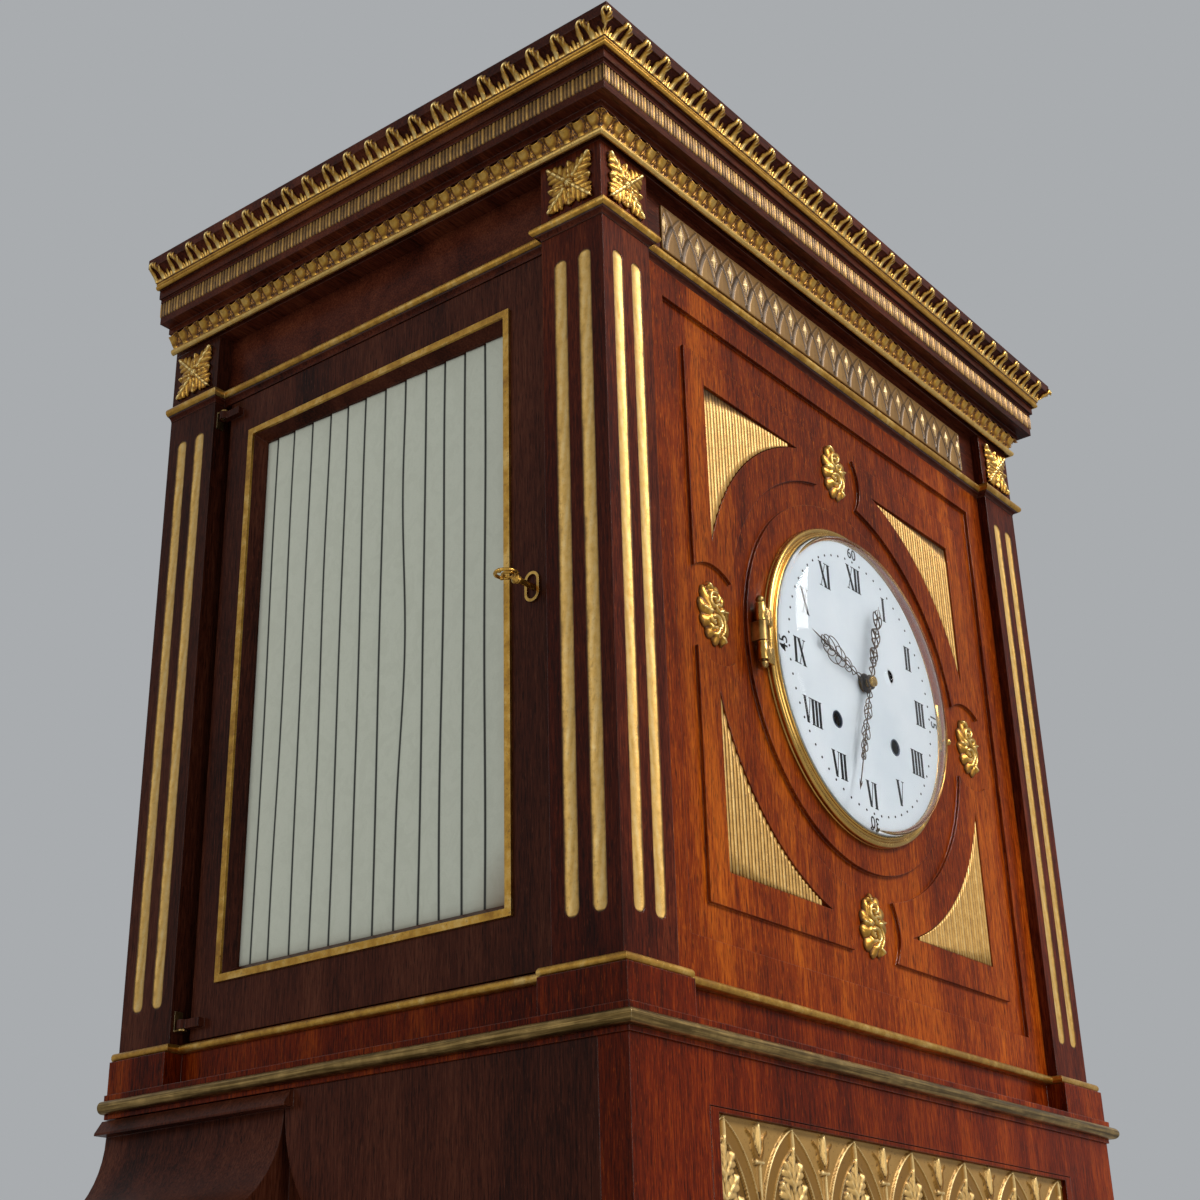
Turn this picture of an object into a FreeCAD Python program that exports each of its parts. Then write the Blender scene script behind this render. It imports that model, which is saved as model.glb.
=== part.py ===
import FreeCAD, Part
import math
import os

import Sketcher
from FreeCAD import Placement, Rotation, Vector

# Longcase clock: mahogany case, gilt mounts, enamel dial, two-train movement.
# Frame: +Z up, front towards -Y, origin on the floor at the middle of the footprint.

doc = FreeCAD.newDocument("LongcaseClock")
sheet = doc.addObject("Spreadsheet::Sheet", "Sizes")

SIZES = {
    # case, overall
    "hood_level": 1546.0,
    "shaft_width": 600.0,
    "shaft_depth": 439.0,
    "post_width": 52.5,
    "front_setback": 8.0,
    "side_setback": 10.0,
    "cut_overrun": 1.0,
    # base
    "base_front": 40.0,
    "base_side": 82.0,
    "base_height": 300.0,
    "base_wall": 20.0,
    "skirt_height": 70.0,
    "skirt_projection": 10.0,
    "base_cap_height": 22.0,
    "base_mouth_inset": 45.0,
    # trunk
    "trunk_projection": 6.7,
    "trunk_head_drop": 7.5,
    "frame_thick": 21.7,
    "stile_width": 73.7,
    "trunk_top_rail": 31.0,
    "trunk_bottom_rail": 60.0,
    "trunk_door_gap": 0.6,
    "trunk_door_thick": 18.0,
    "relief_margin": 9.0,
    "relief_height": 132.0,
    "relief_thick": 4.0,
    "relief_border": 4.0,
    "relief_inset": 2.4,
    "side_lining": 16.0,
    "side_facing": 8.7,
    "facing_back": 262.0,
    "facing_sweep": 47.0,
    "facing_arc": 100.0,
    "wing_front": 265.0,
    "wing_top": 18.7,
    "wing_start": 5.0,
    "wing_flare": 55.0,
    "wing_arc": 70.0,
    "wing_cap_edge": 1.5,
    "wing_cap_head": 8.7,
    "wing_cap_back": 9.5,
    "wing_cap_overhang": 10.0,
    "wing_cap_projection": 15.3,
    "back_thick": 12.0,
    # hood base and torus
    "collar_foot": 7.5,
    "collar_projection": 8.2,
    "torus_radius": 4.35,
    "torus_projection": 14.8,
    "torus_seat": 5.0,
    "quirk_head": 8.5,
    "quirk_projection": 9.5,
    "plinth_head": 31.0,
    "plinth_projection": 7.3,
    "plinth_return": 5.0,
    "plinth_setback": 8.0,
    "rim_width": 60.0,
    "sill_head": 38.5,
    # gilt fillets
    "fillet_height": 6.2,
    "fillet_projection": 6.4,
    "upper_fillet_foot": 540.5,
    "upper_fillet_height": 7.0,
    "cove_projection": 4.2,
    "block_foot": 548.0,
    "block_head": 598.0,
    # flutes
    "flute_width": 11.0,
    "flute_radius": 6.5,
    "flute_spacing": 20.6,
    "flute_foot": 63.0,
    "flute_head": 515.0,
    # frieze
    "frieze_side_setback": 14.0,
    "frieze_inner": 65.0,
    "frieze_relief_half": 221.5,
    "frieze_relief_foot": 553.0,
    "frieze_relief_head": 590.0,
    "frieze_relief_thick": 2.5,
    "frieze_relief_border": 3.0,
    "frieze_relief_relief": 1.2,
    "rosette_side": 38.0,
    "rosette_plate": 1.5,
    "rosette_dome": 14.0,
    "rosette_rise": 4.0,
    # cornice, heights over the hood level and projections beyond the shaft
    "band_head": 615.5,
    "band_projection": 10.0,
    "band_bead_height": 6.0,
    "band_fillet_height": 3.0,
    "band_fillet_projection": 3.5,
    "soffit_level": 620.6,
    "corona_projection": 19.5,
    "corona_strip_head": 627.0,
    "reed_setback": 1.2,
    "reed_head": 640.0,
    "step_height": 3.2,
    "step_one": 20.5,
    "step_two": 22.5,
    "cove_foot": 651.0,
    "cresting_back": 24.3,
    "crown_foot": 665.5,
    "crown_inner": 34.8,
    "crown_projection": 36.0,
    "cornice_head": 674.0,
    "roof_thick": 19.0,
    "cresting_thick": 1.2,
    "cresting_head": 664.5,
    # front panel
    "dial_level": 286.5,
    "panel_floor": 11.0,
    "panel_thick": 15.0,
    "field_frame_margin": 25.0,
    "field_frame_head": 227.5,
    "field_frame_foot": 222.5,
    "field_margin": 23.8,
    "field_rise": 2.5,
    "field_arc": 158.0,
    "mount_orbit": 177.0,
    "bite_radius": 36.0,
    "spandrel_margin": 22.7,
    "spandrel_bulge": 8.0,
    "ring_outer": 139.0,
    "dial_bore": 112.0,
    "mount_radius": 21.5,
    "mount_height": 5.0,
    "mount_lobe": 8.4,
    "mount_boss": 7.0,
    # dial, hands, bezel
    "dial_radius": 110.0,
    "dial_face": 1.5,
    "dial_thick": 2.0,
    "dial_hub_hole": 6.0,
    "winding_hole": 6.0,
    "winding_offset": 40.0,
    "winding_drop": 38.0,
    "dial_foot_radius": 3.0,
    "dial_foot_orbit": 66.0,
    "bezel_outer": 122.5,
    "bezel_inner": 108.0,
    "bezel_depth": 16.0,
    "bezel_edge": 5.0,
    "glass_seat": 11.5,
    "glass_radius": 111.0,
    "glass_dome": 107.0,
    "glass_thick": 2.0,
    "glass_rise": 16.0,
    "hinge_radius": 4.0,
    "hinge_offset": 131.0,
    "hinge_height": 42.0,
    "hinge_out": 6.0,
    "hinge_gap": 0.3,
    "hinge_pin": 1.6,
    "finial_radius": 3.0,
    "tab_height": 38.0,
    "tab_thick": 3.0,
    "hand_thick": 0.9,
    "hour_hand_face": 3.4,
    "minute_hand_face": 7.4,
    "hand_nose": 10.0,
    "hour_hand_length": 73.0,
    "hour_hand_width": 15.0,
    "minute_hand_length": 93.0,
    "minute_hand_width": 11.0,
    "minute_tail_length": 70.0,
    "minute_tail_width": 10.0,
    "hand_hub": 6.0,
    "hand_root": 2.6,
    # hood doors
    "door_front_gap": 1.0,
    "door_back_gap": 9.0,
    "door_foot_gap": 1.0,
    "door_head_gap": 1.5,
    "door_thick": 18.0,
    "bead_front": 89.6,
    "bead_back_inset": 85.2,
    "bead_foot": 75.5,
    "bead_head": 503.0,
    "bead_width": 5.0,
    "bead_rise": 2.2,
    "bevel_width": 5.6,
    "bevel_depth": 8.0,
    "silk_setback": 9.0,
    "silk_thick": 5.0,
    "silk_fold": 2.4,
    "silk_gap": 0.3,
    "pivot_out": 4.5,
    "pivot_back": 6.0,
    "pivot_radius": 1.8,
    "pivot_clear": 0.05,
    "lug_radius": 4.0,
    "lug_height": 6.0,
    "lug_strap": 14.0,
    "lug_inset": 8.0,
    "bracket_thick": 1.2,
    "bracket_height": 14.0,
    "bracket_gap": 0.3,
    "lock_level": 286.0,
    "lock_back": 71.5,
    "escutcheon_half_width": 6.0,
    "escutcheon_half_height": 10.5,
    "escutcheon_wall": 2.0,
    "escutcheon_rise": 1.6,
    "key_radius": 2.2,
    "key_length": 20.0,
    "key_bore_clear": 0.05,
    "key_depth": 9.0,
    "bow_radius": 8.0,
    "bow_wall": 2.4,
    "bow_thick": 2.6,
    "bolt_height": 10.0,
    "bolt_thick": 4.0,
    "bolt_length": 14.0,
    "bolt_throw": 5.5,
    "bolt_clear": 0.2,
    "bolt_depth": 6.0,
    "bolt_rest": 0.4,
    # trunk hinges
    "trunk_knuckle": 4.5,
    "trunk_hinge_height": 64.0,
    "trunk_hinge_rise": 170.0,
    "trunk_hinge_pin": 2.0,
    "trunk_leaf": 2.0,
    "trunk_leaf_width": 16.0,
    # movement
    "plate_half": 80.0,
    "plate_foot": 96.0,
    "plate_head": 100.0,
    "plate_thick": 3.0,
    "plate_front": 32.0,
    "plate_gap": 80.0,
    "pillar_radius": 5.0,
    "pillar_inset": 7.0,
    "pivot_pin": 1.0,
    "pivot_fit": 0.06,
    "arbor_radius": 2.2,
    "shoulder_gap": 0.5,
    "barrel_radius": 22.0,
    "barrel_length": 30.0,
    "barrel_flange": 26.0,
    "flange_thick": 2.0,
    "wheel_thick": 2.0,
    "pinion_length": 8.0,
    "train_up": 31.0,
    "train_side": 14.0,
    "third_module": 1.1,
    "escape_radius": 18.0,
    "escape_tooth": 3.2,
    "pallet_rise": 26.0,
    "pallet_reach": 17.5,
    "pallet_drop": 13.5,
    "pallet_width": 3.0,
    "pallet_thick": 4.0,
    "suspension_back": 140.0,
    "crutch_length": 96.0,
    "crutch_clear": 0.3,
    "rod_radius": 4.0,
    "rod_thread": 3.0,
    "bob_drop": 994.0,
    "bob_radius": 90.0,
    "bob_half_thick": 18.0,
    "bob_edge": 2.0,
    "nut_radius": 12.0,
    "nut_height": 10.0,
    "motion_distance": 24.0,
    "seat_thick": 18.0,
    "seat_back": 125.0,
    "cheek_front": 60.0,
    "cheek_rest": 4.0,
    "cheek_thick": 14.0,
    "seat_housing": 2.0,
    "weight_radius": 33.0,
    "weight_height": 220.0,
    "weight_rest": 930.0,
    "hook_height": 22.0,
    "hook_radius": 3.0,
    "line_radius": 0.9,
    "line_hole": 7.0,
    "bell_radius": 36.0,
    "bell_height": 30.0,
    "bell_wall": 2.5,
    "bell_side": 40.0,
    "bell_foot": 18.0,
    "bell_post": 4.5,
    "hammer_side": 70.0,
    "hammer_up": 40.0,
    "hammer_head": 6.0,
    "hammer_gap": 2.0,
    "hammer_length": 18.0,
}


class Size:
    """A number with the cell expression that gives it."""

    def __init__(self, value, text):
        self.value, self.text = float(value), text

    def _join(self, other, sign, value):
        return Size(value, f"({self.text} {sign} {sized(other).text})")

    def __add__(self, other):
        return self._join(other, "+", self.value + sized(other).value)

    def __sub__(self, other):
        return self._join(other, "-", self.value - sized(other).value)

    def __mul__(self, other):
        return self._join(other, "*", self.value * sized(other).value)

    def __truediv__(self, other):
        return self._join(other, "/", self.value / sized(other).value)

    def __neg__(self):
        return Size(-self.value, f"(0 - {self.text})")


def sized(item):
    return item if isinstance(item, Size) else Size(item, repr(float(item)))


def root(item):
    return Size(math.sqrt(item.value), f"sqrt({item.text})")


class Table:
    """The named sizes, each a cell of the sheet."""


D = Table()
for row, (alias, number) in enumerate(SIZES.items(), start=1):
    sheet.set(f"A{row}", alias)
    sheet.set(f"B{row}", str(number))
    sheet.setAlias(f"B{row}", alias)
    setattr(D, alias, Size(number, f"Sizes.{alias}"))
doc.recompute()

ZERO = Size(0, "0")
HALF = D.shaft_width / 2
FRONT = (D.base_front - D.shaft_depth) / 2
BACK = FRONT + D.shaft_depth
PIECES = {}


def deep(offset):
    """Distance back from the front face of the shaft."""
    return FRONT + offset


def high(offset):
    """Height over the hood level."""
    return D.hood_level + offset


def hidden(name, kind):
    return doc.addObject(kind, name)


def piece(obj, name):
    obj.Label = name
    PIECES[name] = obj
    return obj


def place(obj, x=ZERO, y=ZERO, z=ZERO, turn=None):
    if turn is not None:
        obj.Placement = Placement(Vector(0, 0, 0), turn)
    for axis, item in (("x", x), ("y", y), ("z", z)):
        obj.setExpression(f".Placement.Base.{axis}", item.text)
    return obj


def block(name, xs, ys, zs):
    box = hidden(name, "Part::Box")
    for prop, (low, top) in (("Length", xs), ("Width", ys), ("Height", zs)):
        box.setExpression(prop, (top - low).text)
    return place(box, xs[0], ys[0], zs[0])


def rod(name, radius, length, x, y, z, along="z"):
    turns = {"z": Rotation(), "y": Rotation(Vector(1, 0, 0), -90), "x": Rotation(Vector(0, 1, 0), 90)}
    cylinder = hidden(name, "Part::Cylinder")
    cylinder.setExpression("Radius", radius.text)
    cylinder.setExpression("Height", length.text)
    return place(cylinder, x, y, z, turns[along])


def ball(name, radius, x, y, z):
    sphere = hidden(name, "Part::Sphere")
    sphere.setExpression("Radius", radius.text)
    return place(sphere, x, y, z)


def fused(name, parts):
    joined = hidden(name, "Part::MultiFuse")
    joined.Shapes = parts
    return joined


def cut(name, base, tools):
    tool = tools[0] if len(tools) == 1 else fused(name + "_tools", tools)
    less = hidden(name, "Part::Cut")
    less.Base, less.Tool = base, tool
    return less


def group(name, parts):
    together = hidden(name, "Part::Compound")
    together.Links = parts
    return together


def pin(sketch, geo, spot, point):
    for kind, item in (("DistanceX", point[0]), ("DistanceY", point[1])):
        index = sketch.addConstraint(Sketcher.Constraint(kind, -1, 1, geo, spot, item.value))
        sketch.setExpression(f"Constraints[{index}]", item.text)


def draw(sketch, loops):
    """Loops are circles (centre, radius) or corners; a corner may end an arc (point, centre, turn)."""
    for loop in loops:
        if len(loop) == 2 and isinstance(loop[1], Size):
            centre, radius = loop
            geo = sketch.addGeometry(
                Part.Circle(Vector(centre[0].value, centre[1].value, 0), Vector(0, 0, 1), radius.value))
            pin(sketch, geo, 3, centre)
            index = sketch.addConstraint(Sketcher.Constraint("Radius", geo, radius.value))
            sketch.setExpression(f"Constraints[{index}]", radius.text)
            continue
        count, made = len(loop), []
        for number, corner in enumerate(loop):
            before = loop[number - 1]
            start = before if len(before) == 2 else before[0]
            if len(corner) == 2:
                geo = sketch.addGeometry(Part.LineSegment(
                    Vector(start[0].value, start[1].value, 0), Vector(corner[0].value, corner[1].value, 0)))
                made.append((geo, 1, 2))
                continue
            end, centre, turn = corner
            a = (start[0].value - centre[0].value, start[1].value - centre[1].value)
            b = (end[0].value - centre[0].value, end[1].value - centre[1].value)
            circle = Part.Circle(Vector(centre[0].value, centre[1].value, 0), Vector(0, 0, 1), math.hypot(*a))
            low, top = math.atan2(a[1], a[0]), math.atan2(b[1], b[0])
            geo = sketch.addGeometry(
                Part.ArcOfCircle(circle, low, top) if turn > 0 else Part.ArcOfCircle(circle, top, low))
            made.append((geo, 1, 2) if turn > 0 else (geo, 2, 1))
            radius = root((start[0] - centre[0]) * (start[0] - centre[0])
                          + (start[1] - centre[1]) * (start[1] - centre[1]))
            index = sketch.addConstraint(Sketcher.Constraint("Radius", geo, radius.value))
            sketch.setExpression(f"Constraints[{index}]", radius.text)
        for number in range(count):
            geo, first, last = made[number]
            following = made[(number + 1) % count]
            sketch.addConstraint(Sketcher.Constraint("Coincident", geo, last, following[0], following[1]))
            corner = loop[number]
            pin(sketch, geo, last, corner if len(corner) == 2 else corner[0])
    return sketch


def flat(body, name, plane, loops):
    sketch = body.newObject("Sketcher::SketchObject", name)
    origin = [item for item in body.Origin.OriginFeatures if item.Role == plane][0]
    sketch.AttachmentSupport = [(origin, "")]
    sketch.MapMode = "FlatFace"
    return draw(sketch, loops)


def new_body(name):
    return doc.addObject("PartDesign::Body", name)


def pad(body, name, plane, loops, length, back=False):
    solid = body.newObject("PartDesign::Pad", name)
    solid.Profile = flat(body, name + "_outline", plane, loops)
    solid.setExpression("Length", length.text)
    solid.Reversed = back
    body.Tip = solid
    return solid


def prism(name, plane, loops, length, x=ZERO, y=ZERO, z=ZERO, back=False):
    body = new_body(name)
    pad(body, name + "_pad", plane, loops, length, back)
    return place(body, x, y, z)


def turned(name, loop, x, y, z, turn=None):
    """A revolved body: the loop is (radius, height) and the axis is the body's own Z."""
    body = new_body(name)
    solid = body.newObject("PartDesign::Revolution", name + "_turn")
    solid.Profile = flat(body, name + "_outline", "XZ_Plane", [loop])
    solid.ReferenceAxis = (solid.Profile[0], ["V_Axis"])
    solid.Angle = 360.0
    body.Tip = solid
    return place(body, x, y, z, turn)


OUT_FRONT = Rotation(Vector(1, 0, 0), 90)


def moulding(name, profile, corners, level):
    """A profile of (projection, height) swept round the case along plan corners from the back left."""
    path = hidden(name + "_path", "Sketcher::SketchObject")
    place(path, ZERO, ZERO, level)
    for number in range(len(corners) - 1):
        a, b = corners[number], corners[number + 1]
        path.addGeometry(Part.LineSegment(
            Vector(a[0].value, a[1].value, 0), Vector(b[0].value, b[1].value, 0)))
        pin(path, number, 1, a)
        if number:
            path.addConstraint(Sketcher.Constraint("Coincident", number - 1, 2, number, 1))
    pin(path, len(corners) - 2, 2, corners[-1])
    section = hidden(name + "_section", "Sketcher::SketchObject")
    turn = Rotation(Vector(-1, 0, 0), Vector(0, 0, 1), Vector(0, 1, 0), "XYZ")
    place(section, corners[0][0], corners[0][1], level, turn)
    draw(section, [profile])
    sweep = hidden(name, "Part::Sweep")
    sweep.Sections = [section]
    sweep.Spine = (path, [f"Edge{number + 1}" for number in range(len(corners) - 1)])
    sweep.Solid = True
    sweep.Transition = "Right corner"
    return sweep


# plan corners of the shaft, plain and stepped round the four posts
PLAIN = [(-HALF, BACK), (-HALF, FRONT), (HALF, FRONT), (HALF, BACK)]
SIDE_IN = HALF - D.side_setback
POST_IN = HALF - D.post_width
LEFT_STEPS = [
    (-HALF, BACK), (-HALF, BACK - D.post_width), (-SIDE_IN, BACK - D.post_width),
    (-SIDE_IN, deep(D.post_width)), (-HALF, deep(D.post_width)), (-HALF, FRONT),
    (-POST_IN, FRONT), (-POST_IN, deep(D.front_setback)),
]
STEPPED = LEFT_STEPS + [(-x, y) for x, y in reversed(LEFT_STEPS)]


def mirrored(source, name):
    twin = hidden(name, "Part::Mirroring")
    twin.Source = source
    twin.Normal = Vector(1, 0, 0)
    return piece(twin, name)


def frame_of(name, outer, inner):
    """A block with a block taken out of it, each as three (low, high) pairs."""
    return cut(name, block(name + "_outer", *outer), [block(name + "_inner", *inner)])


def rectangle(x0, x1, y0, y1):
    return [(x0, y0), (x1, y0), (x1, y1), (x0, y1)]


# base
BASE_HALF = HALF + D.base_side - D.skirt_projection
BASE_Y = FRONT - D.base_front + D.skirt_projection
base_path = [(-BASE_HALF, BACK), (-BASE_HALF, BASE_Y), (BASE_HALF, BASE_Y), (BASE_HALF, BACK)]
TRUNK_HALF = HALF + D.trunk_projection
base_shell = cut(
    "base_shell", block("base_outer", (-BASE_HALF, BASE_HALF), (BASE_Y, BACK), (ZERO, D.base_height)),
    [block("base_void", (D.base_wall - BASE_HALF, BASE_HALF - D.base_wall),
           (BASE_Y + D.base_wall, BACK - D.base_wall), (D.base_wall, D.base_height - D.base_wall)),
     block("base_mouth", (D.base_mouth_inset - TRUNK_HALF, TRUNK_HALF - D.base_mouth_inset),
           (FRONT + D.base_mouth_inset, BACK - D.base_mouth_inset),
           (D.base_height - D.base_wall * 2, D.base_height + D.cut_overrun)),
     block("base_panel", (D.base_wall * 4 - BASE_HALF, BASE_HALF - D.base_wall * 4),
           (BASE_Y - D.cut_overrun, BASE_Y + D.base_wall / 4),
           (D.skirt_height + D.base_wall * 2, D.base_height - D.base_cap_height - D.base_wall * 2))])
skirt = moulding(
    "skirt", [(ZERO, ZERO), (D.skirt_projection, ZERO), (D.skirt_projection, D.skirt_height - D.skirt_projection),
              (ZERO, D.skirt_height)], base_path, ZERO)
cap_mid = D.base_height - D.base_cap_height / 2
base_cap = moulding(
    "base_cap", [(ZERO, D.base_height - D.base_cap_height),
                 ((D.base_cap_height / 2, cap_mid), (ZERO, cap_mid), 1), ((ZERO, D.base_height), (ZERO, cap_mid), 1)],
    base_path, ZERO)
piece(fused("base_joined", [base_shell, skirt, base_cap]), "base")

# trunk
TRUNK_TOP = high(-D.trunk_head_drop)
BACK_HALF = TRUNK_HALF - D.side_facing - D.side_lining
NECK_HALF = HALF - D.rim_width
piece(prism("back_body", "XZ_Plane", [[
    (-BACK_HALF, D.base_height), (BACK_HALF, D.base_height), (BACK_HALF, TRUNK_TOP), (NECK_HALF, TRUNK_TOP),
    (NECK_HALF, high(D.block_head)), (-NECK_HALF, high(D.block_head)), (-NECK_HALF, TRUNK_TOP),
    (-BACK_HALF, TRUNK_TOP)]], D.back_thick, y=BACK), "back_board")
DOOR_HALF = TRUNK_HALF - D.stile_width
RELIEF_HALF = DOOR_HALF - D.relief_margin
DOOR_FOOT = D.base_height + D.trunk_bottom_rail
DOOR_HEAD = TRUNK_TOP - D.trunk_top_rail
FRAME_FRONT = deep(-D.trunk_projection)
piece(prism("trunk_frame_body", "XZ_Plane", [
    rectangle(-TRUNK_HALF, TRUNK_HALF, D.base_height, TRUNK_TOP),
    rectangle(-DOOR_HALF, DOOR_HALF, DOOR_FOOT, DOOR_HEAD)], D.frame_thick, y=FRAME_FRONT + D.frame_thick),
    "trunk_frame")
SIDE_FRONT = FRAME_FRONT + D.frame_thick
LINING_OUT = TRUNK_HALF - D.side_facing
lining = block("lining", (-LINING_OUT, D.side_lining - LINING_OUT), (SIDE_FRONT, BACK), (D.base_height, TRUNK_TOP))
apex = high(-D.wing_top)
sweep_drop = root(D.facing_arc * D.facing_arc - (D.facing_arc - D.facing_sweep) * (D.facing_arc - D.facing_sweep))
facing = prism("facing", "YZ_Plane", [[
    (SIDE_FRONT, D.base_height), (deep(D.facing_back - D.facing_sweep), D.base_height),
    (deep(D.facing_back - D.facing_sweep), apex - sweep_drop),
    ((deep(D.facing_back), apex), (deep(D.facing_back - D.facing_arc), apex), 1),
    (deep(D.facing_back), TRUNK_TOP), (SIDE_FRONT, TRUNK_TOP)]], D.side_facing, x=-TRUNK_HALF)
wing_x = HALF + D.wing_start
flare_drop = root(D.wing_arc * D.wing_arc - (D.wing_arc - D.wing_flare) * (D.wing_arc - D.wing_flare))
wing = prism("wing", "XZ_Plane", [[
    (-LINING_OUT, apex), (-wing_x, apex),
    ((-wing_x - D.wing_flare, apex - flare_drop), (-wing_x - D.wing_arc, apex), -1),
    (-wing_x - D.wing_flare, D.base_height), (-LINING_OUT, D.base_height)]],
    D.shaft_depth - D.wing_front, y=BACK)
cap_front = D.wing_front - D.wing_cap_overhang
wing_cap = prism("wing_cap", "XZ_Plane", [[
    (-LINING_OUT, apex), (-HALF - D.wing_cap_projection, apex),
    (-HALF - D.wing_cap_projection, apex + D.wing_cap_edge),
    (-HALF - D.wing_cap_back, high(-D.wing_cap_head)), (-LINING_OUT, high(-D.wing_cap_head))]],
    D.shaft_depth - cap_front, y=BACK)
side = piece(fused("trunk_side", [lining, facing, wing, wing_cap]), "trunk_side_left")
mirrored(side, "trunk_side_right")

# trunk door
GAP = D.trunk_door_gap
door_blank = block("trunk_door_blank", (GAP - DOOR_HALF, DOOR_HALF - GAP),
                   (FRAME_FRONT, FRAME_FRONT + D.trunk_door_thick), (DOOR_FOOT + GAP, DOOR_HEAD - GAP))
RELIEF_HEAD = DOOR_HEAD - GAP - D.relief_inset
RELIEF_FOOT = RELIEF_HEAD - D.relief_height
relief_bed = FRAME_FRONT + D.relief_inset + D.relief_thick
door_field = block("trunk_door_field", (D.relief_border * 8 - RELIEF_HALF, RELIEF_HALF - D.relief_border * 8),
                   (FRAME_FRONT - D.cut_overrun, FRAME_FRONT + D.relief_thick),
                   (DOOR_FOOT + D.trunk_bottom_rail, RELIEF_FOOT - D.trunk_bottom_rail))
relief_room = block("relief_room", (-RELIEF_HALF, RELIEF_HALF),
                    (FRAME_FRONT - D.cut_overrun, relief_bed), (RELIEF_FOOT, RELIEF_HEAD))
HINGE_Y = FRAME_FRONT - D.trunk_knuckle - D.hinge_gap
HINGE_X = -DOOR_HALF
third = D.trunk_hinge_height / 3
door_knuckles, fixed_knuckles = [], []
for number, level in enumerate((DOOR_FOOT + D.trunk_hinge_rise, RELIEF_FOOT - D.trunk_hinge_rise)):
    for end, start in (("low", level), ("high", level + third * 2)):
        low = start + (D.hinge_gap if end == "high" else ZERO)
        name = f"trunk_knuckle_{number}_{end}"
        door_knuckles += [
            cut(name, rod(name + "_barrel", D.trunk_knuckle, third - D.hinge_gap, HINGE_X, HINGE_Y, low),
                [rod(name + "_bore", D.trunk_hinge_pin + D.pivot_clear, third, HINGE_X, HINGE_Y, low)]),
            block(name + "_leaf", (HINGE_X + D.trunk_hinge_pin * 1.5, HINGE_X + D.trunk_leaf_width),
                  (FRAME_FRONT - D.trunk_leaf, FRAME_FRONT), (low, low + third - D.hinge_gap))]
    fixed_knuckles.append(fused(f"trunk_hinge_{number}", [
        rod(f"trunk_hinge_barrel_{number}", D.trunk_knuckle, third - D.hinge_gap, HINGE_X, HINGE_Y,
            level + third + D.hinge_gap / 2),
        rod(f"trunk_hinge_pin_{number}", D.trunk_hinge_pin, D.trunk_hinge_height, HINGE_X, HINGE_Y, level),
        block(f"trunk_hinge_leaf_{number}", (HINGE_X - D.trunk_leaf_width, HINGE_X - D.trunk_hinge_pin * 1.5),
              (FRAME_FRONT - D.trunk_leaf, FRAME_FRONT), (level + third + D.hinge_gap / 2, level + third * 2 - D.hinge_gap / 2))]))
piece(fused("trunk_door_joined", [cut("trunk_door_cut", door_blank, [door_field, relief_room])] + door_knuckles),
      "trunk_door")
piece(group("trunk_hinge_pair", fixed_knuckles), "trunk_hinges")
trunk_relief = frame_of(
    "trunk_relief_plate",
    ((-RELIEF_HALF, RELIEF_HALF), (relief_bed - D.relief_thick, relief_bed), (RELIEF_FOOT, RELIEF_HEAD)),
    ((D.relief_border - RELIEF_HALF, RELIEF_HALF - D.relief_border),
     (relief_bed - D.relief_thick - D.cut_overrun, relief_bed - D.relief_thick / 2),
     (RELIEF_FOOT + D.relief_border, RELIEF_HEAD - D.relief_border)))
piece(trunk_relief, "trunk_relief")

# hood base, torus and lower fillet
R = D.torus_radius
hood_rim = moulding("hood_rim", [
    (-D.rim_width, -D.collar_foot), (D.collar_projection, -D.collar_foot), (D.collar_projection, -R),
    (D.torus_seat, -R), (D.torus_seat, R), (D.quirk_projection, R), (D.quirk_projection, D.quirk_head),
    (-D.plinth_setback, D.quirk_head), (-D.plinth_setback, D.plinth_head), (-D.rim_width, D.plinth_head)],
    PLAIN, D.hood_level)
corners = []
block_in = POST_IN - D.plinth_return
for number, (sx, near) in enumerate(((-1, True), (1, True), (-1, False), (1, False))):
    xs = (-HALF - D.plinth_projection, -block_in) if sx < 0 else (block_in, HALF + D.plinth_projection)
    ys = ((deep(-D.plinth_projection), deep(D.post_width + D.plinth_return)) if near
          else (BACK - D.post_width - D.plinth_return, BACK))
    corners.append(block(f"plinth_block_{number}", xs, ys, (high(D.quirk_head), high(D.plinth_head))))
sills = [block(f"sill_{number}", xs, (deep(D.post_width), BACK - D.post_width), (high(D.plinth_head), high(D.sill_head)))
         for number, xs in enumerate(((-SIDE_IN, -NECK_HALF), (NECK_HALF, SIDE_IN)))]
piece(fused("hood_base_joined", [hood_rim] + corners + sills), "hood_base")
torus_mid = D.torus_projection - R
piece(moulding("torus_sweep", [
    (D.torus_seat, -R), (torus_mid, -R), ((D.torus_projection, ZERO), (torus_mid, ZERO), 1),
    ((torus_mid, R), (torus_mid, ZERO), 1), (D.torus_seat, R)], PLAIN, D.hood_level), "torus")


def rounded(height):
    mid, nose = height / 2, D.fillet_projection - height / 2
    return [(ZERO, ZERO), (nose, ZERO), ((D.fillet_projection, mid), (nose, mid), 1), ((nose, height), (nose, mid), 1),
            (ZERO, height)]


fillet = rounded(D.fillet_height)
lower_fillet = moulding("lower_fillet", fillet, STEPPED, high(D.plinth_head))

# corner posts with round-ended flutes
POST_TOP = high(D.block_head)
flute_out = root(D.flute_radius * D.flute_radius - D.flute_width * D.flute_width / 4)
flute_end = root(D.flute_radius * D.flute_radius - flute_out * flute_out)


def flute(name, x, y):
    low, top = high(D.flute_foot) + flute_end, high(D.flute_head) - flute_end
    return fused(name, [rod(name + "_gouge", D.flute_radius, top - low, x, y, low),
                        ball(name + "_foot", D.flute_radius, x, y, low),
                        ball(name + "_head", D.flute_radius, x, y, top)])


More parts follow.
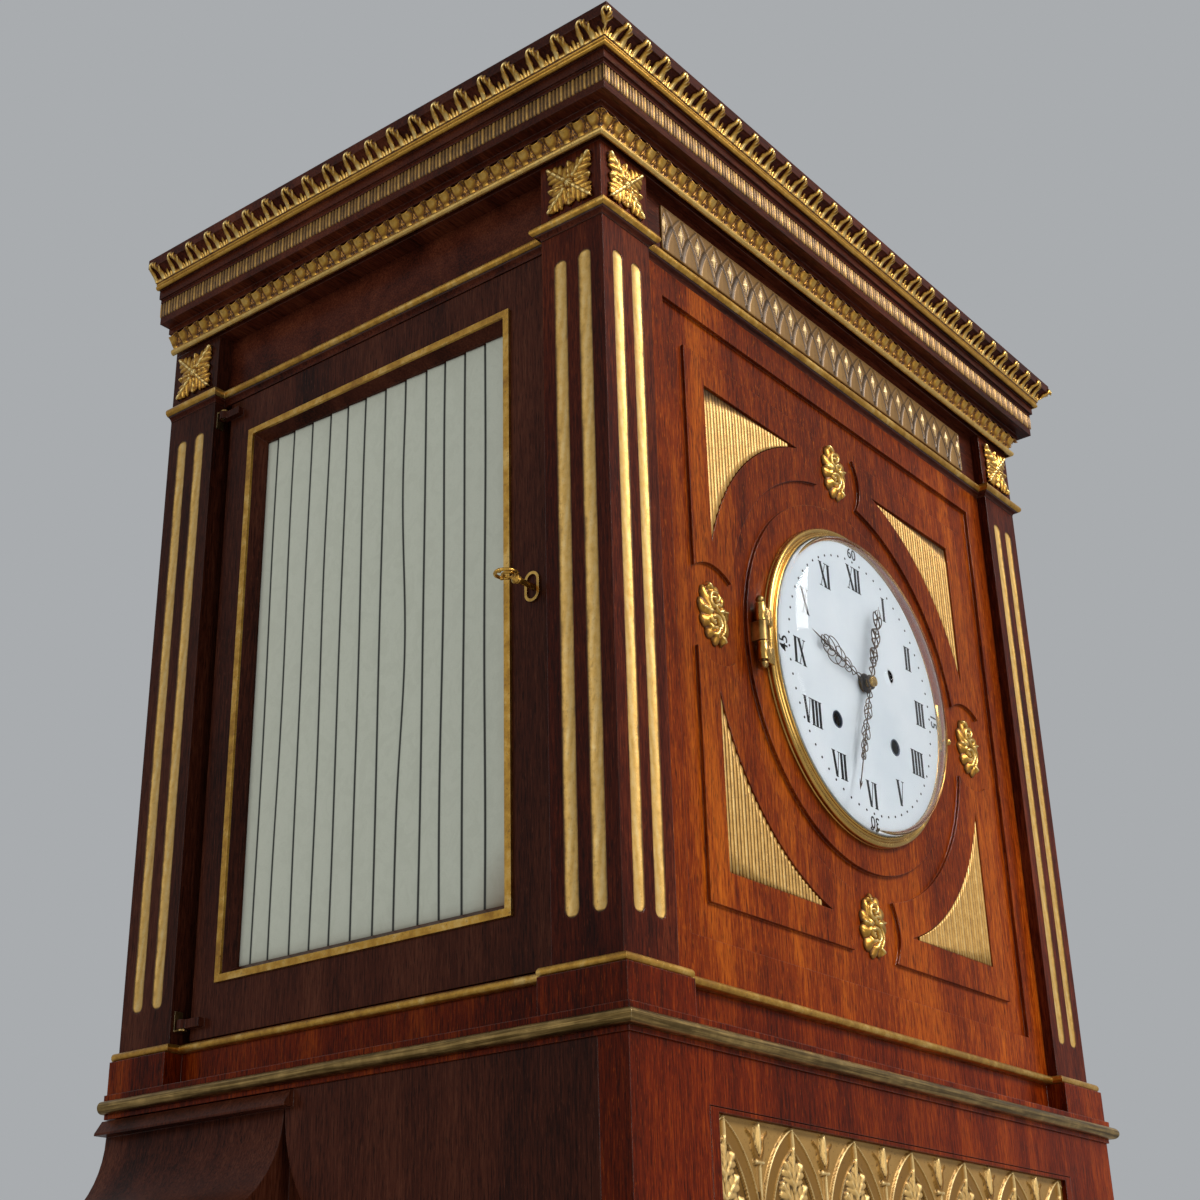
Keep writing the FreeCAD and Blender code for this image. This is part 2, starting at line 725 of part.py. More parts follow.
def post(name, near, mortise=()):
    y0, y1 = (FRONT, deep(D.post_width)) if near else (BACK - D.post_width, BACK)
    body = block(name + "_blank", (-HALF, -POST_IN), (y0, y1), (high(D.plinth_head), POST_TOP))
    middle_y, middle_x = y0 + D.post_width / 2, D.post_width / 2 - HALF
    gouges = [flute(f"{name}_side_flute_{number}", -HALF - flute_out, middle_y + D.flute_spacing * share)
              for number, share in enumerate((-0.5, 0.5))]
    if near:
        gouges += [flute(f"{name}_front_flute_{number}", middle_x + D.flute_spacing * share, FRONT - flute_out)
                   for number, share in enumerate((-0.5, 0.5))]
    return cut(name + "_cut", body, gouges + list(mortise))


LOCK_Z = high(D.lock_level)
DOOR_OUT = SIDE_IN
bolt_x = (D.bolt_depth - DOOR_OUT, D.bolt_depth + D.bolt_thick - DOOR_OUT)
BOLT_Y = deep(D.post_width + D.door_front_gap + D.bolt_rest)
mortise = block("post_mortise", (bolt_x[0] - D.bolt_clear, bolt_x[1] + D.bolt_clear),
                (BOLT_Y - D.bolt_throw - D.bolt_clear * 4, deep(D.post_width) + D.cut_overrun),
                (LOCK_Z - D.bolt_height / 2 - D.bolt_clear, LOCK_Z + D.bolt_height / 2 + D.bolt_clear))
piece(post("post_fl", True, [mortise]), "post_front_left")
mirrored(post("post_fr", True), "post_front_right")
back_post = piece(post("post_bl", False), "post_back_left")
mirrored(back_post, "post_back_right")

# frieze
COVE_FOOT = high(D.upper_fillet_foot - D.cove_projection)
FRIEZE_IN = NECK_HALF - D.plinth_return
frieze_parts = [block("frieze_front", (-POST_IN, POST_IN), (deep(D.front_setback), deep(D.frieze_inner)), (COVE_FOOT, POST_TOP))]
for number, sx in enumerate((-1, 1)):
    for label, out, zs in (("board", HALF - D.frieze_side_setback, (high(D.block_foot), POST_TOP)),
                           ("rail", SIDE_IN, (COVE_FOOT, high(D.block_foot)))):
        xs = (-out, -FRIEZE_IN) if sx < 0 else (FRIEZE_IN, out)
        frieze_parts.append(block(f"frieze_{label}_{number}", xs, (deep(D.post_width), BACK - D.post_width), zs))
cove = moulding("cove", [(ZERO, ZERO), ((D.cove_projection, D.cove_projection), (D.cove_projection, ZERO), -1),
                         (ZERO, D.cove_projection)], STEPPED, COVE_FOOT)
piece(fused("frieze_joined", frieze_parts + [cove]), "frieze_board")
upper_fillet = moulding("upper_fillet", rounded(D.upper_fillet_height), STEPPED, high(D.upper_fillet_foot))
piece(group("fillet_pair", [lower_fillet, upper_fillet]), "gilt_fillets")
relief_y = deep(D.front_setback)
piece(frame_of(
    "frieze_relief_plate",
    ((-D.frieze_relief_half, D.frieze_relief_half), (relief_y - D.frieze_relief_thick, relief_y),
     (high(D.frieze_relief_foot), high(D.frieze_relief_head))),
    ((D.frieze_relief_border - D.frieze_relief_half, D.frieze_relief_half - D.frieze_relief_border),
     (relief_y - D.frieze_relief_thick - D.cut_overrun, relief_y - D.frieze_relief_relief),
     (high(D.frieze_relief_foot + D.frieze_relief_border), high(D.frieze_relief_head - D.frieze_relief_border)))),
    "frieze_relief")


def rosette(name, x, y, turn, xs, ys):
    """A square plate with a domed flower; the dome's axis points out of the face."""
    level = high((D.block_foot + D.block_head) / 2)
    side = D.rosette_side / 2
    plate = block(name + "_plate", xs, ys, (level - side, level + side))
    mid = D.rosette_plate - (D.rosette_dome * D.rosette_dome - D.rosette_rise * D.rosette_rise) / D.rosette_rise / 2
    dome = turned(name + "_dome", [
        (ZERO, ZERO), (D.rosette_dome, ZERO), (D.rosette_dome, D.rosette_plate),
        ((ZERO, D.rosette_plate + D.rosette_rise), (ZERO, mid), 1)], x, y, level, turn)
    return fused(name, [plate, dome])


centre = HALF - D.post_width / 2
half = D.rosette_side / 2
flowers = []
for number, sx in enumerate((-1, 1)):
    middle = -centre if sx < 0 else centre
    flowers.append(rosette(f"rosette_front_{number}", middle, FRONT, OUT_FRONT, (middle - half, middle + half),
                           (FRONT - D.rosette_plate, FRONT)))
    turn = Rotation(Vector(0, 1, 0), 90 * sx)
    xs = (-HALF - D.rosette_plate, -HALF) if sx < 0 else (HALF, HALF + D.rosette_plate)
    for spot, y in (("near", deep(D.post_width / 2)), ("far", BACK - D.post_width / 2)):
        flowers.append(rosette(f"rosette_{spot}_{number}", -HALF if sx < 0 else HALF, y, turn, xs, (y - half, y + half)))
piece(group("rosette_set", flowers), "rosettes")

# cornice
cove_run, cove_climb = D.crown_inner - D.cresting_back, D.crown_foot - D.cove_foot
cove_arc = (cove_run * cove_run + cove_climb * cove_climb) / cove_run / 2
reed_x = D.corona_projection - D.reed_setback
crown = moulding("crown", [
    (-D.rim_width, D.block_head), (ZERO, D.block_head), (ZERO, D.band_head), (D.band_projection, D.band_head),
    (D.band_projection, D.soffit_level), (D.corona_projection, D.soffit_level),
    (D.corona_projection, D.corona_strip_head), (reed_x, D.corona_strip_head), (reed_x, D.reed_head),
    (D.step_one, D.reed_head), (D.step_one, D.reed_head + D.step_height), (D.step_two, D.reed_head + D.step_height),
    (D.step_two, D.cove_foot), (D.cresting_back, D.cove_foot),
    ((D.crown_inner, D.crown_foot), (D.cresting_back + cove_arc, D.cove_foot), -1),
    (D.crown_projection, D.crown_foot), (D.crown_projection, D.cornice_head), (-D.rim_width, D.cornice_head)],
    PLAIN, D.hood_level)
roof = block("roof", (-NECK_HALF, NECK_HALF), (deep(D.rim_width), BACK),
             (high(D.cornice_head - D.roof_thick), high(D.cornice_head)))
piece(fused("cornice_joined", [crown, roof]), "cornice")
bead_foot, bead_mid = D.block_head, D.block_head + D.band_bead_height / 2
bead_top = D.block_head + D.band_bead_height
ovolo_foot = bead_top + D.band_fillet_height
F = D.band_fillet_projection
ovolo_run, ovolo_climb = D.band_projection - F, D.band_head - ovolo_foot
ovolo_arc = (ovolo_run * ovolo_run + ovolo_climb * ovolo_climb) / ovolo_climb / 2
piece(moulding("egg_band_sweep", [
    (ZERO, bead_foot), (F, bead_foot), ((F + D.band_bead_height / 2, bead_mid), (F, bead_mid), 1),
    ((F, bead_top), (F, bead_mid), 1), (F, ovolo_foot),
    ((D.band_projection, D.band_head), (F, ovolo_foot + ovolo_arc), 1), (ZERO, D.band_head)],
    PLAIN, D.hood_level), "egg_band")
leaf_arc = cove_arc - D.cresting_thick
leaf_centre = D.cresting_back + cove_arc
climb = D.cresting_head - D.cove_foot
piece(moulding("cresting_sweep", [
    (D.step_two, D.reed_head + D.step_height * 2), (D.cresting_back, D.reed_head + D.step_height * 2),
    (D.cresting_back + D.cresting_thick, D.cove_foot),
    ((leaf_centre - root(leaf_arc * leaf_arc - climb * climb), D.cresting_head), (leaf_centre, D.cove_foot), -1),
    (leaf_centre - root(cove_arc * cove_arc - climb * climb), D.cresting_head),
    ((D.cresting_back, D.cove_foot), (leaf_centre, D.cove_foot), 1), (D.step_two, D.cove_foot)],
    PLAIN, D.hood_level), "cresting")

# hood front panel: frame, four arched fields with spandrels, ring round the dial
DIAL_Z = high(D.dial_level)
MIDDLE = (ZERO, ZERO)
panel = new_body("front_panel_body")
face_rise = D.panel_floor - D.front_setback
FRAME_HALF = POST_IN - D.field_frame_margin
foot, head = D.plinth_head - D.dial_level, D.upper_fillet_foot - D.cove_projection - D.dial_level
pad(panel, "panel_floor_pad", "XZ_Plane", [rectangle(-POST_IN, POST_IN, foot, head), [MIDDLE, D.dial_bore]],
    D.panel_thick, back=True)
pad(panel, "panel_frame_pad", "XZ_Plane", [
    rectangle(-POST_IN, POST_IN, foot, head),
    rectangle(-FRAME_HALF, FRAME_HALF, -D.field_frame_foot, D.field_frame_head)], face_rise)
pad(panel, "panel_ring_pad", "XZ_Plane", [[MIDDLE, D.ring_outer], [MIDDLE, D.dial_bore]], face_rise)
F, B, A, O = FRAME_HALF - D.field_margin, D.bite_radius, D.field_arc, D.mount_orbit
bite_edge = root(B * B - (F - O) * (F - O))
meet = (O * O + A * A - B * B) / O / 2
meet_side = root(A * A - meet * meet)
S = F - D.spandrel_margin
P = S + D.spandrel_bulge
tip = root(P * P - S * S)
field_loops = [
    [(-F, F), (-F, bite_edge), ((-meet, meet_side), (-O, ZERO), -1), ((-meet_side, meet), MIDDLE, -1),
     ((-bite_edge, F), (ZERO, O), -1)],
    [(-S, S), (-S, tip), ((-tip, S), MIDDLE, -1)]]
field = pad(panel, "panel_field_pad", "XZ_Plane", field_loops, D.field_rise)
pattern = panel.newObject("PartDesign::PolarPattern", "panel_fields")
pattern.Originals = [field]
pattern.Axis = (field.Profile[0], ["N_Axis"])
pattern.Angle = 360.0
pattern.Occurrences = 4
panel.Tip = pattern
piece(place(panel, ZERO, deep(D.panel_floor), DIAL_Z), "front_panel")


def leaf_mount(name, x, z):
    body = new_body(name)
    pad(body, name + "_plate", "XZ_Plane", [[MIDDLE, D.mount_radius - D.mount_lobe / 2]], D.mount_height / 2)
    lobe = pad(body, name + "_lobe", "XZ_Plane", [[(ZERO, D.mount_radius - D.mount_lobe), D.mount_lobe]],
               D.mount_height)
    ring = body.newObject("PartDesign::PolarPattern", name + "_ring")
    ring.Originals = [lobe]
    ring.Axis = (lobe.Profile[0], ["N_Axis"])
    ring.Angle = 360.0
    ring.Occurrences = 8
    body.Tip = ring
    place(body, x, deep(D.panel_floor), DIAL_Z + z)
    boss = ball(name + "_boss", D.mount_boss, x, deep(D.panel_floor - D.mount_height / 2), DIAL_Z + z)
    floor = block(name + "_trim", (x - D.mount_radius, x + D.mount_radius),
                  (deep(D.panel_floor), deep(D.panel_floor + D.mount_radius)),
                  (DIAL_Z + z - D.mount_radius, DIAL_Z + z + D.mount_radius))
    return fused(name + "_whole", [body, cut(name + "_dome", boss, [floor])])


piece(group("leaf_mount_set", [
    leaf_mount("leaf_west", -O, ZERO), leaf_mount("leaf_east", O, ZERO),
    leaf_mount("leaf_north", ZERO, O), leaf_mount("leaf_south", ZERO, -O)]), "foliate_mounts")

# dial, bezel, hands
DIAL_Y = deep(D.dial_face)
wind_x, wind_z = D.winding_offset, -D.winding_drop
dial_disc = prism("dial_disc", "XZ_Plane", [
    [MIDDLE, D.dial_radius], [MIDDLE, D.dial_hub_hole], [(wind_x, wind_z), D.winding_hole],
    [(-wind_x, wind_z), D.winding_hole]], D.dial_thick, y=DIAL_Y + D.dial_thick, z=DIAL_Z)
foot_side = D.dial_foot_orbit * 0.707
dial_feet = [rod(f"dial_foot_{number}", D.dial_foot_radius, deep(D.plate_front) - DIAL_Y - D.dial_thick / 2,
                 foot_side * sx, DIAL_Y + D.dial_thick / 2, DIAL_Z + foot_side * sz, "y")
             for number, (sx, sz) in enumerate(((-1, 1), (1, 1), (1, -1), (-1, -1)))]
piece(fused("dial_joined", [dial_disc] + dial_feet), "dial")

SEAT = deep(D.front_setback)
edge_mid = D.bezel_outer - (D.bezel_depth - D.bezel_edge)
bezel_ring = turned("bezel_ring", [
    (D.dial_radius + D.hinge_gap * 4, ZERO), (D.bezel_outer, ZERO), (D.bezel_outer, D.bezel_edge),
    ((edge_mid, D.bezel_depth), (edge_mid, D.bezel_edge), 1),
    (D.bezel_inner, D.bezel_depth - D.glass_thick / 2), (D.bezel_inner, D.glass_seat + D.glass_thick),
    (D.glass_radius, D.glass_seat + D.glass_thick), (D.glass_radius, D.bezel_edge)],
    ZERO, SEAT, DIAL_Z, OUT_FRONT)
AXIS_X, AXIS_Y = -D.hinge_offset, SEAT - D.hinge_out
knuckle = D.hinge_height / 3
moving = []
for number, low in enumerate((DIAL_Z - knuckle * 1.5, DIAL_Z + knuckle / 2 + D.hinge_gap)):
    name = f"bezel_knuckle_{number}"
    barrel = fused(name + "_solid", [
        rod(name, D.hinge_radius, knuckle - D.hinge_gap, AXIS_X, AXIS_Y, low),
        block(name + "_arm", (AXIS_X, AXIS_X + D.hinge_radius * 3),
              (AXIS_Y - D.hinge_radius, AXIS_Y), (low, low + knuckle - D.hinge_gap))])
    moving.append(cut(name + "_cut", barrel,
                      [rod(name + "_bore", D.hinge_pin + D.pivot_clear, knuckle, AXIS_X, AXIS_Y, low)]))
tab = block("bezel_tab", (D.bezel_outer - D.tab_thick, D.bezel_outer + D.tab_thick),
            (SEAT - D.bezel_edge, SEAT - D.hinge_gap), (DIAL_Z - D.tab_height / 2, DIAL_Z + D.tab_height / 2))
piece(fused("bezel_joined", [bezel_ring, tab] + moving), "bezel")
mid_low, mid_top = DIAL_Z - knuckle / 2 + D.hinge_gap / 2, DIAL_Z + knuckle / 2
fixed = [rod("bezel_hinge_barrel", D.hinge_radius, mid_top - mid_low, AXIS_X, AXIS_Y, mid_low),
         rod("bezel_hinge_pin", D.hinge_pin, D.hinge_height, AXIS_X, AXIS_Y, DIAL_Z - D.hinge_height / 2),
         block("bezel_hinge_leaf", (AXIS_X - D.hinge_radius, AXIS_X + D.hinge_radius), (AXIS_Y, SEAT), (mid_low, mid_top))]
for label, z in (("foot", DIAL_Z - D.hinge_height / 2 - D.finial_radius * 0.8 - D.hinge_gap),
                 ("head", DIAL_Z + D.hinge_height / 2 + D.finial_radius * 0.8 + D.hinge_gap)):
    fixed.append(ball(f"bezel_finial_{label}", D.finial_radius, AXIS_X, AXIS_Y, z))
piece(fused("bezel_hinge_joined", fixed), "bezel_hinge")
G, RISE, T = D.glass_dome, D.glass_rise, D.glass_thick
dome_arc = (G * G + RISE * RISE) / RISE / 2
low, top = D.glass_seat, D.glass_seat + T
glass_edge = D.glass_radius - D.hinge_gap
piece(turned("glass_body", [
    (glass_edge, low), (glass_edge, top), (G, top), ((ZERO, top + RISE), (ZERO, top + RISE - dome_arc), 1),
    (ZERO, low + RISE), ((G, low), (ZERO, low + RISE - dome_arc), -1)],
    ZERO, SEAT, DIAL_Z, OUT_FRONT), "bezel_glass")

HOUR_TURN, MINUTE_TURN = 286.5, 198.0
HOUR_SHARES = ((0.05, 0.62), (0.17, 0.70), (0.5, 0.80), (0.12, 0.90))
MINUTE_SHARES = ((0.14, 0.70), (0.5, 0.80), (0.12, 0.92))
TAIL_SHARES = ((0.25, 0.30), (0.5, 0.55), (0.32, 0.92))


def hand(name, length, width, shares, hub_hole, turn, face, tail=None):
    """A flat hand: shares are (of width, of length) pairs from the hub to the tip."""
    right = [(D.hand_root / 2, ZERO)] + [(width * side, length * along) for side, along in shares]
    loop = right + [(ZERO, length)] + [(-x, z) for x, z in reversed(right)]
    body = new_body(name)
    pad(body, name + "_blade", "XZ_Plane", [loop], D.hand_thick)
    if tail:
        pad(body, name + "_tail", "XZ_Plane", [
            [(D.hand_root / 2, ZERO), (-D.hand_root / 2, ZERO)]
            + [(-tail[1] * side, -tail[0] * along) for side, along in tail[2]]
            + [(tail[1] * side, -tail[0] * along) for side, along in reversed(tail[2])]], D.hand_thick)
    pad(body, name + "_hub", "XZ_Plane", [[MIDDLE, D.hand_hub]], D.hand_thick)
    hole = body.newObject("PartDesign::Pocket", name + "_hole")
    hole.Profile = flat(body, name + "_hole_outline", "XZ_Plane", [[MIDDLE, hub_hole]])
    hole.Type = "ThroughAll"
    hole.Midplane = True
    body.Tip = hole
    return place(body, ZERO, DIAL_Y - face + D.hand_thick, DIAL_Z, Rotation(Vector(0, 1, 0), turn))


FIT = D.pivot_fit
CANNON = D.arbor_radius + D.pivot_pin
HOUR_PIPE = CANNON + D.hand_thick * 1.5
hour = piece(hand("hour_hand_body", D.hour_hand_length, D.hour_hand_width, HOUR_SHARES, HOUR_PIPE, HOUR_TURN,
                  D.hour_hand_face), "hour_hand")
minute = piece(hand("minute_hand_body", D.minute_hand_length, D.minute_hand_width, MINUTE_SHARES, CANNON, MINUTE_TURN,
                    D.minute_hand_face, (D.minute_tail_length, D.minute_tail_width, TAIL_SHARES)), "minute_hand")

# hood doors, pivots, lock
DOOR_FRONT = deep(D.post_width + D.door_front_gap)
DOOR_BACK = BACK - D.post_width - D.door_back_gap
DOOR_LOW = high(D.sill_head + D.door_foot_gap)
DOOR_HIGH = COVE_FOOT - D.door_head_gap
door_xs = (-DOOR_OUT, D.door_thick - DOOR_OUT)
bead_in = ((deep(D.bead_front + D.bead_width), BACK - D.bead_back_inset - D.bead_width),
           (high(D.bead_foot + D.bead_width), high(D.bead_head - D.bead_width)))
silk_in = tuple((low + D.bevel_width, top - D.bevel_width) for low, top in bead_in)
PIVOT_X, PIVOT_Y = -DOOR_OUT - D.pivot_out, BACK - D.post_width - D.pivot_back


def bevel(name):
    """A frustum along X that slopes the inner edge of the door frame."""
    wedge = hidden(name, "Part::Wedge")
    outer, inner = bead_in, silk_in
    values = {
        "Xmin": -outer[0][1], "Xmax": -outer[0][0], "Zmin": outer[1][0], "Zmax": outer[1][1],
        "X2min": -inner[0][1], "X2max": -inner[0][0], "Z2min": inner[1][0], "Z2max": inner[1][1],
        "Ymin": -DOOR_OUT, "Ymax": D.bevel_depth - DOOR_OUT}
    for prop, item in values.items():
        wedge.setExpression(prop, item.text)
    wedge.Placement = Placement(Vector(0, 0, 0), Rotation(Vector(0, 0, 1), -90))
    return wedge


def lug(name, low, top):
    strap_top = low + D.lug_height
    solid = fused(name + "_solid", [
        rod(name + "_eye", D.lug_radius, D.lug_height, PIVOT_X, PIVOT_Y, low),
        block(name + "_strap", (PIVOT_X - D.lug_radius / 4, -DOOR_OUT), (DOOR_BACK - D.lug_strap, PIVOT_Y), (low, strap_top))])
    return cut(name, solid, [rod(name + "_bore", D.pivot_radius + D.pivot_clear, D.lug_height, PIVOT_X, PIVOT_Y, low)])


def door(name, lock):
    blank = block(name + "_blank", door_xs, (DOOR_FRONT, DOOR_BACK), (DOOR_LOW, DOOR_HIGH))
    tools = [block(name + "_window", (-DOOR_OUT, door_xs[1] + D.cut_overrun), *silk_in), bevel(name + "_bevel")]
    if lock:
        y = deep(D.lock_back)
        tools += [rod(name + "_keyhole", D.key_radius + D.key_bore_clear, D.door_thick - D.bolt_thick, -DOOR_OUT, y, LOCK_Z, "x"),
                  rod(name + "_lock_room", D.bolt_height / 2 + D.bolt_clear, D.bolt_thick + D.bolt_clear * 2,
                      bolt_x[0] - D.bolt_clear, y, LOCK_Z, "x"),
                  block(name + "_bolt_way", (bolt_x[0] - D.bolt_clear, bolt_x[1] + D.bolt_clear),
                        (DOOR_FRONT - D.cut_overrun, y), (LOCK_Z - D.bolt_height / 2 - D.bolt_clear,
                                                          LOCK_Z + D.bolt_height / 2 + D.bolt_clear))]
    lugs = [lug(name + "_lug_low", DOOR_LOW + D.lug_inset, None), lug(name + "_lug_high", DOOR_HIGH - D.lug_inset - D.lug_height, None)]
    return fused(name + "_joined", [cut(name + "_cut", blank, tools)] + lugs)


piece(door("door_left", True), "door_left_frame")
mirrored(door("door_right", False), "door_right_frame")
left_bead = piece(frame_of("door_bead", (
    (-DOOR_OUT - D.bead_rise, -DOOR_OUT), (deep(D.bead_front), BACK - D.bead_back_inset), (high(D.bead_foot), high(D.bead_head))),
    ((-DOOR_OUT - D.bead_rise - D.cut_overrun, D.cut_overrun - DOOR_OUT),) + bead_in), "door_left_bead")
mirrored(left_bead, "door_right_bead")


def pleated(name):
    """Gathered silk: a sheet whose outer face is a row of arched folds, held in the door's window."""
    folds = 14
    gap, y0, y1 = D.silk_gap.value, silk_in[0][0].value, silk_in[0][1].value
    x = (D.silk_setback - DOOR_OUT).value
    y0, y1 = y0 + gap, y1 - gap
    pitch = (y1 - y0) / folds
    valley, crest = x + D.silk_fold.value, x
    edges = []
    for number in range(folds):
        a, b = y0 + pitch * number, y0 + pitch * (number + 1)
        edges.append(Part.Arc(Vector(valley, a, 0), Vector(crest, (a + b) / 2, 0), Vector(valley, b, 0)).toShape())
    back_x = x + D.silk_thick.value
    for a, b in (((valley, y1), (back_x, y1)), ((back_x, y1), (back_x, y0)), ((back_x, y0), (valley, y0))):
        edges.append(Part.LineSegment(Vector(*a, 0), Vector(*b, 0)).toShape())
    low, top = silk_in[1][0].value + gap, silk_in[1][1].value - gap
    cloth = hidden(name, "Part::Feature")
    cloth.Shape = Part.Face(Part.Wire(edges)).extrude(Vector(0, 0, top - low))
    cloth.Placement = Placement(Vector(0, 0, low), Rotation())
    return cloth


left_silk = piece(pleated("silk"), "door_left_silk")
mirrored(left_silk, "door_right_silk")

wide, tall = D.escutcheon_half_width, D.escutcheon_half_height
spot_y, spot_z = deep(D.lock_back), LOCK_Z


def stadium(half_width, half_height):
    reach = half_height - half_width
    upper, lower = (ZERO, reach), (ZERO, -reach)
    return [(-half_width, -reach), ((ZERO, -half_height), lower, 1), ((half_width, -reach), lower, 1),
            (half_width, reach), ((ZERO, half_height), upper, 1), ((-half_width, reach), upper, 1)]


piece(prism("escutcheon_body", "YZ_Plane", [
    stadium(wide, tall), stadium(wide - D.escutcheon_wall, tall - D.escutcheon_wall)],
    D.escutcheon_rise, x=-DOOR_OUT - D.escutcheon_rise, y=spot_y, z=spot_z), "door_left_escutcheon")
piece(block("lock_bolt", bolt_x, (BOLT_Y, BOLT_Y + D.bolt_length), (LOCK_Z - D.bolt_height / 2, LOCK_Z + D.bolt_height / 2)),
      "door_left_bolt")
shank = rod("key_shank", D.key_radius, D.key_length + D.key_depth, -DOOR_OUT - D.key_length, spot_y, spot_z, "x")
bow = prism("key_bow", "XZ_Plane", [[MIDDLE, D.bow_radius], [MIDDLE, D.bow_radius - D.bow_wall]], D.bow_thick,
            x=-DOOR_OUT - D.key_length - D.bow_radius + D.bow_wall / 2, y=spot_y + D.bow_thick / 2, z=spot_z)
collar = rod("key_collar", D.key_radius * 1.5, D.bow_wall, -DOOR_OUT - D.key_length + D.bow_wall, spot_y, spot_z, "x")
bit = block("key_bit", (bolt_x[0] + D.bolt_clear, bolt_x[1] - D.bolt_clear),
            (spot_y - D.key_radius / 2, spot_y + D.key_radius / 2), (spot_z, spot_z + D.bolt_height / 2))
piece(fused("key_joined", [shank, bow, collar, bit]), "key")


def bracket(name, z, up, sx):
    """A pivot on the back post: a leaf on the post's front side, an arm over the eye and the pin."""
    x = PIVOT_X if sx < 0 else -PIVOT_X
    thick, gap, height = D.bracket_thick, D.bracket_gap, D.bracket_height
    leaf_y = BACK - D.post_width
    arm = (z + gap, z + gap + thick) if up else (z - gap - thick, z - gap)
    leaf_z = (arm[1] - height, arm[1]) if up else (arm[0], arm[0] + height)
    pin_low = z - D.lug_height if up else z - gap - thick
    inner, outer = DOOR_OUT + gap * 2, -PIVOT_X + D.lug_radius * 0.75
    reach = (-outer, -inner) if sx < 0 else (inner, outer)
    return fused(name, [
        block(name + "_leaf", reach, (leaf_y - thick, leaf_y), leaf_z),
        block(name + "_arm", (x - D.lug_radius * 0.6, x + D.lug_radius * 0.6), (PIVOT_Y, leaf_y), arm),
        rod(name + "_disc", D.lug_radius * 0.8, thick, x, PIVOT_Y, arm[0]),
        rod(name + "_pin", D.pivot_radius, D.lug_height + gap + thick, x, PIVOT_Y, pin_low)])


brackets = []
for number, sx in enumerate((-1, 1)):
    brackets.append(bracket(f"pivot_high_{number}", DOOR_HIGH - D.lug_inset, True, sx))
    brackets.append(bracket(f"pivot_low_{number}", DOOR_LOW + D.lug_inset, False, sx))
piece(group("pivot_set", brackets), "pivot_brackets")

# movement
WHEEL_SHARES = (0.33, 0.13)
PINION_SHARES = (0.25, 0.10)
ADDENDUM_SHARE, DEDENDUM_SHARE, SPOKE_SHARE = 0.8, 1.15, 0.07


def gear(name, teeth, module, thick, bore, x, y, z, phase, shares, spokes=0):
    """A toothed wheel across Y. Module, thickness and bore are sizes; phase is in degrees from +X to +Z."""
    m, t, b = module.value, thick.value, bore.value
    pitch_radius = teeth * m / 2
    low, top = pitch_radius - DEDENDUM_SHARE * m, pitch_radius + ADDENDUM_SHARE * m
    pitch = 2 * math.pi / teeth
    points = []
    for number in range(teeth):
        middle = math.radians(phase) + number * pitch
        for radius, share in ((low, -shares[0]), (top, -shares[1]), (top, shares[1]), (low, shares[0])):
            angle = middle + share * pitch
            points.append(Vector(radius * math.cos(angle), 0, radius * math.sin(angle)))
    face = Part.Face(Part.makePolygon(points + points[:1]))
    out = Vector(0, 1, 0)
    solid = face.extrude(out * t)
    if spokes:
        rim, hub = low - 2.2 * m, max(b * 2, pitch_radius * 0.16)
        window = Part.makeCylinder(rim, t, Vector(0, 0, 0), out).cut(Part.makeCylinder(hub, t, Vector(0, 0, 0), out))
        wide = pitch_radius * SPOKE_SHARE
        for number in range(spokes):
            bar = Part.makeBox(rim + m, t, wide, Vector(0, 0, -wide / 2))
            bar.rotate(Vector(0, 0, 0), out, 360.0 * number / spokes)
            window = window.cut(bar)
        solid = solid.cut(window)
    if b:
        solid = solid.cut(Part.makeCylinder(b, t, Vector(0, 0, 0), out))
    wheel = hidden(name, "Part::Feature")
    wheel.Shape = solid
    return place(wheel, x, y, z)


def bearing(degrees_from, degrees_to):
    return math.degrees(math.atan2(degrees_to[1].value - degrees_from[1].value,
                                   degrees_to[0].value - degrees_from[0].value))


def distance(a, b):
    return root((b[0] - a[0]) * (b[0] - a[0]) + (b[1] - a[1]) * (b[1] - a[1]))


C = (ZERO, DIAL_Z)
GOING = (-D.winding_offset, DIAL_Z - D.winding_drop)
STRIKE = (D.winding_offset, DIAL_Z - D.winding_drop)
THIRD = (-D.train_side, DIAL_Z + D.train_up)
third_to_escape = D.third_module * 51 / 2
ESCAPE = (ZERO, THIRD[1] + root(third_to_escape * third_to_escape - D.train_side * D.train_side))
ANCHOR = (ZERO, ESCAPE[1] + D.pallet_rise)
MOTION = (D.motion_distance * 0.6, DIAL_Z - D.motion_distance * 0.8)
HAMMER = (D.hammer_side, DIAL_Z + D.hammer_up)
PLATE_IN = deep(D.plate_front) + D.plate_thick
PLATE_BACK = PLATE_IN + D.plate_gap
great_module = distance(GOING, C) * 2 / 78
centre_module = distance(C, THIRD) * 2 / 54
BORE = D.arbor_radius + FIT
TIGHT = D.pivot_pin + FIT
ARBOR_LONG = D.plate_gap - D.shoulder_gap * 2
WINDER = D.arbor_radius * 2
W, L = D.wheel_thick, D.pinion_length


def arbor(name, spot, radius=None, out_front=None, out_back=None):
    """An arbor between the plates with its pivots, or run on through a plate."""
    parts = [rod(name + "_shaft", radius or D.arbor_radius, ARBOR_LONG, spot[0], PLATE_IN + D.shoulder_gap, spot[1], "y")]
    low = out_front or deep(D.plate_front)
    top = out_back or PLATE_BACK + D.plate_thick
    parts.append(rod(name + "_pivot", D.pivot_pin if radius is None else radius, top - low, spot[0], low, spot[1], "y"))
    return parts


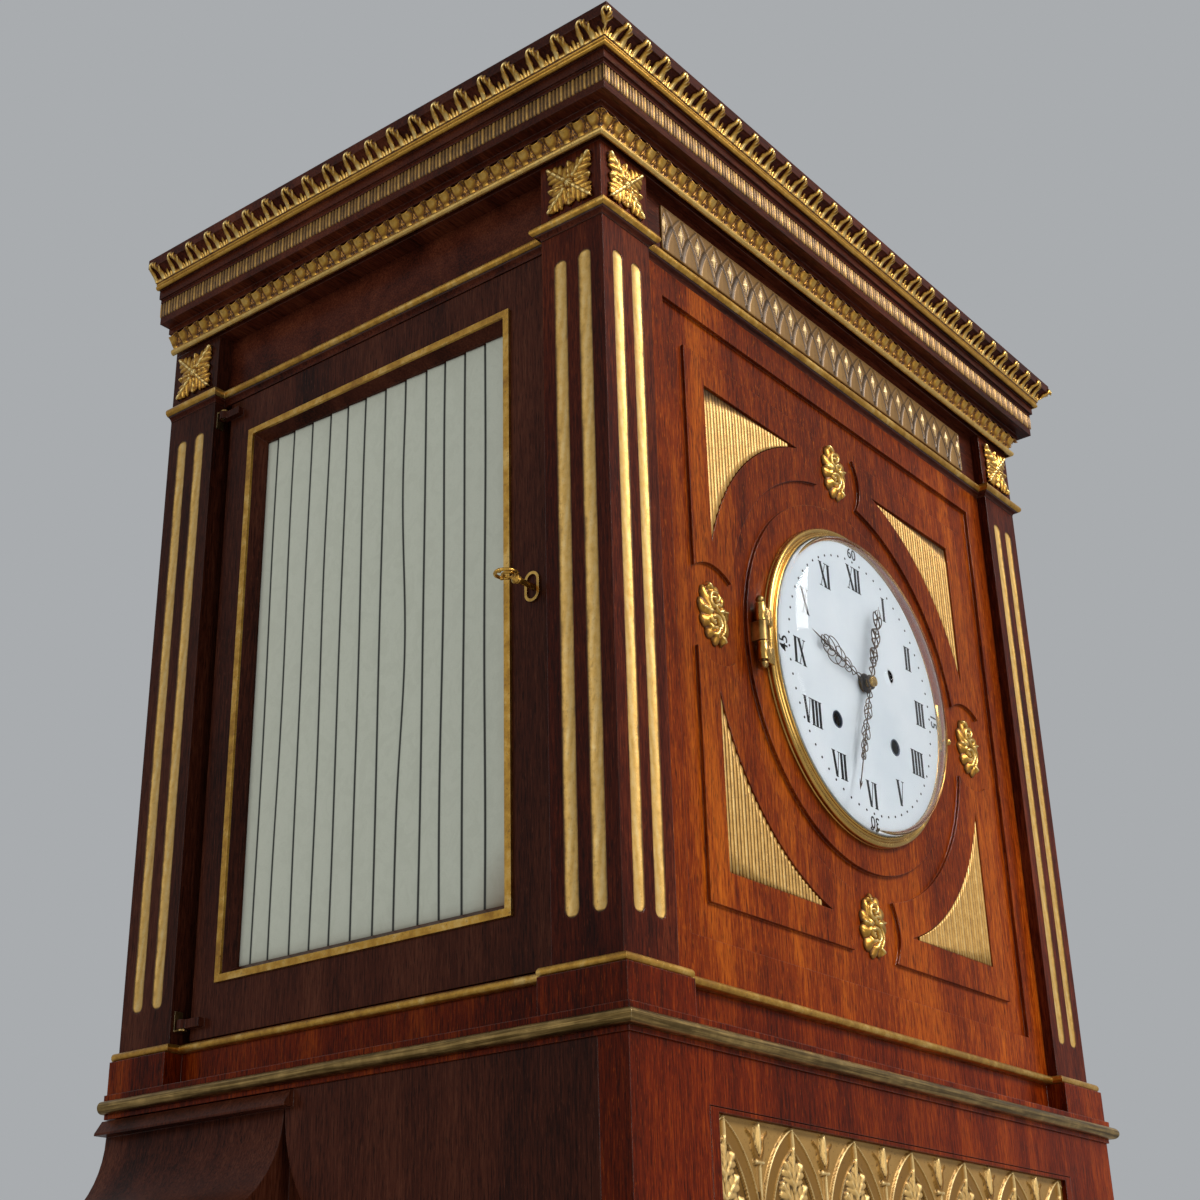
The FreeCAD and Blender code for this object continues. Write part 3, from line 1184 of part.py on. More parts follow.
def plate(name, low, holes):
    blank = block(name + "_blank", (-D.plate_half, D.plate_half), (low, low + D.plate_thick),
                  (DIAL_Z - D.plate_foot, DIAL_Z + D.plate_head))
    tools = [rod(f"{name}_hole_{number}", radius, D.plate_thick + D.cut_overrun * 2, spot[0], low - D.cut_overrun, spot[1], "y")
             for number, (spot, radius) in enumerate(holes)]
    return cut(name, blank, tools)


wide_hole = WINDER + FIT
front_plate = plate("front_plate", deep(D.plate_front), [
    (C, BORE), (THIRD, TIGHT), (ESCAPE, TIGHT), (ANCHOR, TIGHT), (GOING, wide_hole), (STRIKE, wide_hole), (HAMMER, TIGHT)])
stud = rod("minute_stud", D.pivot_pin, D.pinion_length * 2, MOTION[0], deep(D.plate_front) - D.pinion_length * 2, MOTION[1], "y")
piece(fused("front_plate_joined", [front_plate, stud]), "plate_front")
back_plate = plate("back_plate", PLATE_BACK, [
    (C, TIGHT), (THIRD, TIGHT), (ESCAPE, TIGHT), (ANCHOR, BORE), (GOING, wide_hole), (STRIKE, wide_hole), (HAMMER, TIGHT)])
pillars = [rod(f"pillar_{number}", D.pillar_radius, D.plate_gap, (D.plate_half - D.pillar_inset) * sx, PLATE_IN, z, "y")
           for number, (sx, z) in enumerate((sx, z) for sx in (-1, 1) for z in (
               DIAL_Z - D.plate_foot + D.pillar_inset, DIAL_Z + D.plate_head - D.pillar_inset))]
SUSPEND_Y = deep(D.suspension_back)
cheek = D.rod_radius
eye_half = D.rod_radius * 1.25
arm_top = ANCHOR[1] + D.pillar_radius * 3
cock = [block("cock_arm", (-D.pillar_radius * 2, D.pillar_radius * 2), (PLATE_BACK, SUSPEND_Y + eye_half + cheek + D.shoulder_gap),
              (arm_top, arm_top + D.pillar_radius))]
for label, low in (("near", SUSPEND_Y - eye_half - D.shoulder_gap - cheek), ("far", SUSPEND_Y + eye_half + D.shoulder_gap)):
    cock.append(block(f"cock_cheek_{label}", (-D.pillar_radius, D.pillar_radius), (low, low + cheek),
                      (ANCHOR[1] - D.pillar_radius, arm_top)))
pin_low = SUSPEND_Y - eye_half - D.shoulder_gap - cheek
cock.append(rod("cock_pin", D.trunk_hinge_pin, (eye_half + D.shoulder_gap + cheek) * 2, ZERO, pin_low, ANCHOR[1], "y"))
PLATE_TOP = DIAL_Z + D.plate_head
BELL_Y = PLATE_BACK + D.plate_thick / 2
bell_top = PLATE_TOP + D.bell_foot + D.bell_height
standard = [rod("bell_standard", D.bell_post, D.bell_foot + D.bell_height - D.bell_wall + D.plate_thick * 2, D.bell_side, BELL_Y, PLATE_TOP - D.plate_thick * 2),
            rod("bell_stem", D.bell_post * 0.6, D.bell_wall * 3 + D.plate_thick, D.bell_side, BELL_Y, bell_top - D.bell_wall - D.plate_thick)]
lower_standard = cut("bell_standard_low", standard[0], [block(
    "bell_standard_trim", (D.bell_side - D.bell_post, D.bell_side + D.bell_post),
    (PLATE_IN, PLATE_BACK), (DIAL_Z, PLATE_TOP))])
piece(fused("back_plate_joined", [back_plate] + pillars + cock + [lower_standard, standard[1]]), "plate_back")

# centre arbor: pinion, centre wheel, cannon pinion and pipe, nose over the minute hand
great_y, centre_y, third_y, escape_y = D.barrel_length * 0.35, D.barrel_length * 0.9, D.barrel_length * 1.3, D.barrel_length * 1.75
cannon_module, hour_module = D.motion_distance / 30, D.motion_distance / 27
cannon_y = deep(D.plate_front) - D.pinion_length * 0.75
minute_face = DIAL_Y - D.minute_hand_face
centre_parts = arbor("centre", C, out_front=None)
centre_parts += [
    rod("centre_front", D.arbor_radius, PLATE_IN + L - minute_face, ZERO, minute_face, DIAL_Z, "y"),
    rod("cannon_pipe", CANNON, cannon_y - minute_face, ZERO, minute_face, DIAL_Z, "y"),
    rod("hand_nose", CANNON * 1.2, D.hand_nose - D.minute_hand_face, ZERO, DIAL_Y - D.hand_nose, DIAL_Z, "y"),
    gear("cannon_pinion", 24, cannon_module, L / 2, ZERO, ZERO, cannon_y, DIAL_Z, bearing(C, MOTION), WHEEL_SHARES),
    gear("centre_pinion", 6, great_module, L, ZERO, ZERO, PLATE_IN + great_y - L / 2 + W / 2, DIAL_Z,
         bearing(C, GOING) + 30, PINION_SHARES),
    gear("centre_wheel", 48, centre_module, W, ZERO, ZERO, PLATE_IN + centre_y, DIAL_Z, bearing(C, THIRD), WHEEL_SHARES, 5)]
piece(fused("centre_joined", centre_parts), "centre_arbor")
minute_parts = [
    gear("minute_wheel_disc", 36, cannon_module, W, TIGHT, MOTION[0], cannon_y + W / 2, MOTION[1],
         bearing(MOTION, C) + 5, WHEEL_SHARES, 4),
    gear("minute_pinion", 6, hour_module, L * 0.75, TIGHT, MOTION[0], cannon_y + W / 2 - L * 0.75, MOTION[1],
         bearing(MOTION, C) + 30, PINION_SHARES)]
piece(fused("minute_joined", minute_parts), "minute_wheel")
hour_y = cannon_y - L * 0.55
hour_face = DIAL_Y - D.hour_hand_face
hour_pipe = cut("hour_pipe", rod("hour_pipe_out", HOUR_PIPE, hour_y - hour_face + W, ZERO, hour_face, DIAL_Z, "y"),
                [rod("hour_pipe_in", CANNON + FIT, hour_y - hour_face + W * 2, ZERO, hour_face - W / 2, DIAL_Z, "y")])
piece(fused("hour_joined", [
    gear("hour_disc", 48, hour_module, W, CANNON + FIT, ZERO, hour_y, DIAL_Z, bearing(C, MOTION), WHEEL_SHARES, 4), hour_pipe]),
    "hour_wheel")
piece(fused("third_joined", arbor("third", THIRD) + [
    gear("third_pinion", 6, centre_module, L, ZERO, THIRD[0], PLATE_IN + centre_y - L / 2 + W / 2, THIRD[1],
         bearing(THIRD, C) + 30, PINION_SHARES),
    gear("third_wheel", 45, D.third_module, W, ZERO, THIRD[0], PLATE_IN + third_y, THIRD[1], bearing(THIRD, ESCAPE),
         WHEEL_SHARES, 4)]), "third_arbor")


def escape_wheel(name, spot, y):
    """Thirty pointed teeth raked one way, on a crossed rim."""
    radius, depth, thick = D.escape_radius.value, D.escape_tooth.value, D.wheel_thick.value
    points, pitch = [], 2 * math.pi / 30
    for number in range(30):
        for r, share in ((radius - depth, -0.30), (radius, 0.0), (radius, 0.06), (radius - depth, 0.20)):
            angle = (number + share) * pitch
            points.append(Vector(r * math.cos(angle), 0, r * math.sin(angle)))
    out = Vector(0, 1, 0)
    solid = Part.Face(Part.makePolygon(points + points[:1])).extrude(out * thick)
    rim, hub = radius - depth * 1.8, radius * 0.22
    window = Part.makeCylinder(rim, thick, Vector(0, 0, 0), out).cut(Part.makeCylinder(hub, thick, Vector(0, 0, 0), out))
    wide = radius * SPOKE_SHARE * 1.6
    for number in range(4):
        bar = Part.makeBox(rim + depth / 2, thick, wide, Vector(0, 0, -wide / 2))
        bar.rotate(Vector(0, 0, 0), out, 90.0 * number)
        window = window.cut(bar)
    wheel = hidden(name, "Part::Feature")
    wheel.Shape = solid.cut(window)
    return place(wheel, spot[0], y, spot[1])


piece(fused("escape_joined", arbor("escape", ESCAPE) + [
    gear("escape_pinion", 6, D.third_module, L, ZERO, ESCAPE[0], PLATE_IN + third_y - L / 2 + W / 2, ESCAPE[1],
         bearing(ESCAPE, THIRD) + 30, PINION_SHARES),
    escape_wheel("escape_disc", ESCAPE, PLATE_IN + escape_y)]), "escape_arbor")
piece(gear("great_disc", 72, great_module, W, WINDER + FIT, GOING[0], PLATE_IN + great_y, GOING[1], bearing(GOING, C),
           WHEEL_SHARES, 6), "great_wheel")
drum_y = PLATE_IN + great_y + W * 2


def barrel(name, spot, extra):
    """A line barrel with its flanges and winding square."""
    square = D.arbor_radius * 1.3
    low = DIAL_Y + D.dial_thick * 3
    return fused(name, arbor(name, spot, WINDER) + [
        rod(name + "_drum", D.barrel_radius, D.barrel_length + D.flange_thick * 2, spot[0], drum_y, spot[1], "y"),
        rod(name + "_flange_near", D.barrel_flange, D.flange_thick, spot[0], drum_y, spot[1], "y"),
        rod(name + "_flange_far", D.barrel_flange, D.flange_thick, spot[0],
            drum_y + D.barrel_length + D.flange_thick, spot[1], "y"),
        block(name + "_square", (spot[0] - square, spot[0] + square), (low, deep(D.plate_front)),
              (spot[1] - square, spot[1] + square))] + extra)


piece(barrel("going_barrel_solid", GOING, []), "going_barrel")
strike_wheel = gear("strike_disc", 48, D.third_module * 1.5, W, ZERO, STRIKE[0], drum_y + D.barrel_length + D.flange_thick * 5,
                    STRIKE[1], 0.0, WHEEL_SHARES, 6)
piece(barrel("strike_barrel_solid", STRIKE, [strike_wheel]), "strike_barrel")

# anchor with its crutch
reach, drop, pallet = D.pallet_reach, D.pallet_drop, D.pallet_width
anchor_arms = prism("anchor_arms", "XZ_Plane", [[
    (-reach, -drop), (pallet - reach, -drop), (-D.pivot_pin * 2, ZERO), (D.pivot_pin * 2, ZERO),
    (reach - pallet, -drop), (reach, -drop), (D.arbor_radius * 2, D.arbor_radius * 2), (-D.arbor_radius * 2, D.arbor_radius * 2)]],
    D.pallet_thick, ZERO, PLATE_IN + escape_y + D.pallet_thick, ANCHOR[1])
crutch_back = SUSPEND_Y - eye_half - D.shoulder_gap * 2 - cheek
crutch_y = (crutch_back - D.plate_thick, crutch_back)
crutch_low = ANCHOR[1] - D.crutch_length
prong = D.rod_radius + D.crutch_clear
crutch = [block("crutch_arm", (-D.pivot_pin * 2, D.pivot_pin * 2), crutch_y, (crutch_low, ANCHOR[1])),
          block("crutch_bridge", (-prong - D.pallet_width, prong + D.pallet_width), crutch_y,
                (crutch_low - D.pillar_radius, crutch_low + D.pivot_pin))]
for number, sx in enumerate((-1, 1)):
    xs = (-prong - D.pallet_width, -prong) if sx < 0 else (prong, prong + D.pallet_width)
    crutch.append(block(f"crutch_prong_{number}", xs, (crutch_y[0], SUSPEND_Y + D.rod_radius), (crutch_low - D.pillar_radius, crutch_low)))
anchor_shaft = [rod("anchor_shaft", D.arbor_radius, crutch_y[1] - PLATE_IN - D.shoulder_gap, ZERO, PLATE_IN + D.shoulder_gap, ANCHOR[1], "y"),
                rod("anchor_pivot", D.pivot_pin, D.plate_thick + L, ZERO, deep(D.plate_front), ANCHOR[1], "y")]
piece(fused("anchor_joined", [anchor_arms] + anchor_shaft + crutch), "anchor")

# pendulum
eye = rod("rod_eye", D.rod_radius * 1.5, eye_half * 2, ZERO, SUSPEND_Y - eye_half, ANCHOR[1], "y")
BOB_Z = ANCHOR[1] - D.bob_drop
nut_top = BOB_Z - D.bob_radius - D.hinge_gap
pendulum = cut("rod_cut", fused("rod_solid", [
    eye, rod("rod_shaft", D.rod_radius, ANCHOR[1] - BOB_Z, ZERO, SUSPEND_Y, BOB_Z),
    rod("rod_thread", D.rod_thread, D.bob_radius + D.nut_height * 3, ZERO, SUSPEND_Y, BOB_Z - D.bob_radius - D.nut_height * 3)]),
    [rod("rod_bore", D.trunk_hinge_pin + FIT, eye_half * 4, ZERO, SUSPEND_Y - eye_half * 2, ANCHOR[1], "y")])
piece(pendulum, "pendulum_rod")
bob_run = D.bob_half_thick - D.bob_edge
bob_arc = (D.bob_radius * D.bob_radius + bob_run * bob_run) / bob_run / 2
lens = turned("bob_lens", [
    (ZERO, -D.bob_half_thick), ((D.bob_radius, -D.bob_edge), (ZERO, bob_arc - D.bob_half_thick), 1),
    (D.bob_radius, D.bob_edge), ((ZERO, D.bob_half_thick), (ZERO, D.bob_half_thick - bob_arc), 1)],
    ZERO, SUSPEND_Y, BOB_Z, OUT_FRONT)
piece(cut("bob_cut", lens, [
    rod("bob_bore", D.rod_radius, D.bob_radius + D.cut_overrun, ZERO, SUSPEND_Y, BOB_Z),
    rod("bob_bore_low", D.rod_thread, D.bob_radius + D.cut_overrun, ZERO, SUSPEND_Y, BOB_Z - D.bob_radius - D.cut_overrun)]),
    "pendulum_bob")
nut_bore = rod("nut_bore", D.rod_thread + FIT, D.nut_height * 2, ZERO, SUSPEND_Y, nut_top - D.nut_height * 1.5)
piece(cut("nut_cut", rod("nut_disc", D.nut_radius, D.nut_height, ZERO, SUSPEND_Y, nut_top - D.nut_height), [nut_bore]),
      "rating_nut")

# seat board on two cheeks, with the line holes
CHEEK_IN = NECK_HALF + D.cheek_rest
CHEEK_OUT = CHEEK_IN + D.cheek_thick
SEAT_HALF = CHEEK_IN + D.seat_housing
LINE_X = D.winding_offset + D.barrel_radius + D.line_radius
LINE_Y = drum_y + D.flange_thick + D.barrel_length / 2
SEAT_TOP = DIAL_Z - D.plate_foot
seat_blank = fused("seat_blank", [
    block("seat_top", (-SEAT_HALF, SEAT_HALF), (deep(D.plate_front - D.plate_thick), deep(D.seat_back)),
          (SEAT_TOP - D.seat_thick, SEAT_TOP)),
    block("cheek_left", (-CHEEK_OUT, -CHEEK_IN), (deep(D.cheek_front), deep(D.seat_back)), (high(D.sill_head), SEAT_TOP)),
    block("cheek_right", (CHEEK_IN, CHEEK_OUT), (deep(D.cheek_front), deep(D.seat_back)), (high(D.sill_head), SEAT_TOP))])
piece(cut("seat_cut", seat_blank, [
    rod(f"line_hole_{number}", D.line_hole, D.seat_thick * 2, x, LINE_Y, SEAT_TOP - D.seat_thick * 1.5)
    for number, x in enumerate((-LINE_X, LINE_X))]), "seat_board")


def weight(name, x):
    """A capped cylinder with a hook eye; its line runs up to the barrel."""
    top = D.weight_rest - D.hook_height
    dome = turned(name + "_body", [
        (ZERO, ZERO), (D.weight_radius - D.hook_radius, ZERO), (D.weight_radius, D.hook_radius),
        (D.weight_radius, D.weight_height - D.hook_radius), (D.weight_radius - D.hook_radius, D.weight_height),
        (ZERO, D.weight_height)], x, LINE_Y, top - D.weight_height)
    stem = rod(name + "_stem", D.hook_radius, D.hook_height, x, LINE_Y, top)
    return piece(fused(name + "_joined", [dome, stem]), name)


weight("weight_going", -LINE_X)
weight("weight_strike", LINE_X)
for name, x in (("line_going", -LINE_X), ("line_strike", LINE_X)):
    piece(rod(name + "_run", D.line_radius, GOING[1] - D.weight_rest, x, LINE_Y, D.weight_rest), name)

# bell and hammer
bell_out = D.bell_radius
bell_in = bell_out - D.bell_wall
bell_flat = D.bell_height - bell_out * 0.5
piece(turned("bell_body", [
    (bell_in, ZERO), (bell_out, ZERO), (bell_out, bell_flat), (bell_out * 0.55, D.bell_height),
    (D.bell_post * 0.6, D.bell_height), (D.bell_post * 0.6, D.bell_height - D.bell_wall),
    (bell_in * 0.55, D.bell_height - D.bell_wall), (bell_in, bell_flat)],
    D.bell_side, BELL_Y, PLATE_TOP + D.bell_foot), "bell")
head_x = D.bell_side + bell_out + D.hammer_gap
head_z = PLATE_TOP + D.bell_foot + D.hammer_head
hammer_y = BELL_Y - D.hammer_head
hammer_parts = arbor("hammer", HAMMER) + [
    rod("hammer_head", D.hammer_head, D.hammer_length, head_x, BELL_Y, head_z, "x"),
    block("hammer_arm", (head_x + D.hammer_length / 2 - D.pallet_width, head_x + D.hammer_length / 2),
          (hammer_y - D.pallet_width * 2, hammer_y - D.pallet_width), (HAMMER[1], head_z)),
    block("hammer_root", (HAMMER[0], head_x + D.hammer_length / 2), (hammer_y - D.pallet_width * 2, hammer_y - D.pallet_width),
          (HAMMER[1] - D.pallet_width, HAMMER[1] + D.pallet_width)),
    block("hammer_neck", (head_x + D.hammer_length / 2 - D.pallet_width, head_x + D.hammer_length / 2),
          (hammer_y - D.pallet_width * 2, BELL_Y), (head_z - D.pallet_width, head_z + D.pallet_width))]
piece(fused("hammer_joined", hammer_parts), "hammer")


doc.recompute()
faults = [obj.Name for obj in doc.Objects if "Invalid" in obj.State or "Error" in obj.State]
for name, obj in PIECES.items():
    if obj.Shape.isNull() or not obj.Shape.isValid():
        faults.append(name)
if faults:
    raise RuntimeError("faulty objects: " + ", ".join(faults))
os.makedirs("parts", exist_ok=True)
for name, obj in PIECES.items():
    obj.Shape.exportStep(f"parts/{name}.step")
print(len(PIECES), "parts")
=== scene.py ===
"""Looks of a longcase clock: polished mahogany, gilt carving, an enamel dial and pleated silk sides."""
import logging
import math
from collections.abc import Callable, Iterator, Sequence
from contextlib import contextmanager
from dataclasses import dataclass
from enum import Enum

import bmesh
import bpy
import numpy as np
from mathutils import Matrix, Vector


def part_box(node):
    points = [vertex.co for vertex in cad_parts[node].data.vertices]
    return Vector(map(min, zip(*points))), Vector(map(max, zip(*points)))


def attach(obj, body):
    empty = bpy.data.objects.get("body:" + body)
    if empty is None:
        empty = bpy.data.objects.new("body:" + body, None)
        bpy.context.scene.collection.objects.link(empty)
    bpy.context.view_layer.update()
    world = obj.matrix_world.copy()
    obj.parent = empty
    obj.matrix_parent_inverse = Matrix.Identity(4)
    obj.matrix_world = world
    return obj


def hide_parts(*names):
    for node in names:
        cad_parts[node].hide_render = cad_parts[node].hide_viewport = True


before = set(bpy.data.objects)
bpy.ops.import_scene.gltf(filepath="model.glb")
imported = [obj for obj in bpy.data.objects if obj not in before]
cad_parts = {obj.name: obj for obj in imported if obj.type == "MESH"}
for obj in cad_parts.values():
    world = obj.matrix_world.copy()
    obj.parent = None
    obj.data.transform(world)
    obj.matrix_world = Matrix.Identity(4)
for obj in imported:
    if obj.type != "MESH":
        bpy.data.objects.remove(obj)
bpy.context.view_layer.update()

LOG = logging.getLogger("clock")
MM = 0.001

# The hood's level over the floor, the shaft's front, back and half width, and the dial's middle over that level.
LEVEL, FRONT, BACK, HALF, DIAL = 1546.0, -199.5, 239.5, 300.0, 286.5

Grid = np.ndarray
Colour = tuple[float, float, float, float]
Place = Callable[[Grid, Grid, Grid], tuple[Grid, Grid, Grid]]


def tint(code: str) -> Colour:
    """Turns a colour as seen on a screen into the linear one that a shader reads.

    Args:
        code: Six hex digits.

    Returns:
        Red, green, blue and alpha.
    """
    parts = [int(code[i:i + 2], 16) / 255 for i in (0, 2, 4)]
    line = [p / 12.92 if p < 0.04045 else ((p + 0.055) / 1.055) ** 2.4 for p in parts]
    return (line[0], line[1], line[2], 1.0)


def feed(tree: bpy.types.NodeTree, socket: bpy.types.NodeSocket, value: object) -> None:
    """Links a socket to another, or sets it to a value.

    Args:
        tree: The tree that holds it.
        socket: The input.
        value: A socket, a value, or a colour as six hex digits.
    """
    if isinstance(value, bpy.types.NodeSocket):
        tree.links.new(value, socket)
    else:
        socket.default_value = tint(value) if isinstance(value, str) else value


def grow(tree: bpy.types.NodeTree, kind: str, inputs: dict[str | int, object] | None = None,
         **settings: object) -> bpy.types.Node:
    """Adds a node to a tree.

    Args:
        tree: The tree.
        kind: The node's type.
        inputs: What its inputs get, by name or number.
        settings: Its properties by name.

    Returns:
        The node.
    """
    made = tree.nodes.new(kind)
    for key, value in settings.items():
        setattr(made, key, value)
    for key, value in (inputs or {}).items():
        feed(tree, made.inputs[key], value)
    return made


# materials

class Net:
    """A material's node tree, made one node at a time round a Principled shader."""

    def __init__(self, name: str) -> None:
        """Starts the tree with its shader and its output.

        Args:
            name: The material's name.
        """
        self.material = bpy.data.materials.new(name)
        self.material.use_nodes = True
        self.tree = self.material.node_tree
        self.tree.nodes.clear()
        self.shader = self.node("ShaderNodeBsdfPrincipled")
        self.node("ShaderNodeOutputMaterial", {0: self.shader.outputs[0]})

    def node(self, kind: str, inputs: dict[str | int, object] | None = None, **settings: object) -> bpy.types.Node:
        """Adds a node with its inputs and settings."""
        return grow(self.tree, kind, inputs, **settings)

    def dress(self, **values: object) -> None:
        """Sets the shader's inputs, with underscores for the spaces of their names."""
        for key, value in values.items():
            feed(self.tree, self.shader.inputs[key.replace("_", " ")], value)

    def spot(self, stretch: Sequence[float] = (1, 1, 1)) -> bpy.types.NodeSocket:
        """Object coordinates, stretched by a factor for each axis."""
        place = self.node("ShaderNodeTexCoord").outputs["Object"]
        return self.node("ShaderNodeMapping", {"Vector": place, "Scale": stretch}).outputs[0]

    def noise(self, spot: object, scale: float, detail: float = 4.0, rough: float = 0.55,
              skew: float = 0.0) -> bpy.types.NodeSocket:
        """Fractal noise.

        Args:
            spot: The coordinates.
            scale: Cells in a metre.
            detail: Octaves.
            rough: How much the fine octaves weigh.
            skew: Distortion.

        Returns:
            The factor socket.
        """
        inputs = {"Vector": spot, "Scale": scale, "Detail": detail, "Roughness": rough, "Distortion": skew}
        return self.node("ShaderNodeTexNoise", inputs).outputs["Fac"]

    def mark(self, name: str) -> bpy.types.NodeSocket:
        """The factor of a mesh's own attribute."""
        return self.node("ShaderNodeAttribute", attribute_name=name).outputs["Fac"]

    def sum(self, kind: str, a: object, b: object = 0.0, c: object = 0.0) -> bpy.types.NodeSocket:
        """The clamped result of an operation on two or three values, by its name."""
        return self.node("ShaderNodeMath", {0: a, 1: b, 2: c}, operation=kind, use_clamp=True).outputs[0]

    def ramp(self, fac: object, *stops: tuple[float, object]) -> bpy.types.NodeSocket:
        """A colour ramp.

        Args:
            fac: Where to read it.
            stops: Places with hex colours or grey levels.

        Returns:
            The colour socket.
        """
        made = self.node("ShaderNodeValToRGB", {0: fac})
        band = made.color_ramp.elements
        while len(band) < len(stops):
            band.new(0.5)
        for element, (where, shade) in zip(band, stops):
            element.position = where
            element.color = tint(shade) if isinstance(shade, str) else (shade, shade, shade, 1.0)
        return made.outputs[0]

    def mix(self, fac: object, a: object, b: object, kind: str = "MIX") -> bpy.types.NodeSocket:
        """Mixes two colours by the share of the second."""
        return self.node("ShaderNodeMix", {0: fac, 6: a, 7: b}, data_type="RGBA", blend_type=kind).outputs[2]

    def bump(self, height: object, depth: float, strength: float = 1.0, under: object = None) -> bpy.types.NodeSocket:
        """A bumped normal.

        Args:
            height: The relief.
            depth: Its depth in millimetres.
            strength: How much of it counts.
            under: A normal to start from.

        Returns:
            The normal socket.
        """
        start = {} if under is None else {"Normal": under}
        return self.node("ShaderNodeBump", {"Height": height, "Distance": depth * MM, "Strength": strength,
                                            **start}).outputs[0]

    def edge(self, radius: float, gain: float = 3.2) -> tuple[bpy.types.NodeSocket, bpy.types.NodeSocket]:
        """Softened edges.

        Args:
            radius: The edge's radius in millimetres.
            gain: How fast the mask rises.

        Returns:
            The rounded normal, and a mask that is 1 on an edge.
        """
        normal = self.node("ShaderNodeBevel", {"Radius": radius * MM}, samples=4).outputs[0]
        flat = self.node("ShaderNodeNewGeometry").outputs["Normal"]
        dot = self.node("ShaderNodeVectorMath", {0: normal, 1: flat}, operation="DOT_PRODUCT")
        return normal, self.sum("MULTIPLY", self.sum("SUBTRACT", 1.0, dot.outputs["Value"]), gain)


@dataclass(frozen=True)
class Finish:
    """A material that is made from its colours and measures."""

    name: str

    def make(self) -> bpy.types.Material:
        """Builds the material."""
        net = Net(self.name)
        self.lay(net)
        return net.material

    def lay(self, net: Net) -> None:
        """Lays the colours and the relief.

        Args:
            net: The material's node tree.
        """
        raise NotImplementedError


class Grain(Enum):
    """The way the wood's fibres run."""

    UPRIGHT = (1.0, 1.0, 0.075)
    ACROSS = (0.075, 1.0, 1.0)


@dataclass(frozen=True)
class Wood(Finish):
    """Polished wood: fibre streaks, pores, drifts of colour and worn edges."""

    grain: Grain = Grain.UPRIGHT
    dark: str = "280B04"
    mid: str = "6A280C"
    light: str = "A24C18"
    edge: str = "8A4A26"
    gloss: float = 0.30
    coat: float = 0.03
    shine: float = 0.06

    def lay(self, net: Net) -> None:
        """Lays the colours and the relief.

        Args:
            net: The material's node tree.
        """
        way = self.grain.value
        fibre = net.noise(net.spot(way), 620, 6, 0.72, 0.15)
        fleck = net.noise(net.spot([w * 1.6 if w < 1 else w for w in way]), 1150, 3, 0.6)
        figure = net.noise(net.spot([w * 0.8 + 0.02 for w in way]), 30, 4, 0.55, 0.6)
        drift = net.noise(net.spot(), 2.6, 2, 0.5)
        pore = net.noise(net.spot(way), 1300, 2, 0.5)
        tone = net.sum("MULTIPLY_ADD", fibre, 0.72, net.sum("MULTIPLY_ADD", figure, 0.62, -0.17))
        base = net.ramp(tone, (0.30, self.dark), (0.50, self.mid), (0.72, self.light))
        base = net.mix(net.ramp(drift, (0.38, 0.0), (0.66, 0.45)), base, self.dark, "MULTIPLY")
        base = net.mix(net.ramp(fleck, (0.60, 0.0), (0.70, 0.45)), base, self.light)
        pores = net.ramp(pore, (0.36, 1.0), (0.44, 0.0))
        base = net.mix(net.sum("MULTIPLY", pores, 0.62), base, "150502")
        normal, worn = net.edge(0.9)
        rub = net.sum("MULTIPLY", worn, net.ramp(net.noise(net.spot(), 60, 3), (0.35, 0.10), (0.65, 0.5)))
        base = net.mix(rub, base, self.edge)
        relief = net.sum("MULTIPLY_ADD", pores, -0.5, fibre)
        net.dress(Base_Color=base, Normal=net.bump(relief, 0.06, 0.35, normal),
                  Roughness=net.sum("MULTIPLY_ADD", net.noise(net.spot(), 35, 3), 0.22, self.gloss - 0.08),
                  Coat_Weight=net.sum("MULTIPLY_ADD", worn, 0.9, self.coat), Coat_Roughness=0.12,
                  Coat_Normal=normal, Specular_IOR_Level=self.shine)


@dataclass(frozen=True)
class Gilt(Finish):
    """Leaf gold over a brown ground: plain pieces are rubbed bright on their edges; carved pieces take the mesh's tone,
    a painted highlight on what stands out and painted shade in the hollows.
    """

    hollow: str = "3B1D08"
    low: str = "8C5A1C"
    body: str = "CB9A42"
    bright: str = "FFE39A"
    carved: bool = False
    rough: float = 0.30
    grime: float = 0.5
    metal: float = 0.9

    def lay(self, net: Net) -> None:
        """Lays the colours and the relief.

        Args:
            net: The material's node tree.
        """
        wear = net.noise(net.spot(), 170, 5, 0.65)
        cloud = net.noise(net.spot(), 38, 3, 0.6)
        if self.carved:
            # the mesh's tone brings painted highlight and painted shade into the gold
            tone = net.sum("MULTIPLY_ADD", wear, 0.36, net.sum("SUBTRACT", net.mark("tone"), 0.18))
            normal = None
        else:
            normal, worn = net.edge(0.4)
            tone = net.sum("MULTIPLY_ADD", wear, 0.5, net.sum("MULTIPLY", cloud, 0.5))
            tone = net.sum("MULTIPLY_ADD", worn, 0.25, tone)
        # on carved pieces low tones take the hollow colour as painted shade and high tones the bright one as painted
        # highlight
        base = net.ramp(tone, (0.10, self.hollow), (0.30, self.low), (0.52, self.body), (0.86, self.bright))
        spots = net.ramp(net.noise(net.spot(), 620, 3, 0.6), (0.30, 1.0), (0.42, 0.0))
        dirt = net.sum("MULTIPLY", spots, self.grime)
        base = net.mix(dirt, base, self.hollow)
        shine = net.ramp(tone, (0.12, 0.25), (0.45, self.metal))
        net.dress(Base_Color=base, Metallic=net.sum("SUBTRACT", shine, dirt),
                  Roughness=net.sum("MULTIPLY_ADD", cloud, 0.28, self.rough - 0.1),
                  Normal=net.bump(net.sum("MULTIPLY_ADD", wear, 0.6, spots), 0.12, 0.5, normal))


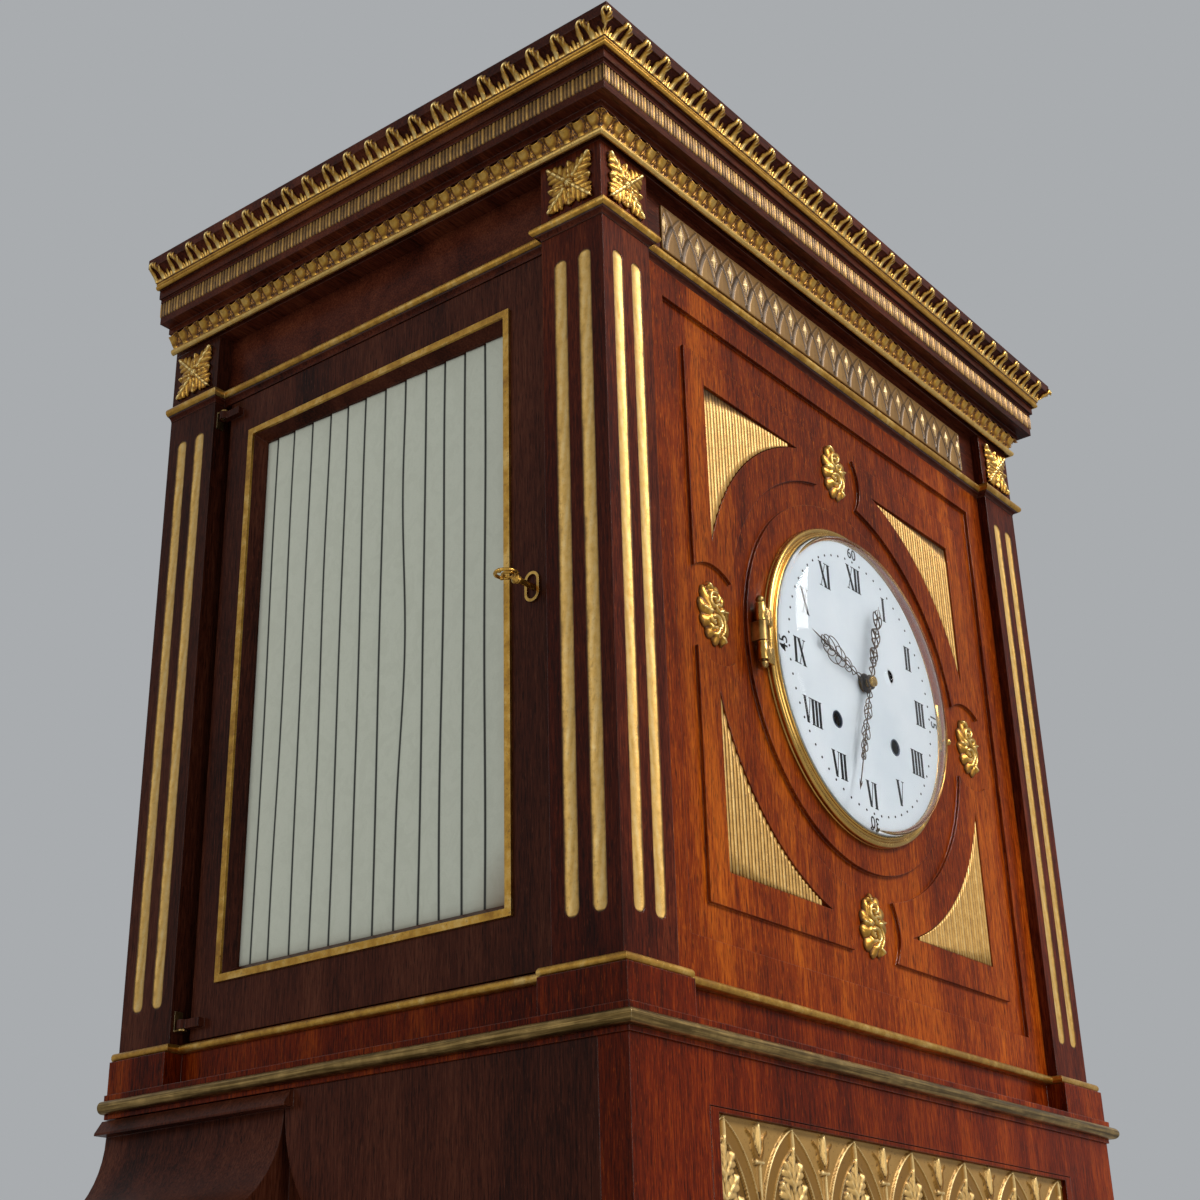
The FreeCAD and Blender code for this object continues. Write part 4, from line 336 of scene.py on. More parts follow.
@dataclass(frozen=True)
class Toned(Finish):
    """Carved leaf in several colours: the mesh's hue picks the colour, its tone paints the light and the shade, painted
    shade in the hollows and a painted highlight on what stands out.
    """

    hues: tuple[tuple[float, str], ...] = ((0.0, "5C3810"), (0.25, "93691F"), (0.48, "8C652A"), (0.76, "AE8648"),
                                           (1.0, "DDB56E"))
    hollow: str = "1E0F05"
    bright: str = "F8DC9C"
    metal: float = 0.4

    def lay(self, net: Net) -> None:
        """Lays the colours and the relief.

        Args:
            net: The material's node tree.
        """
        wear = net.noise(net.spot(), 110, 5, 0.65)
        cloud = net.noise(net.spot(), 30, 3, 0.6)
        base = net.ramp(net.sum("MULTIPLY_ADD", wear, 0.14, net.sum("SUBTRACT", net.mark("hue"), 0.07)), *self.hues)
        light = net.sum("MULTIPLY_ADD", wear, 0.30, net.sum("SUBTRACT", net.mark("tone"), 0.15))
        # painted shade where the light is low, painted highlight where it is high
        base = net.mix(net.ramp(light, (0.08, 1.0), (0.44, 0.0)), base, self.hollow)
        base = net.mix(net.ramp(light, (0.62, 0.0), (0.95, 0.7)), base, self.bright)
        spots = net.ramp(net.noise(net.spot(), 520, 3, 0.6), (0.29, 1.0), (0.40, 0.0))
        base = net.mix(net.sum("MULTIPLY", spots, 0.4), base, self.hollow)
        base = net.mix(net.ramp(cloud, (0.40, 0.0), (0.75, 0.3)), base, "76562A")
        net.dress(Base_Color=base, Metallic=self.metal, Roughness=net.sum("MULTIPLY_ADD", cloud, 0.3, 0.22),
                  Specular_IOR_Level=0.25, Normal=net.bump(wear, 0.12, 0.4))


@dataclass(frozen=True)
class Metal(Finish):
    """Bare or patinated metal with brushing, stains and worn edges."""

    body: str
    stain: str
    rough: float = 0.25
    brush: float = 0.3
    stains: float = 0.5
    uneven: float = 0.3
    way: tuple[float, float, float] = (1.0, 1.0, 0.05)
    streaks: float = 0.0

    def lay(self, net: Net) -> None:
        """Lays the colours and the relief.

        Args:
            net: The material's node tree.
        """
        cloud = net.noise(net.spot(), 70, 5, 0.65)
        lines = net.noise(net.spot(self.way), 1800, 3, 0.6)
        normal, worn = net.edge(0.3)
        patch = net.ramp(cloud, (0.42, 1.0), (0.68, 0.0))
        base = net.mix(net.sum("MULTIPLY", patch, self.stains), self.body, self.stain)
        streak = net.ramp(net.noise(net.spot(self.way), 650, 4, 0.7), (0.42, self.streaks), (0.58, 0.0))
        base = net.mix(streak, base, self.stain)
        base = net.mix(net.sum("MULTIPLY", worn, 0.5), base, "FFF2D0")
        net.dress(Base_Color=base, Metallic=1.0,
                  Roughness=net.sum("MULTIPLY_ADD", cloud, self.uneven,
                                    net.sum("MULTIPLY_ADD", lines, 0.1, self.rough - self.uneven / 2)),
                  Normal=net.bump(lines, 0.02, self.brush, normal))


@dataclass(frozen=True)
class Enamel(Finish):
    """Fired enamel: glassy, cool white, with faint clouds and hairlines."""

    body: str = "EAF1F6"
    cloud: str = "D6E2EA"

    def lay(self, net: Net) -> None:
        """Lays the colours and the relief.

        Args:
            net: The material's node tree.
        """
        base = net.mix(net.ramp(net.noise(net.spot(), 16, 4), (0.4, 0.0), (0.7, 0.6)), self.body, self.cloud)
        specks = net.ramp(net.noise(net.spot(), 900, 2), (0.24, 1.0), (0.30, 0.0))
        base = net.mix(net.sum("MULTIPLY", specks, 0.4), base, "8A8F92")
        net.dress(Base_Color=base, Roughness=net.sum("MULTIPLY_ADD", net.noise(net.spot(), 60), 0.1, 0.06),
                  Normal=net.bump(net.noise(net.spot(), 26, 2), 0.3, 0.25), Coat_Weight=0.5, Coat_Roughness=0.04)


@dataclass(frozen=True)
class Paint(Finish):
    """Black enamel, a little worn."""

    body: str = "0B0B0D"
    worn: str = "2E3136"
    rough: float = 0.3

    def lay(self, net: Net) -> None:
        """Lays the colours and the relief.

        Args:
            net: The material's node tree.
        """
        wear = net.ramp(net.noise(net.spot(), 260, 4), (0.45, 0.0), (0.75, 0.7))
        net.dress(Base_Color=net.mix(wear, self.body, self.worn), Roughness=self.rough, Specular_IOR_Level=0.15,
                  Normal=net.bump(net.noise(net.spot(), 900, 2), 0.02, 0.3))


@dataclass(frozen=True)
class Glass(Finish):
    """Clear domed glass with a few smears."""

    def lay(self, net: Net) -> None:
        """Lays the colours and the relief.

        Args:
            net: The material's node tree.
        """
        smear = net.ramp(net.noise(net.spot((1, 1, 0.5)), 30, 5, 0.7), (0.5, 0.0), (0.9, 0.5))
        net.dress(Base_Color=net.mix(smear, "FDFEFF", "F2F6F8"), Roughness=0.0, Transmission_Weight=1.0, IOR=1.17,
                  Normal=net.bump(net.noise(net.spot(), 22, 2), 0.2, 0.05))


@dataclass(frozen=True)
class Silk(Finish):
    """Pale figured silk: fine weave, a quiet damask, faded and stained at the foot, with painted shadow along the
    pleats' folds.
    """

    body: str = "E4E7D2"
    shade: str = "BCBFA8"
    stain: str = "8A6A45"

    def lay(self, net: Net) -> None:
        """Lays the colours and the relief.

        Args:
            net: The material's node tree.
        """
        weft = net.noise(net.spot((1, 1, 0.12)), 2600, 2, 0.5)
        warp = net.noise(net.spot((1, 0.12, 1)), 2600, 2, 0.5)
        figure = net.noise(net.spot((1, 1, 0.7)), 85, 5, 0.7, 1.2)
        fade = net.noise(net.spot((1, 1, 0.35)), 9, 3)
        base = net.mix(net.ramp(figure, (0.46, 0.0), (0.58, 0.16)), self.body, self.shade)
        base = net.mix(net.ramp(fade, (0.35, 0.0), (0.7, 0.35)), base, "E2E3D2")
        base = net.mix(net.sum("MULTIPLY", net.sum("MULTIPLY", warp, weft), 0.5), base, self.shade)
        base = net.mix(net.mark("stain"), base, self.stain)
        # painted shadow along each pleat's fold
        base = net.mix(net.mark("crease_shadow"), base, "26281F")
        weave = net.sum("MULTIPLY_ADD", warp, 0.5, net.sum("MULTIPLY", weft, 0.5))
        net.dress(Base_Color=base, Roughness=0.62, Sheen_Weight=0.35, Sheen_Roughness=0.4,
                  Normal=net.bump(net.sum("MULTIPLY_ADD", figure, 0.4, weave), 0.15, 0.4))


@dataclass(frozen=True)
class Gut(Finish):
    """Twisted gut line."""

    def lay(self, net: Net) -> None:
        """Lays the colours and the relief.

        Args:
            net: The material's node tree.
        """
        twist = net.noise(net.spot((1, 1, 0.6)), 900, 2)
        net.dress(Base_Color=net.mix(twist, "6A5028", "B99A62"), Roughness=0.5, Normal=net.bump(twist, 0.2, 0.6))


# A darker copy of the mahogany: on the side boards it paints the shade that the sides stand in.
DARK_WOOD = Wood("mahogany_dark", dark="1E0D08", mid="4E2416", light="6C3C28", edge="7A4630")
DARK_ACROSS = Wood("mahogany_dark_across", Grain.ACROSS, "1E0B06", "562516", "783E26", "7A4630")
PANEL = Wood("mahogany_panel", mid="823006", light="C86616", dark="3E1002")
FRONT_WOOD = Wood("mahogany_front", mid="6C2004", light="A8480C", dark="280901")
POST_WOOD = Wood("mahogany_post", mid="521C0C", light="803A1C", dark="200A05")
OAK = Wood("oak_plain", dark="4A2D17", mid="7A5230", light="A47B4C", edge="B58C5E", gloss=0.5, coat=0.0)
GILT = Gilt("gilt_plain")
CARVED = Gilt("gilt_carved", carved=True)
REEDED = Gilt("gilt_reeded", hollow="2A1808", low="7E5A2A", body="C4964A", bright="EED392", carved=True, rough=0.38,
              grime=0.35, metal=0.45)
WORN = Toned("gilt_worn", ((0.0, "4E3414"), (0.62, "7A5A2E"), (0.74, "8B6838"), (0.86, "A07C44"), (1.0, "D8B474")),
             metal=0.15)
TONED = Toned("gilt_toned")
OLD_BRASS = Metal("brass_old", "C4A162", "4A3616", rough=0.32, brush=0.4, stains=0.6)
TORUS_BRASS = Metal("brass_torus", "C8A566", "4A3616", rough=0.30, brush=0.5, stains=0.45, uneven=0.2,
                    way=(0.02, 0.02, 1.0), streaks=0.75)
BRASS = Metal("brass_bright", "D8AE5C", "8A5F24", rough=0.22)
POLISHED = Metal("brass_polished", "CFA55A", "8A642C", rough=0.20, brush=0.12, stains=0.25, uneven=0.12)
STEEL = Metal("steel_dull", "8F959C", "4A4A4C", rough=0.35)
BELL = Metal("bell_bronze", "B9975C", "6A4E2A", rough=0.28)
ENAMEL = Enamel("enamel_white")
INK = Paint("enamel_black", "020203", "0C0E12", rough=0.45)
WIRE = Gilt("hand_gilt", hollow="060302", low="140B05", body="2A190A", bright="7C5828", carved=True, rough=0.40,
            grime=0.5, metal=0.4)
GLASS = Glass("glass_dome")
SILK = Silk("silk_pale")
GUT = Gut("gut_line")
CREAM_FLUTE = Gilt("gilt_flute", low="8A6428", body="D6AA58", bright="F6DFA6", hollow="3E260C", rough=0.40, grime=0.2,
                   carved=True, metal=0.55)
STEEL_BLUE = Metal("steel_blued", "5A6478", "30343E", rough=0.3)
BRIGHT_GILT = Gilt("gilt_key", low="A87428", body="F0BC58", bright="FFEFB8", hollow="4A2A0A", rough=0.2, grime=0.2)


# mesh helpers

def deep(offset: float) -> float:
    """The place in the room of a depth behind the shaft's front, in millimetres."""
    return FRONT + offset


def high(offset: float) -> float:
    """The place in the room of a height over the hood's level, in millimetres."""
    return LEVEL + offset


def link(name: str, data: bpy.types.ID) -> bpy.types.Object:
    """Puts an object with its data into the scene."""
    made = bpy.data.objects.new(name, data)
    bpy.context.scene.collection.objects.link(made)
    return made


def note(mesh: bpy.types.Mesh, name: str, values: Grid | Sequence[float]) -> None:
    """Writes a value for each point into an attribute."""
    mesh.attributes.new(name, "FLOAT", "POINT").data.foreach_set("value", np.asarray(values, np.float32).ravel())


def net_of_quads(rows: int, columns: int) -> Grid:
    """The faces of a net of points, row by row."""
    index = np.arange(rows * columns).reshape(rows, columns)
    return np.stack([index[:-1, :-1], index[:-1, 1:], index[1:, 1:], index[1:, :-1]], -1).reshape(-1, 4)


def new_piece(name: str, points: Grid, faces: Sequence[Sequence[int]], finish: bpy.types.Material,
              tone: Grid | None = None, smooth: bool = True, mark: str = "tone") -> bpy.types.Object:
    """Makes an object from points in millimetres.

    Args:
        name: The piece's name.
        points: Its points, one row each.
        faces: Its faces.
        finish: Its material.
        tone: A value for each point.
        smooth: Whether it shades smoothly.
        mark: The attribute that takes the values.

    Returns:
        The object.
    """
    mesh = bpy.data.meshes.new(name)
    mesh.from_pydata((np.asarray(points) * MM).tolist(), [], [list(map(int, f)) for f in faces])
    if tone is not None:
        note(mesh, mark, tone)
    mesh.materials.append(finish)
    mesh.shade_smooth() if smooth else mesh.shade_flat()
    return link(name, mesh)


def settle(item: bpy.types.Object, body: str, slot: str, *nodes: str) -> bpy.types.Object:
    """Hangs a piece on its body and hides the CAD nodes that it stands for.

    Args:
        item: The piece.
        body: The body that it rides on.
        slot: Not used.
        nodes: CAD nodes that it replaces.

    Returns:
        The piece.
    """
    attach(item, body)
    if nodes:
        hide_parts(*nodes)
    LOG.info("%s: %d faces on %s", item.name, len(item.data.polygons), body)
    return item


@contextmanager
def editing(item: bpy.types.Object) -> Iterator[bmesh.types.BMesh]:
    """Opens a piece's mesh for edits and writes them back."""
    made = bmesh.new()
    made.from_mesh(item.data)
    yield made
    made.to_mesh(item.data)
    made.free()


def close_rims(made: bmesh.types.BMesh) -> None:
    """Fills every open rim with a face."""
    bmesh.ops.holes_fill(made, edges=[e for e in made.edges if e.is_boundary], sides=0)


def tidy(item: bpy.types.Object, merge: float = 0.0, fill: bool = False, outward: bool = True) -> bpy.types.Object:
    """Merges doubles, fills open rims and turns the faces outwards.

    Args:
        item: The piece.
        merge: Distance for merging, in millimetres.
        fill: Whether open rims are filled.
        outward: Whether normals are recalculated.

    Returns:
        The piece.
    """
    with editing(item) as made:
        if merge:
            bmesh.ops.remove_doubles(made, verts=made.verts, dist=merge * MM)
        if fill:
            close_rims(made)
        if outward:
            bmesh.ops.recalc_face_normals(made, faces=made.faces)
    return item


def thicken(item: bpy.types.Object, thick: float, offset: float = -1.0) -> bpy.types.Object:
    """Gives a sheet its thickness.

    Args:
        item: The piece.
        thick: Thickness in millimetres.
        offset: Which side it grows to.

    Returns:
        The piece.
    """
    wall = item.modifiers.new("wall", "SOLIDIFY")
    wall.thickness, wall.offset, wall.use_even_offset = thick * MM, offset, False
    return flatten(item)


def flatten(item: bpy.types.Object) -> bpy.types.Object:
    """Turns an object with its modifiers into a plain mesh.

    Args:
        item: The object.

    Returns:
        The same object.
    """
    source = item.evaluated_get(bpy.context.evaluated_depsgraph_get())
    mesh = bpy.data.meshes.new_from_object(source)
    for modifier in list(item.modifiers):
        item.modifiers.remove(modifier)
    item.data = mesh
    return item


def cut_plane(item: bpy.types.Object, point: Sequence[float], normal: Sequence[float]) -> bpy.types.Object:
    """Drops what lies beyond a plane.

    Args:
        item: The piece.
        point: A point on the plane, in millimetres.
        normal: The side that goes.

    Returns:
        The piece.
    """
    with editing(item) as made:
        bmesh.ops.bisect_plane(made, geom=made.verts[:] + made.edges[:] + made.faces[:], dist=1e-7,
                               plane_co=Vector(point) * MM, plane_no=Vector(normal).normalized(), clear_outer=True)
    return item


def merged(name: str, items: Sequence[bpy.types.Object]) -> bpy.types.Object:
    """Joins objects into the first one.

    Args:
        name: The new name.
        items: The objects.

    Returns:
        The first one.
    """
    first = items[0]
    with bpy.context.temp_override(active_object=first, selected_editable_objects=list(items)):
        bpy.ops.object.join()
    first.name = first.data.name = name
    return first


# height fields for carving: all lengths in millimetres

def grid(width: float, height: float, columns: int, rows: int) -> tuple[Grid, Grid]:
    """Two arrays of places, across from -width/2 to width/2 and up from 0 to height."""
    return np.meshgrid(np.linspace(-width / 2, width / 2, columns), np.linspace(0.0, height, rows))


def dome(d: Grid, reach: float) -> Grid:
    """A round bead over a distance: 1 on its line, 0 at its reach."""
    return np.sqrt(np.clip(1 - (d / reach) ** 2, 0, 1))


def step(x: Grid, low: float, top: float) -> Grid:
    """A smooth rise from 0 at low to 1 at top."""
    t = np.clip((x - low) / (top - low), 0, 1)
    return t * t * (3 - 2 * t)


def to_line(u: Grid, v: Grid, a: tuple[float, float], b: tuple[float, float]) -> tuple[Grid, Grid]:
    """Distance to a straight run, and the share along it."""
    du, dv = b[0] - a[0], b[1] - a[1]
    t = np.clip(((u - a[0]) * du + (v - a[1]) * dv) / (du * du + dv * dv), 0, 1)
    return np.hypot(u - a[0] - t * du, v - a[1] - t * dv), t


def stroke(u: Grid, v: Grid, path: Sequence[tuple[float, float]], half: float, tip: float = 1.0) -> Grid:
    """A rounded stroke along a path.

    Args:
        u: Places across.
        v: Places up.
        path: Its corners.
        half: Half its width at the start.
        tip: Share of that width at the end.

    Returns:
        Height from 0 to 1.
    """
    made, runs = np.zeros_like(u), len(path) - 1
    for i in range(runs):
        d, t = to_line(u, v, path[i], path[i + 1])
        wide = half * (1 + (tip - 1) * (i + t) / runs)
        made = np.maximum(made, dome(d, wide) * wide / half)
    return made


def curve(points: Sequence[tuple[float, float]], parts: int = 6) -> list[tuple[float, float]]:
    """A smooth path through points.

    Args:
        points: The points.
        parts: Steps from one to the next.

    Returns:
        The path.
    """
    ends = [points[0], *points, points[-1]]
    made = []
    for p0, p1, p2, p3 in zip(ends, ends[1:], ends[2:], ends[3:]):
        for i in range(parts):
            t = i / parts
            made.append(tuple(0.5 * (2 * b + (c - a) * t + (2 * a - 5 * b + 4 * c - d) * t * t
                                     + (3 * b - a - 3 * c + d) * t ** 3) for a, b, c, d in zip(p0, p1, p2, p3)))
    return made + [points[-1]]


def leaf(u: Grid, v: Grid, foot: tuple[float, float], tip: tuple[float, float], half: float, teeth: float = 4,
         cut: float = 0.25, full: float = 0.42) -> Grid:
    """An acanthus leaf: a serrated outline, a midrib and a furrow to each tooth.

    Args:
        u: Places across.
        v: Places up.
        foot: Where it starts.
        tip: Where it ends.
        half: Half its greatest width.
        teeth: Teeth on each side.
        cut: How deep they are cut.
        full: Share of the length where it is widest.

    Returns:
        Height from 0 to about 1.
    """
    du, dv = tip[0] - foot[0], tip[1] - foot[1]
    long = math.hypot(du, dv)
    t = ((u - foot[0]) * du + (v - foot[1]) * dv) / long ** 2
    s = np.abs((u - foot[0]) * dv - (v - foot[1]) * du) / long
    inside = (t > 0) & (t < 1)
    t = np.clip(t, 0, 1)
    rise, fall = np.clip(t / full, 0, 1), np.clip((t - full) / (1 - full), 0, 1)
    body = np.where(t < full, np.sin(np.pi / 2 * rise) ** 0.6, np.cos(np.pi / 2 * fall) ** 0.75)
    phase = (t - 0.35 * s / half) * teeth
    tooth = np.abs(np.sin(np.pi * phase))
    wide = half * body * (1 - cut + cut * tooth) + 1e-6
    share = np.clip(s / wide, 0, 1)
    swell = np.sqrt(1 - share ** 2)
    veins = 0.72 + 0.28 * tooth
    rib = 0.30 * dome(s, half * 0.14)
    return np.where(inside & (s < wide), swell * veins * 0.8 + rib, 0.0)


def soften(h: Grid, times: int = 2) -> Grid:
    """Averages each place with its neighbours, some times over."""
    for _ in range(times):
        p = np.pad(h, 1, mode="edge")
        h = (p[:-2, 1:-1] + p[2:, 1:-1] + p[1:-1, :-2] + p[1:-1, 2:] + 4 * p[1:-1, 1:-1]) / 8
    return h


def shade(h: Grid, full: float, reach: int = 4) -> Grid:
    """The painted light of a carved surface: a painted highlight on high places and painted shade in the hollows.

    Args:
        h: Heights.
        full: The height that counts as 1.
        reach: How wide a hollow counts.

    Returns:
        Tones from 0 to 1.
    """
    ground, tall, crisp = 0.18, 0.42, 1.5
    # the tone rises with height as painted highlight and sinks as painted shade where a place lies below its softened
    # neighbours
    return np.clip(ground + tall * h / full + crisp * (h - soften(h, reach * reach)) / full, 0, 1)


def smooth_rim(points: Grid, quads: Grid, fixed: Grid, times: int = 3) -> None:
    """Rounds the stepped outline of openwork.

    Args:
        points: The points, moved in place.
        quads: The faces.
        fixed: Marks the points that stay.
        times: Rounds of smoothing.
    """
    edges = np.sort(np.concatenate([quads[:, [i, (i + 1) % 4]] for i in range(4)]), axis=1)
    pairs, count = np.unique(edges, axis=0, return_counts=True)
    rim = pairs[count == 1]
    for _ in range(times):
        total, near = np.zeros_like(points), np.zeros(len(points))
        for a, b in ((0, 1), (1, 0)):
            np.add.at(total, rim[:, a], points[rim[:, b]])
            np.add.at(near, rim[:, a], 1)
        move = (near >= 2) & ~fixed
        points[move] = (points[move] + total[move] / near[move][:, None]) / 2


def sheet_points(name: str, u: Grid, v: Grid, h: Grid, place: Place, finish: bpy.types.Material, tone: Grid,
                 keep: Grid | None = None) -> bpy.types.Object:
    """A carved sheet from its height field.

    Args:
        name: The piece's name.
        u: Places across.
        v: Places up.
        h: Heights.
        place: Where a point of the field lies in the room.
        finish: Its material.
        tone: Its tones.
        keep: Points whose faces stay, for openwork.

    Returns:
        The object.
    """
    rows, columns = u.shape
    points = np.stack([a.ravel() for a in place(u, v, h)], 1)
    quads, tones = net_of_quads(rows, columns), tone.ravel()
    if keep is not None:
        quads = quads[keep.ravel()[quads].sum(1) >= 2]
        used = np.unique(quads)
        border = np.ones((rows, columns), bool)
        border[1:-1, 1:-1] = False
        smooth_rim(points, quads, border.ravel())
        renumber = np.full(rows * columns, -1)
        renumber[used] = np.arange(len(used))
        points, tones, quads = points[used], tones[used], renumber[quads]
    return new_piece(name, points, quads, finish, tones)


def on_front(x: float, y: float, z: float) -> Place:
    """Places a field on a plane that faces forward, its middle foot at a point."""
    return lambda u, v, h: (x + u, y - h, z + v)


def on_side(x: float, y: float, z: float, side: int) -> Place:
    """Places a field on a plane that faces to a side, -1 for the left."""
    return lambda u, v, h: (x + side * h, y + side * u, z + v)


# rows and rings of repeated shapes

class Repeat:
    """A Geometry Nodes tree that repeats a tile along a line or round a ring, and gives it its finish."""

    def __init__(self, name: str, ring: bool) -> None:
        """Builds the tree.

        Args:
            name: Its name.
            ring: Whether the tiles stand round a circle in place of along a line.
        """
        self.tree = bpy.data.node_groups.new(name, "GeometryNodeTree")
        self.sockets: dict[str, str] = {}
        self.tree.interface.new_socket("Geometry", in_out="OUTPUT", socket_type="NodeSocketGeometry")
        for label, kind in (("Tile", "Object"), ("Count", "Int"), ("Step", "Vector"), ("Start", "Vector"),
                            ("Radius", "Float"), ("Turn", "Vector"), ("Finish", "Material")):
            made = self.tree.interface.new_socket(label, in_out="INPUT", socket_type="NodeSocket" + kind)
            self.sockets[label] = made.identifier
        given = grow(self.tree, "NodeGroupInput").outputs
        if ring:
            line = grow(self.tree, "GeometryNodeMeshCircle", {"Vertices": given["Count"], "Radius": given["Radius"]})
        else:
            line = grow(self.tree, "GeometryNodeMeshLine",
                        {"Count": given["Count"], "Start Location": given["Start"], "Offset": given["Step"]})
        tile = grow(self.tree, "GeometryNodeObjectInfo", {"Object": given["Tile"]})
        each = grow(self.tree, "GeometryNodeInstanceOnPoints",
                    {"Points": line.outputs[0], "Instance": tile.outputs["Geometry"], "Rotation": given["Turn"]})
        real = grow(self.tree, "GeometryNodeRealizeInstances", {0: each.outputs[0]})
        paint = grow(self.tree, "GeometryNodeSetMaterial", {"Geometry": real.outputs[0], "Material": given["Finish"]})
        grow(self.tree, "NodeGroupOutput", {0: paint.outputs[0]})

    def run(self, name: str, tile: bpy.types.Object, count: int, finish: bpy.types.Material,
            start: Sequence[float] = (0, 0, 0), step: Sequence[float] = (0, 0, 0), radius: float = 0.0,
            turn: Sequence[float] = (0, 0, 0)) -> bpy.types.Object:
        """Repeats a tile and returns the plain mesh.

        Args:
            name: The new piece's name.
            tile: The tile, which is deleted.
            count: How many.
            finish: The material.
            start: The first one's place, in millimetres.
            step: From one to the next, in millimetres.
            radius: The ring's radius, in millimetres.
            turn: The tiles' turn, in radians.

        Returns:
            The piece.
        """
        host = link(name, bpy.data.meshes.new(name))
        host.data.materials.append(finish)
        modifier = host.modifiers.new("repeat", "NODES")
        modifier.node_group = self.tree
        values = {"Tile": tile, "Count": count, "Step": [s * MM for s in step], "Start": [s * MM for s in start],
                  "Radius": radius * MM, "Turn": list(turn), "Finish": finish}
        for label, value in values.items():
            modifier[self.sockets[label]] = value
        flatten(host)
        mesh = tile.data
        bpy.data.objects.remove(tile)
        bpy.data.meshes.remove(mesh)
        host.data.shade_smooth()
        return host


ROW = Repeat("row", False)
RING = Repeat("ring", True)


def dress(finish: Finish, *nodes: str) -> None:
    """Gives CAD nodes a finish."""
    material = finish.make()
    for node in nodes:
        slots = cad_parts[node].data.materials
        slots.clear()
        slots.append(material)
        LOG.info("%s: dressed", node)


# the case

@dataclass
class Case:
    """The case's plain woodwork, which keeps its CAD shapes."""

    front: tuple[str, ...] = ("trunk_door", "trunk_frame", "hood_base")
    posts: tuple[str, ...] = ("post_front_left", "post_front_right")
    sides: tuple[str, ...] = ("post_back_left", "post_back_right", "trunk_side_left", "trunk_side_right",
                              "door_left_frame", "door_right_frame", "base")

    def build(self) -> None:
        """Dresses the boards, each with the grain its real one has; the side boards, and the base with them, take a
        darker copy of the mahogany that paints the shade the sides stand in.
        """
        dress(FRONT_WOOD, *self.front)
        dress(POST_WOOD, *self.posts)
        dress(DARK_WOOD, *self.sides)
        dress(DARK_ACROSS, "cornice", "frieze_board")
        dress(OAK, "back_board", "seat_board")
        dress(PANEL, "front_panel")


@dataclass
class Movement:
    """The train, the pendulum and the weights, which keep their CAD shapes."""

    brass: tuple[str, ...] = ("plate_back", "plate_front", "great_wheel", "minute_wheel", "hour_wheel", "centre_arbor",
                              "third_arbor", "escape_arbor", "going_barrel", "strike_barrel", "pendulum_bob",
                              "weight_going", "weight_strike", "rating_nut")

    def build(self) -> None:
        """Dresses the movement."""
        dress(BRASS, *self.brass)
        dress(STEEL, "anchor", "hammer", "pendulum_rod")
        dress(GUT, "line_going", "line_strike")
        dress(BELL, "bell")


# studio

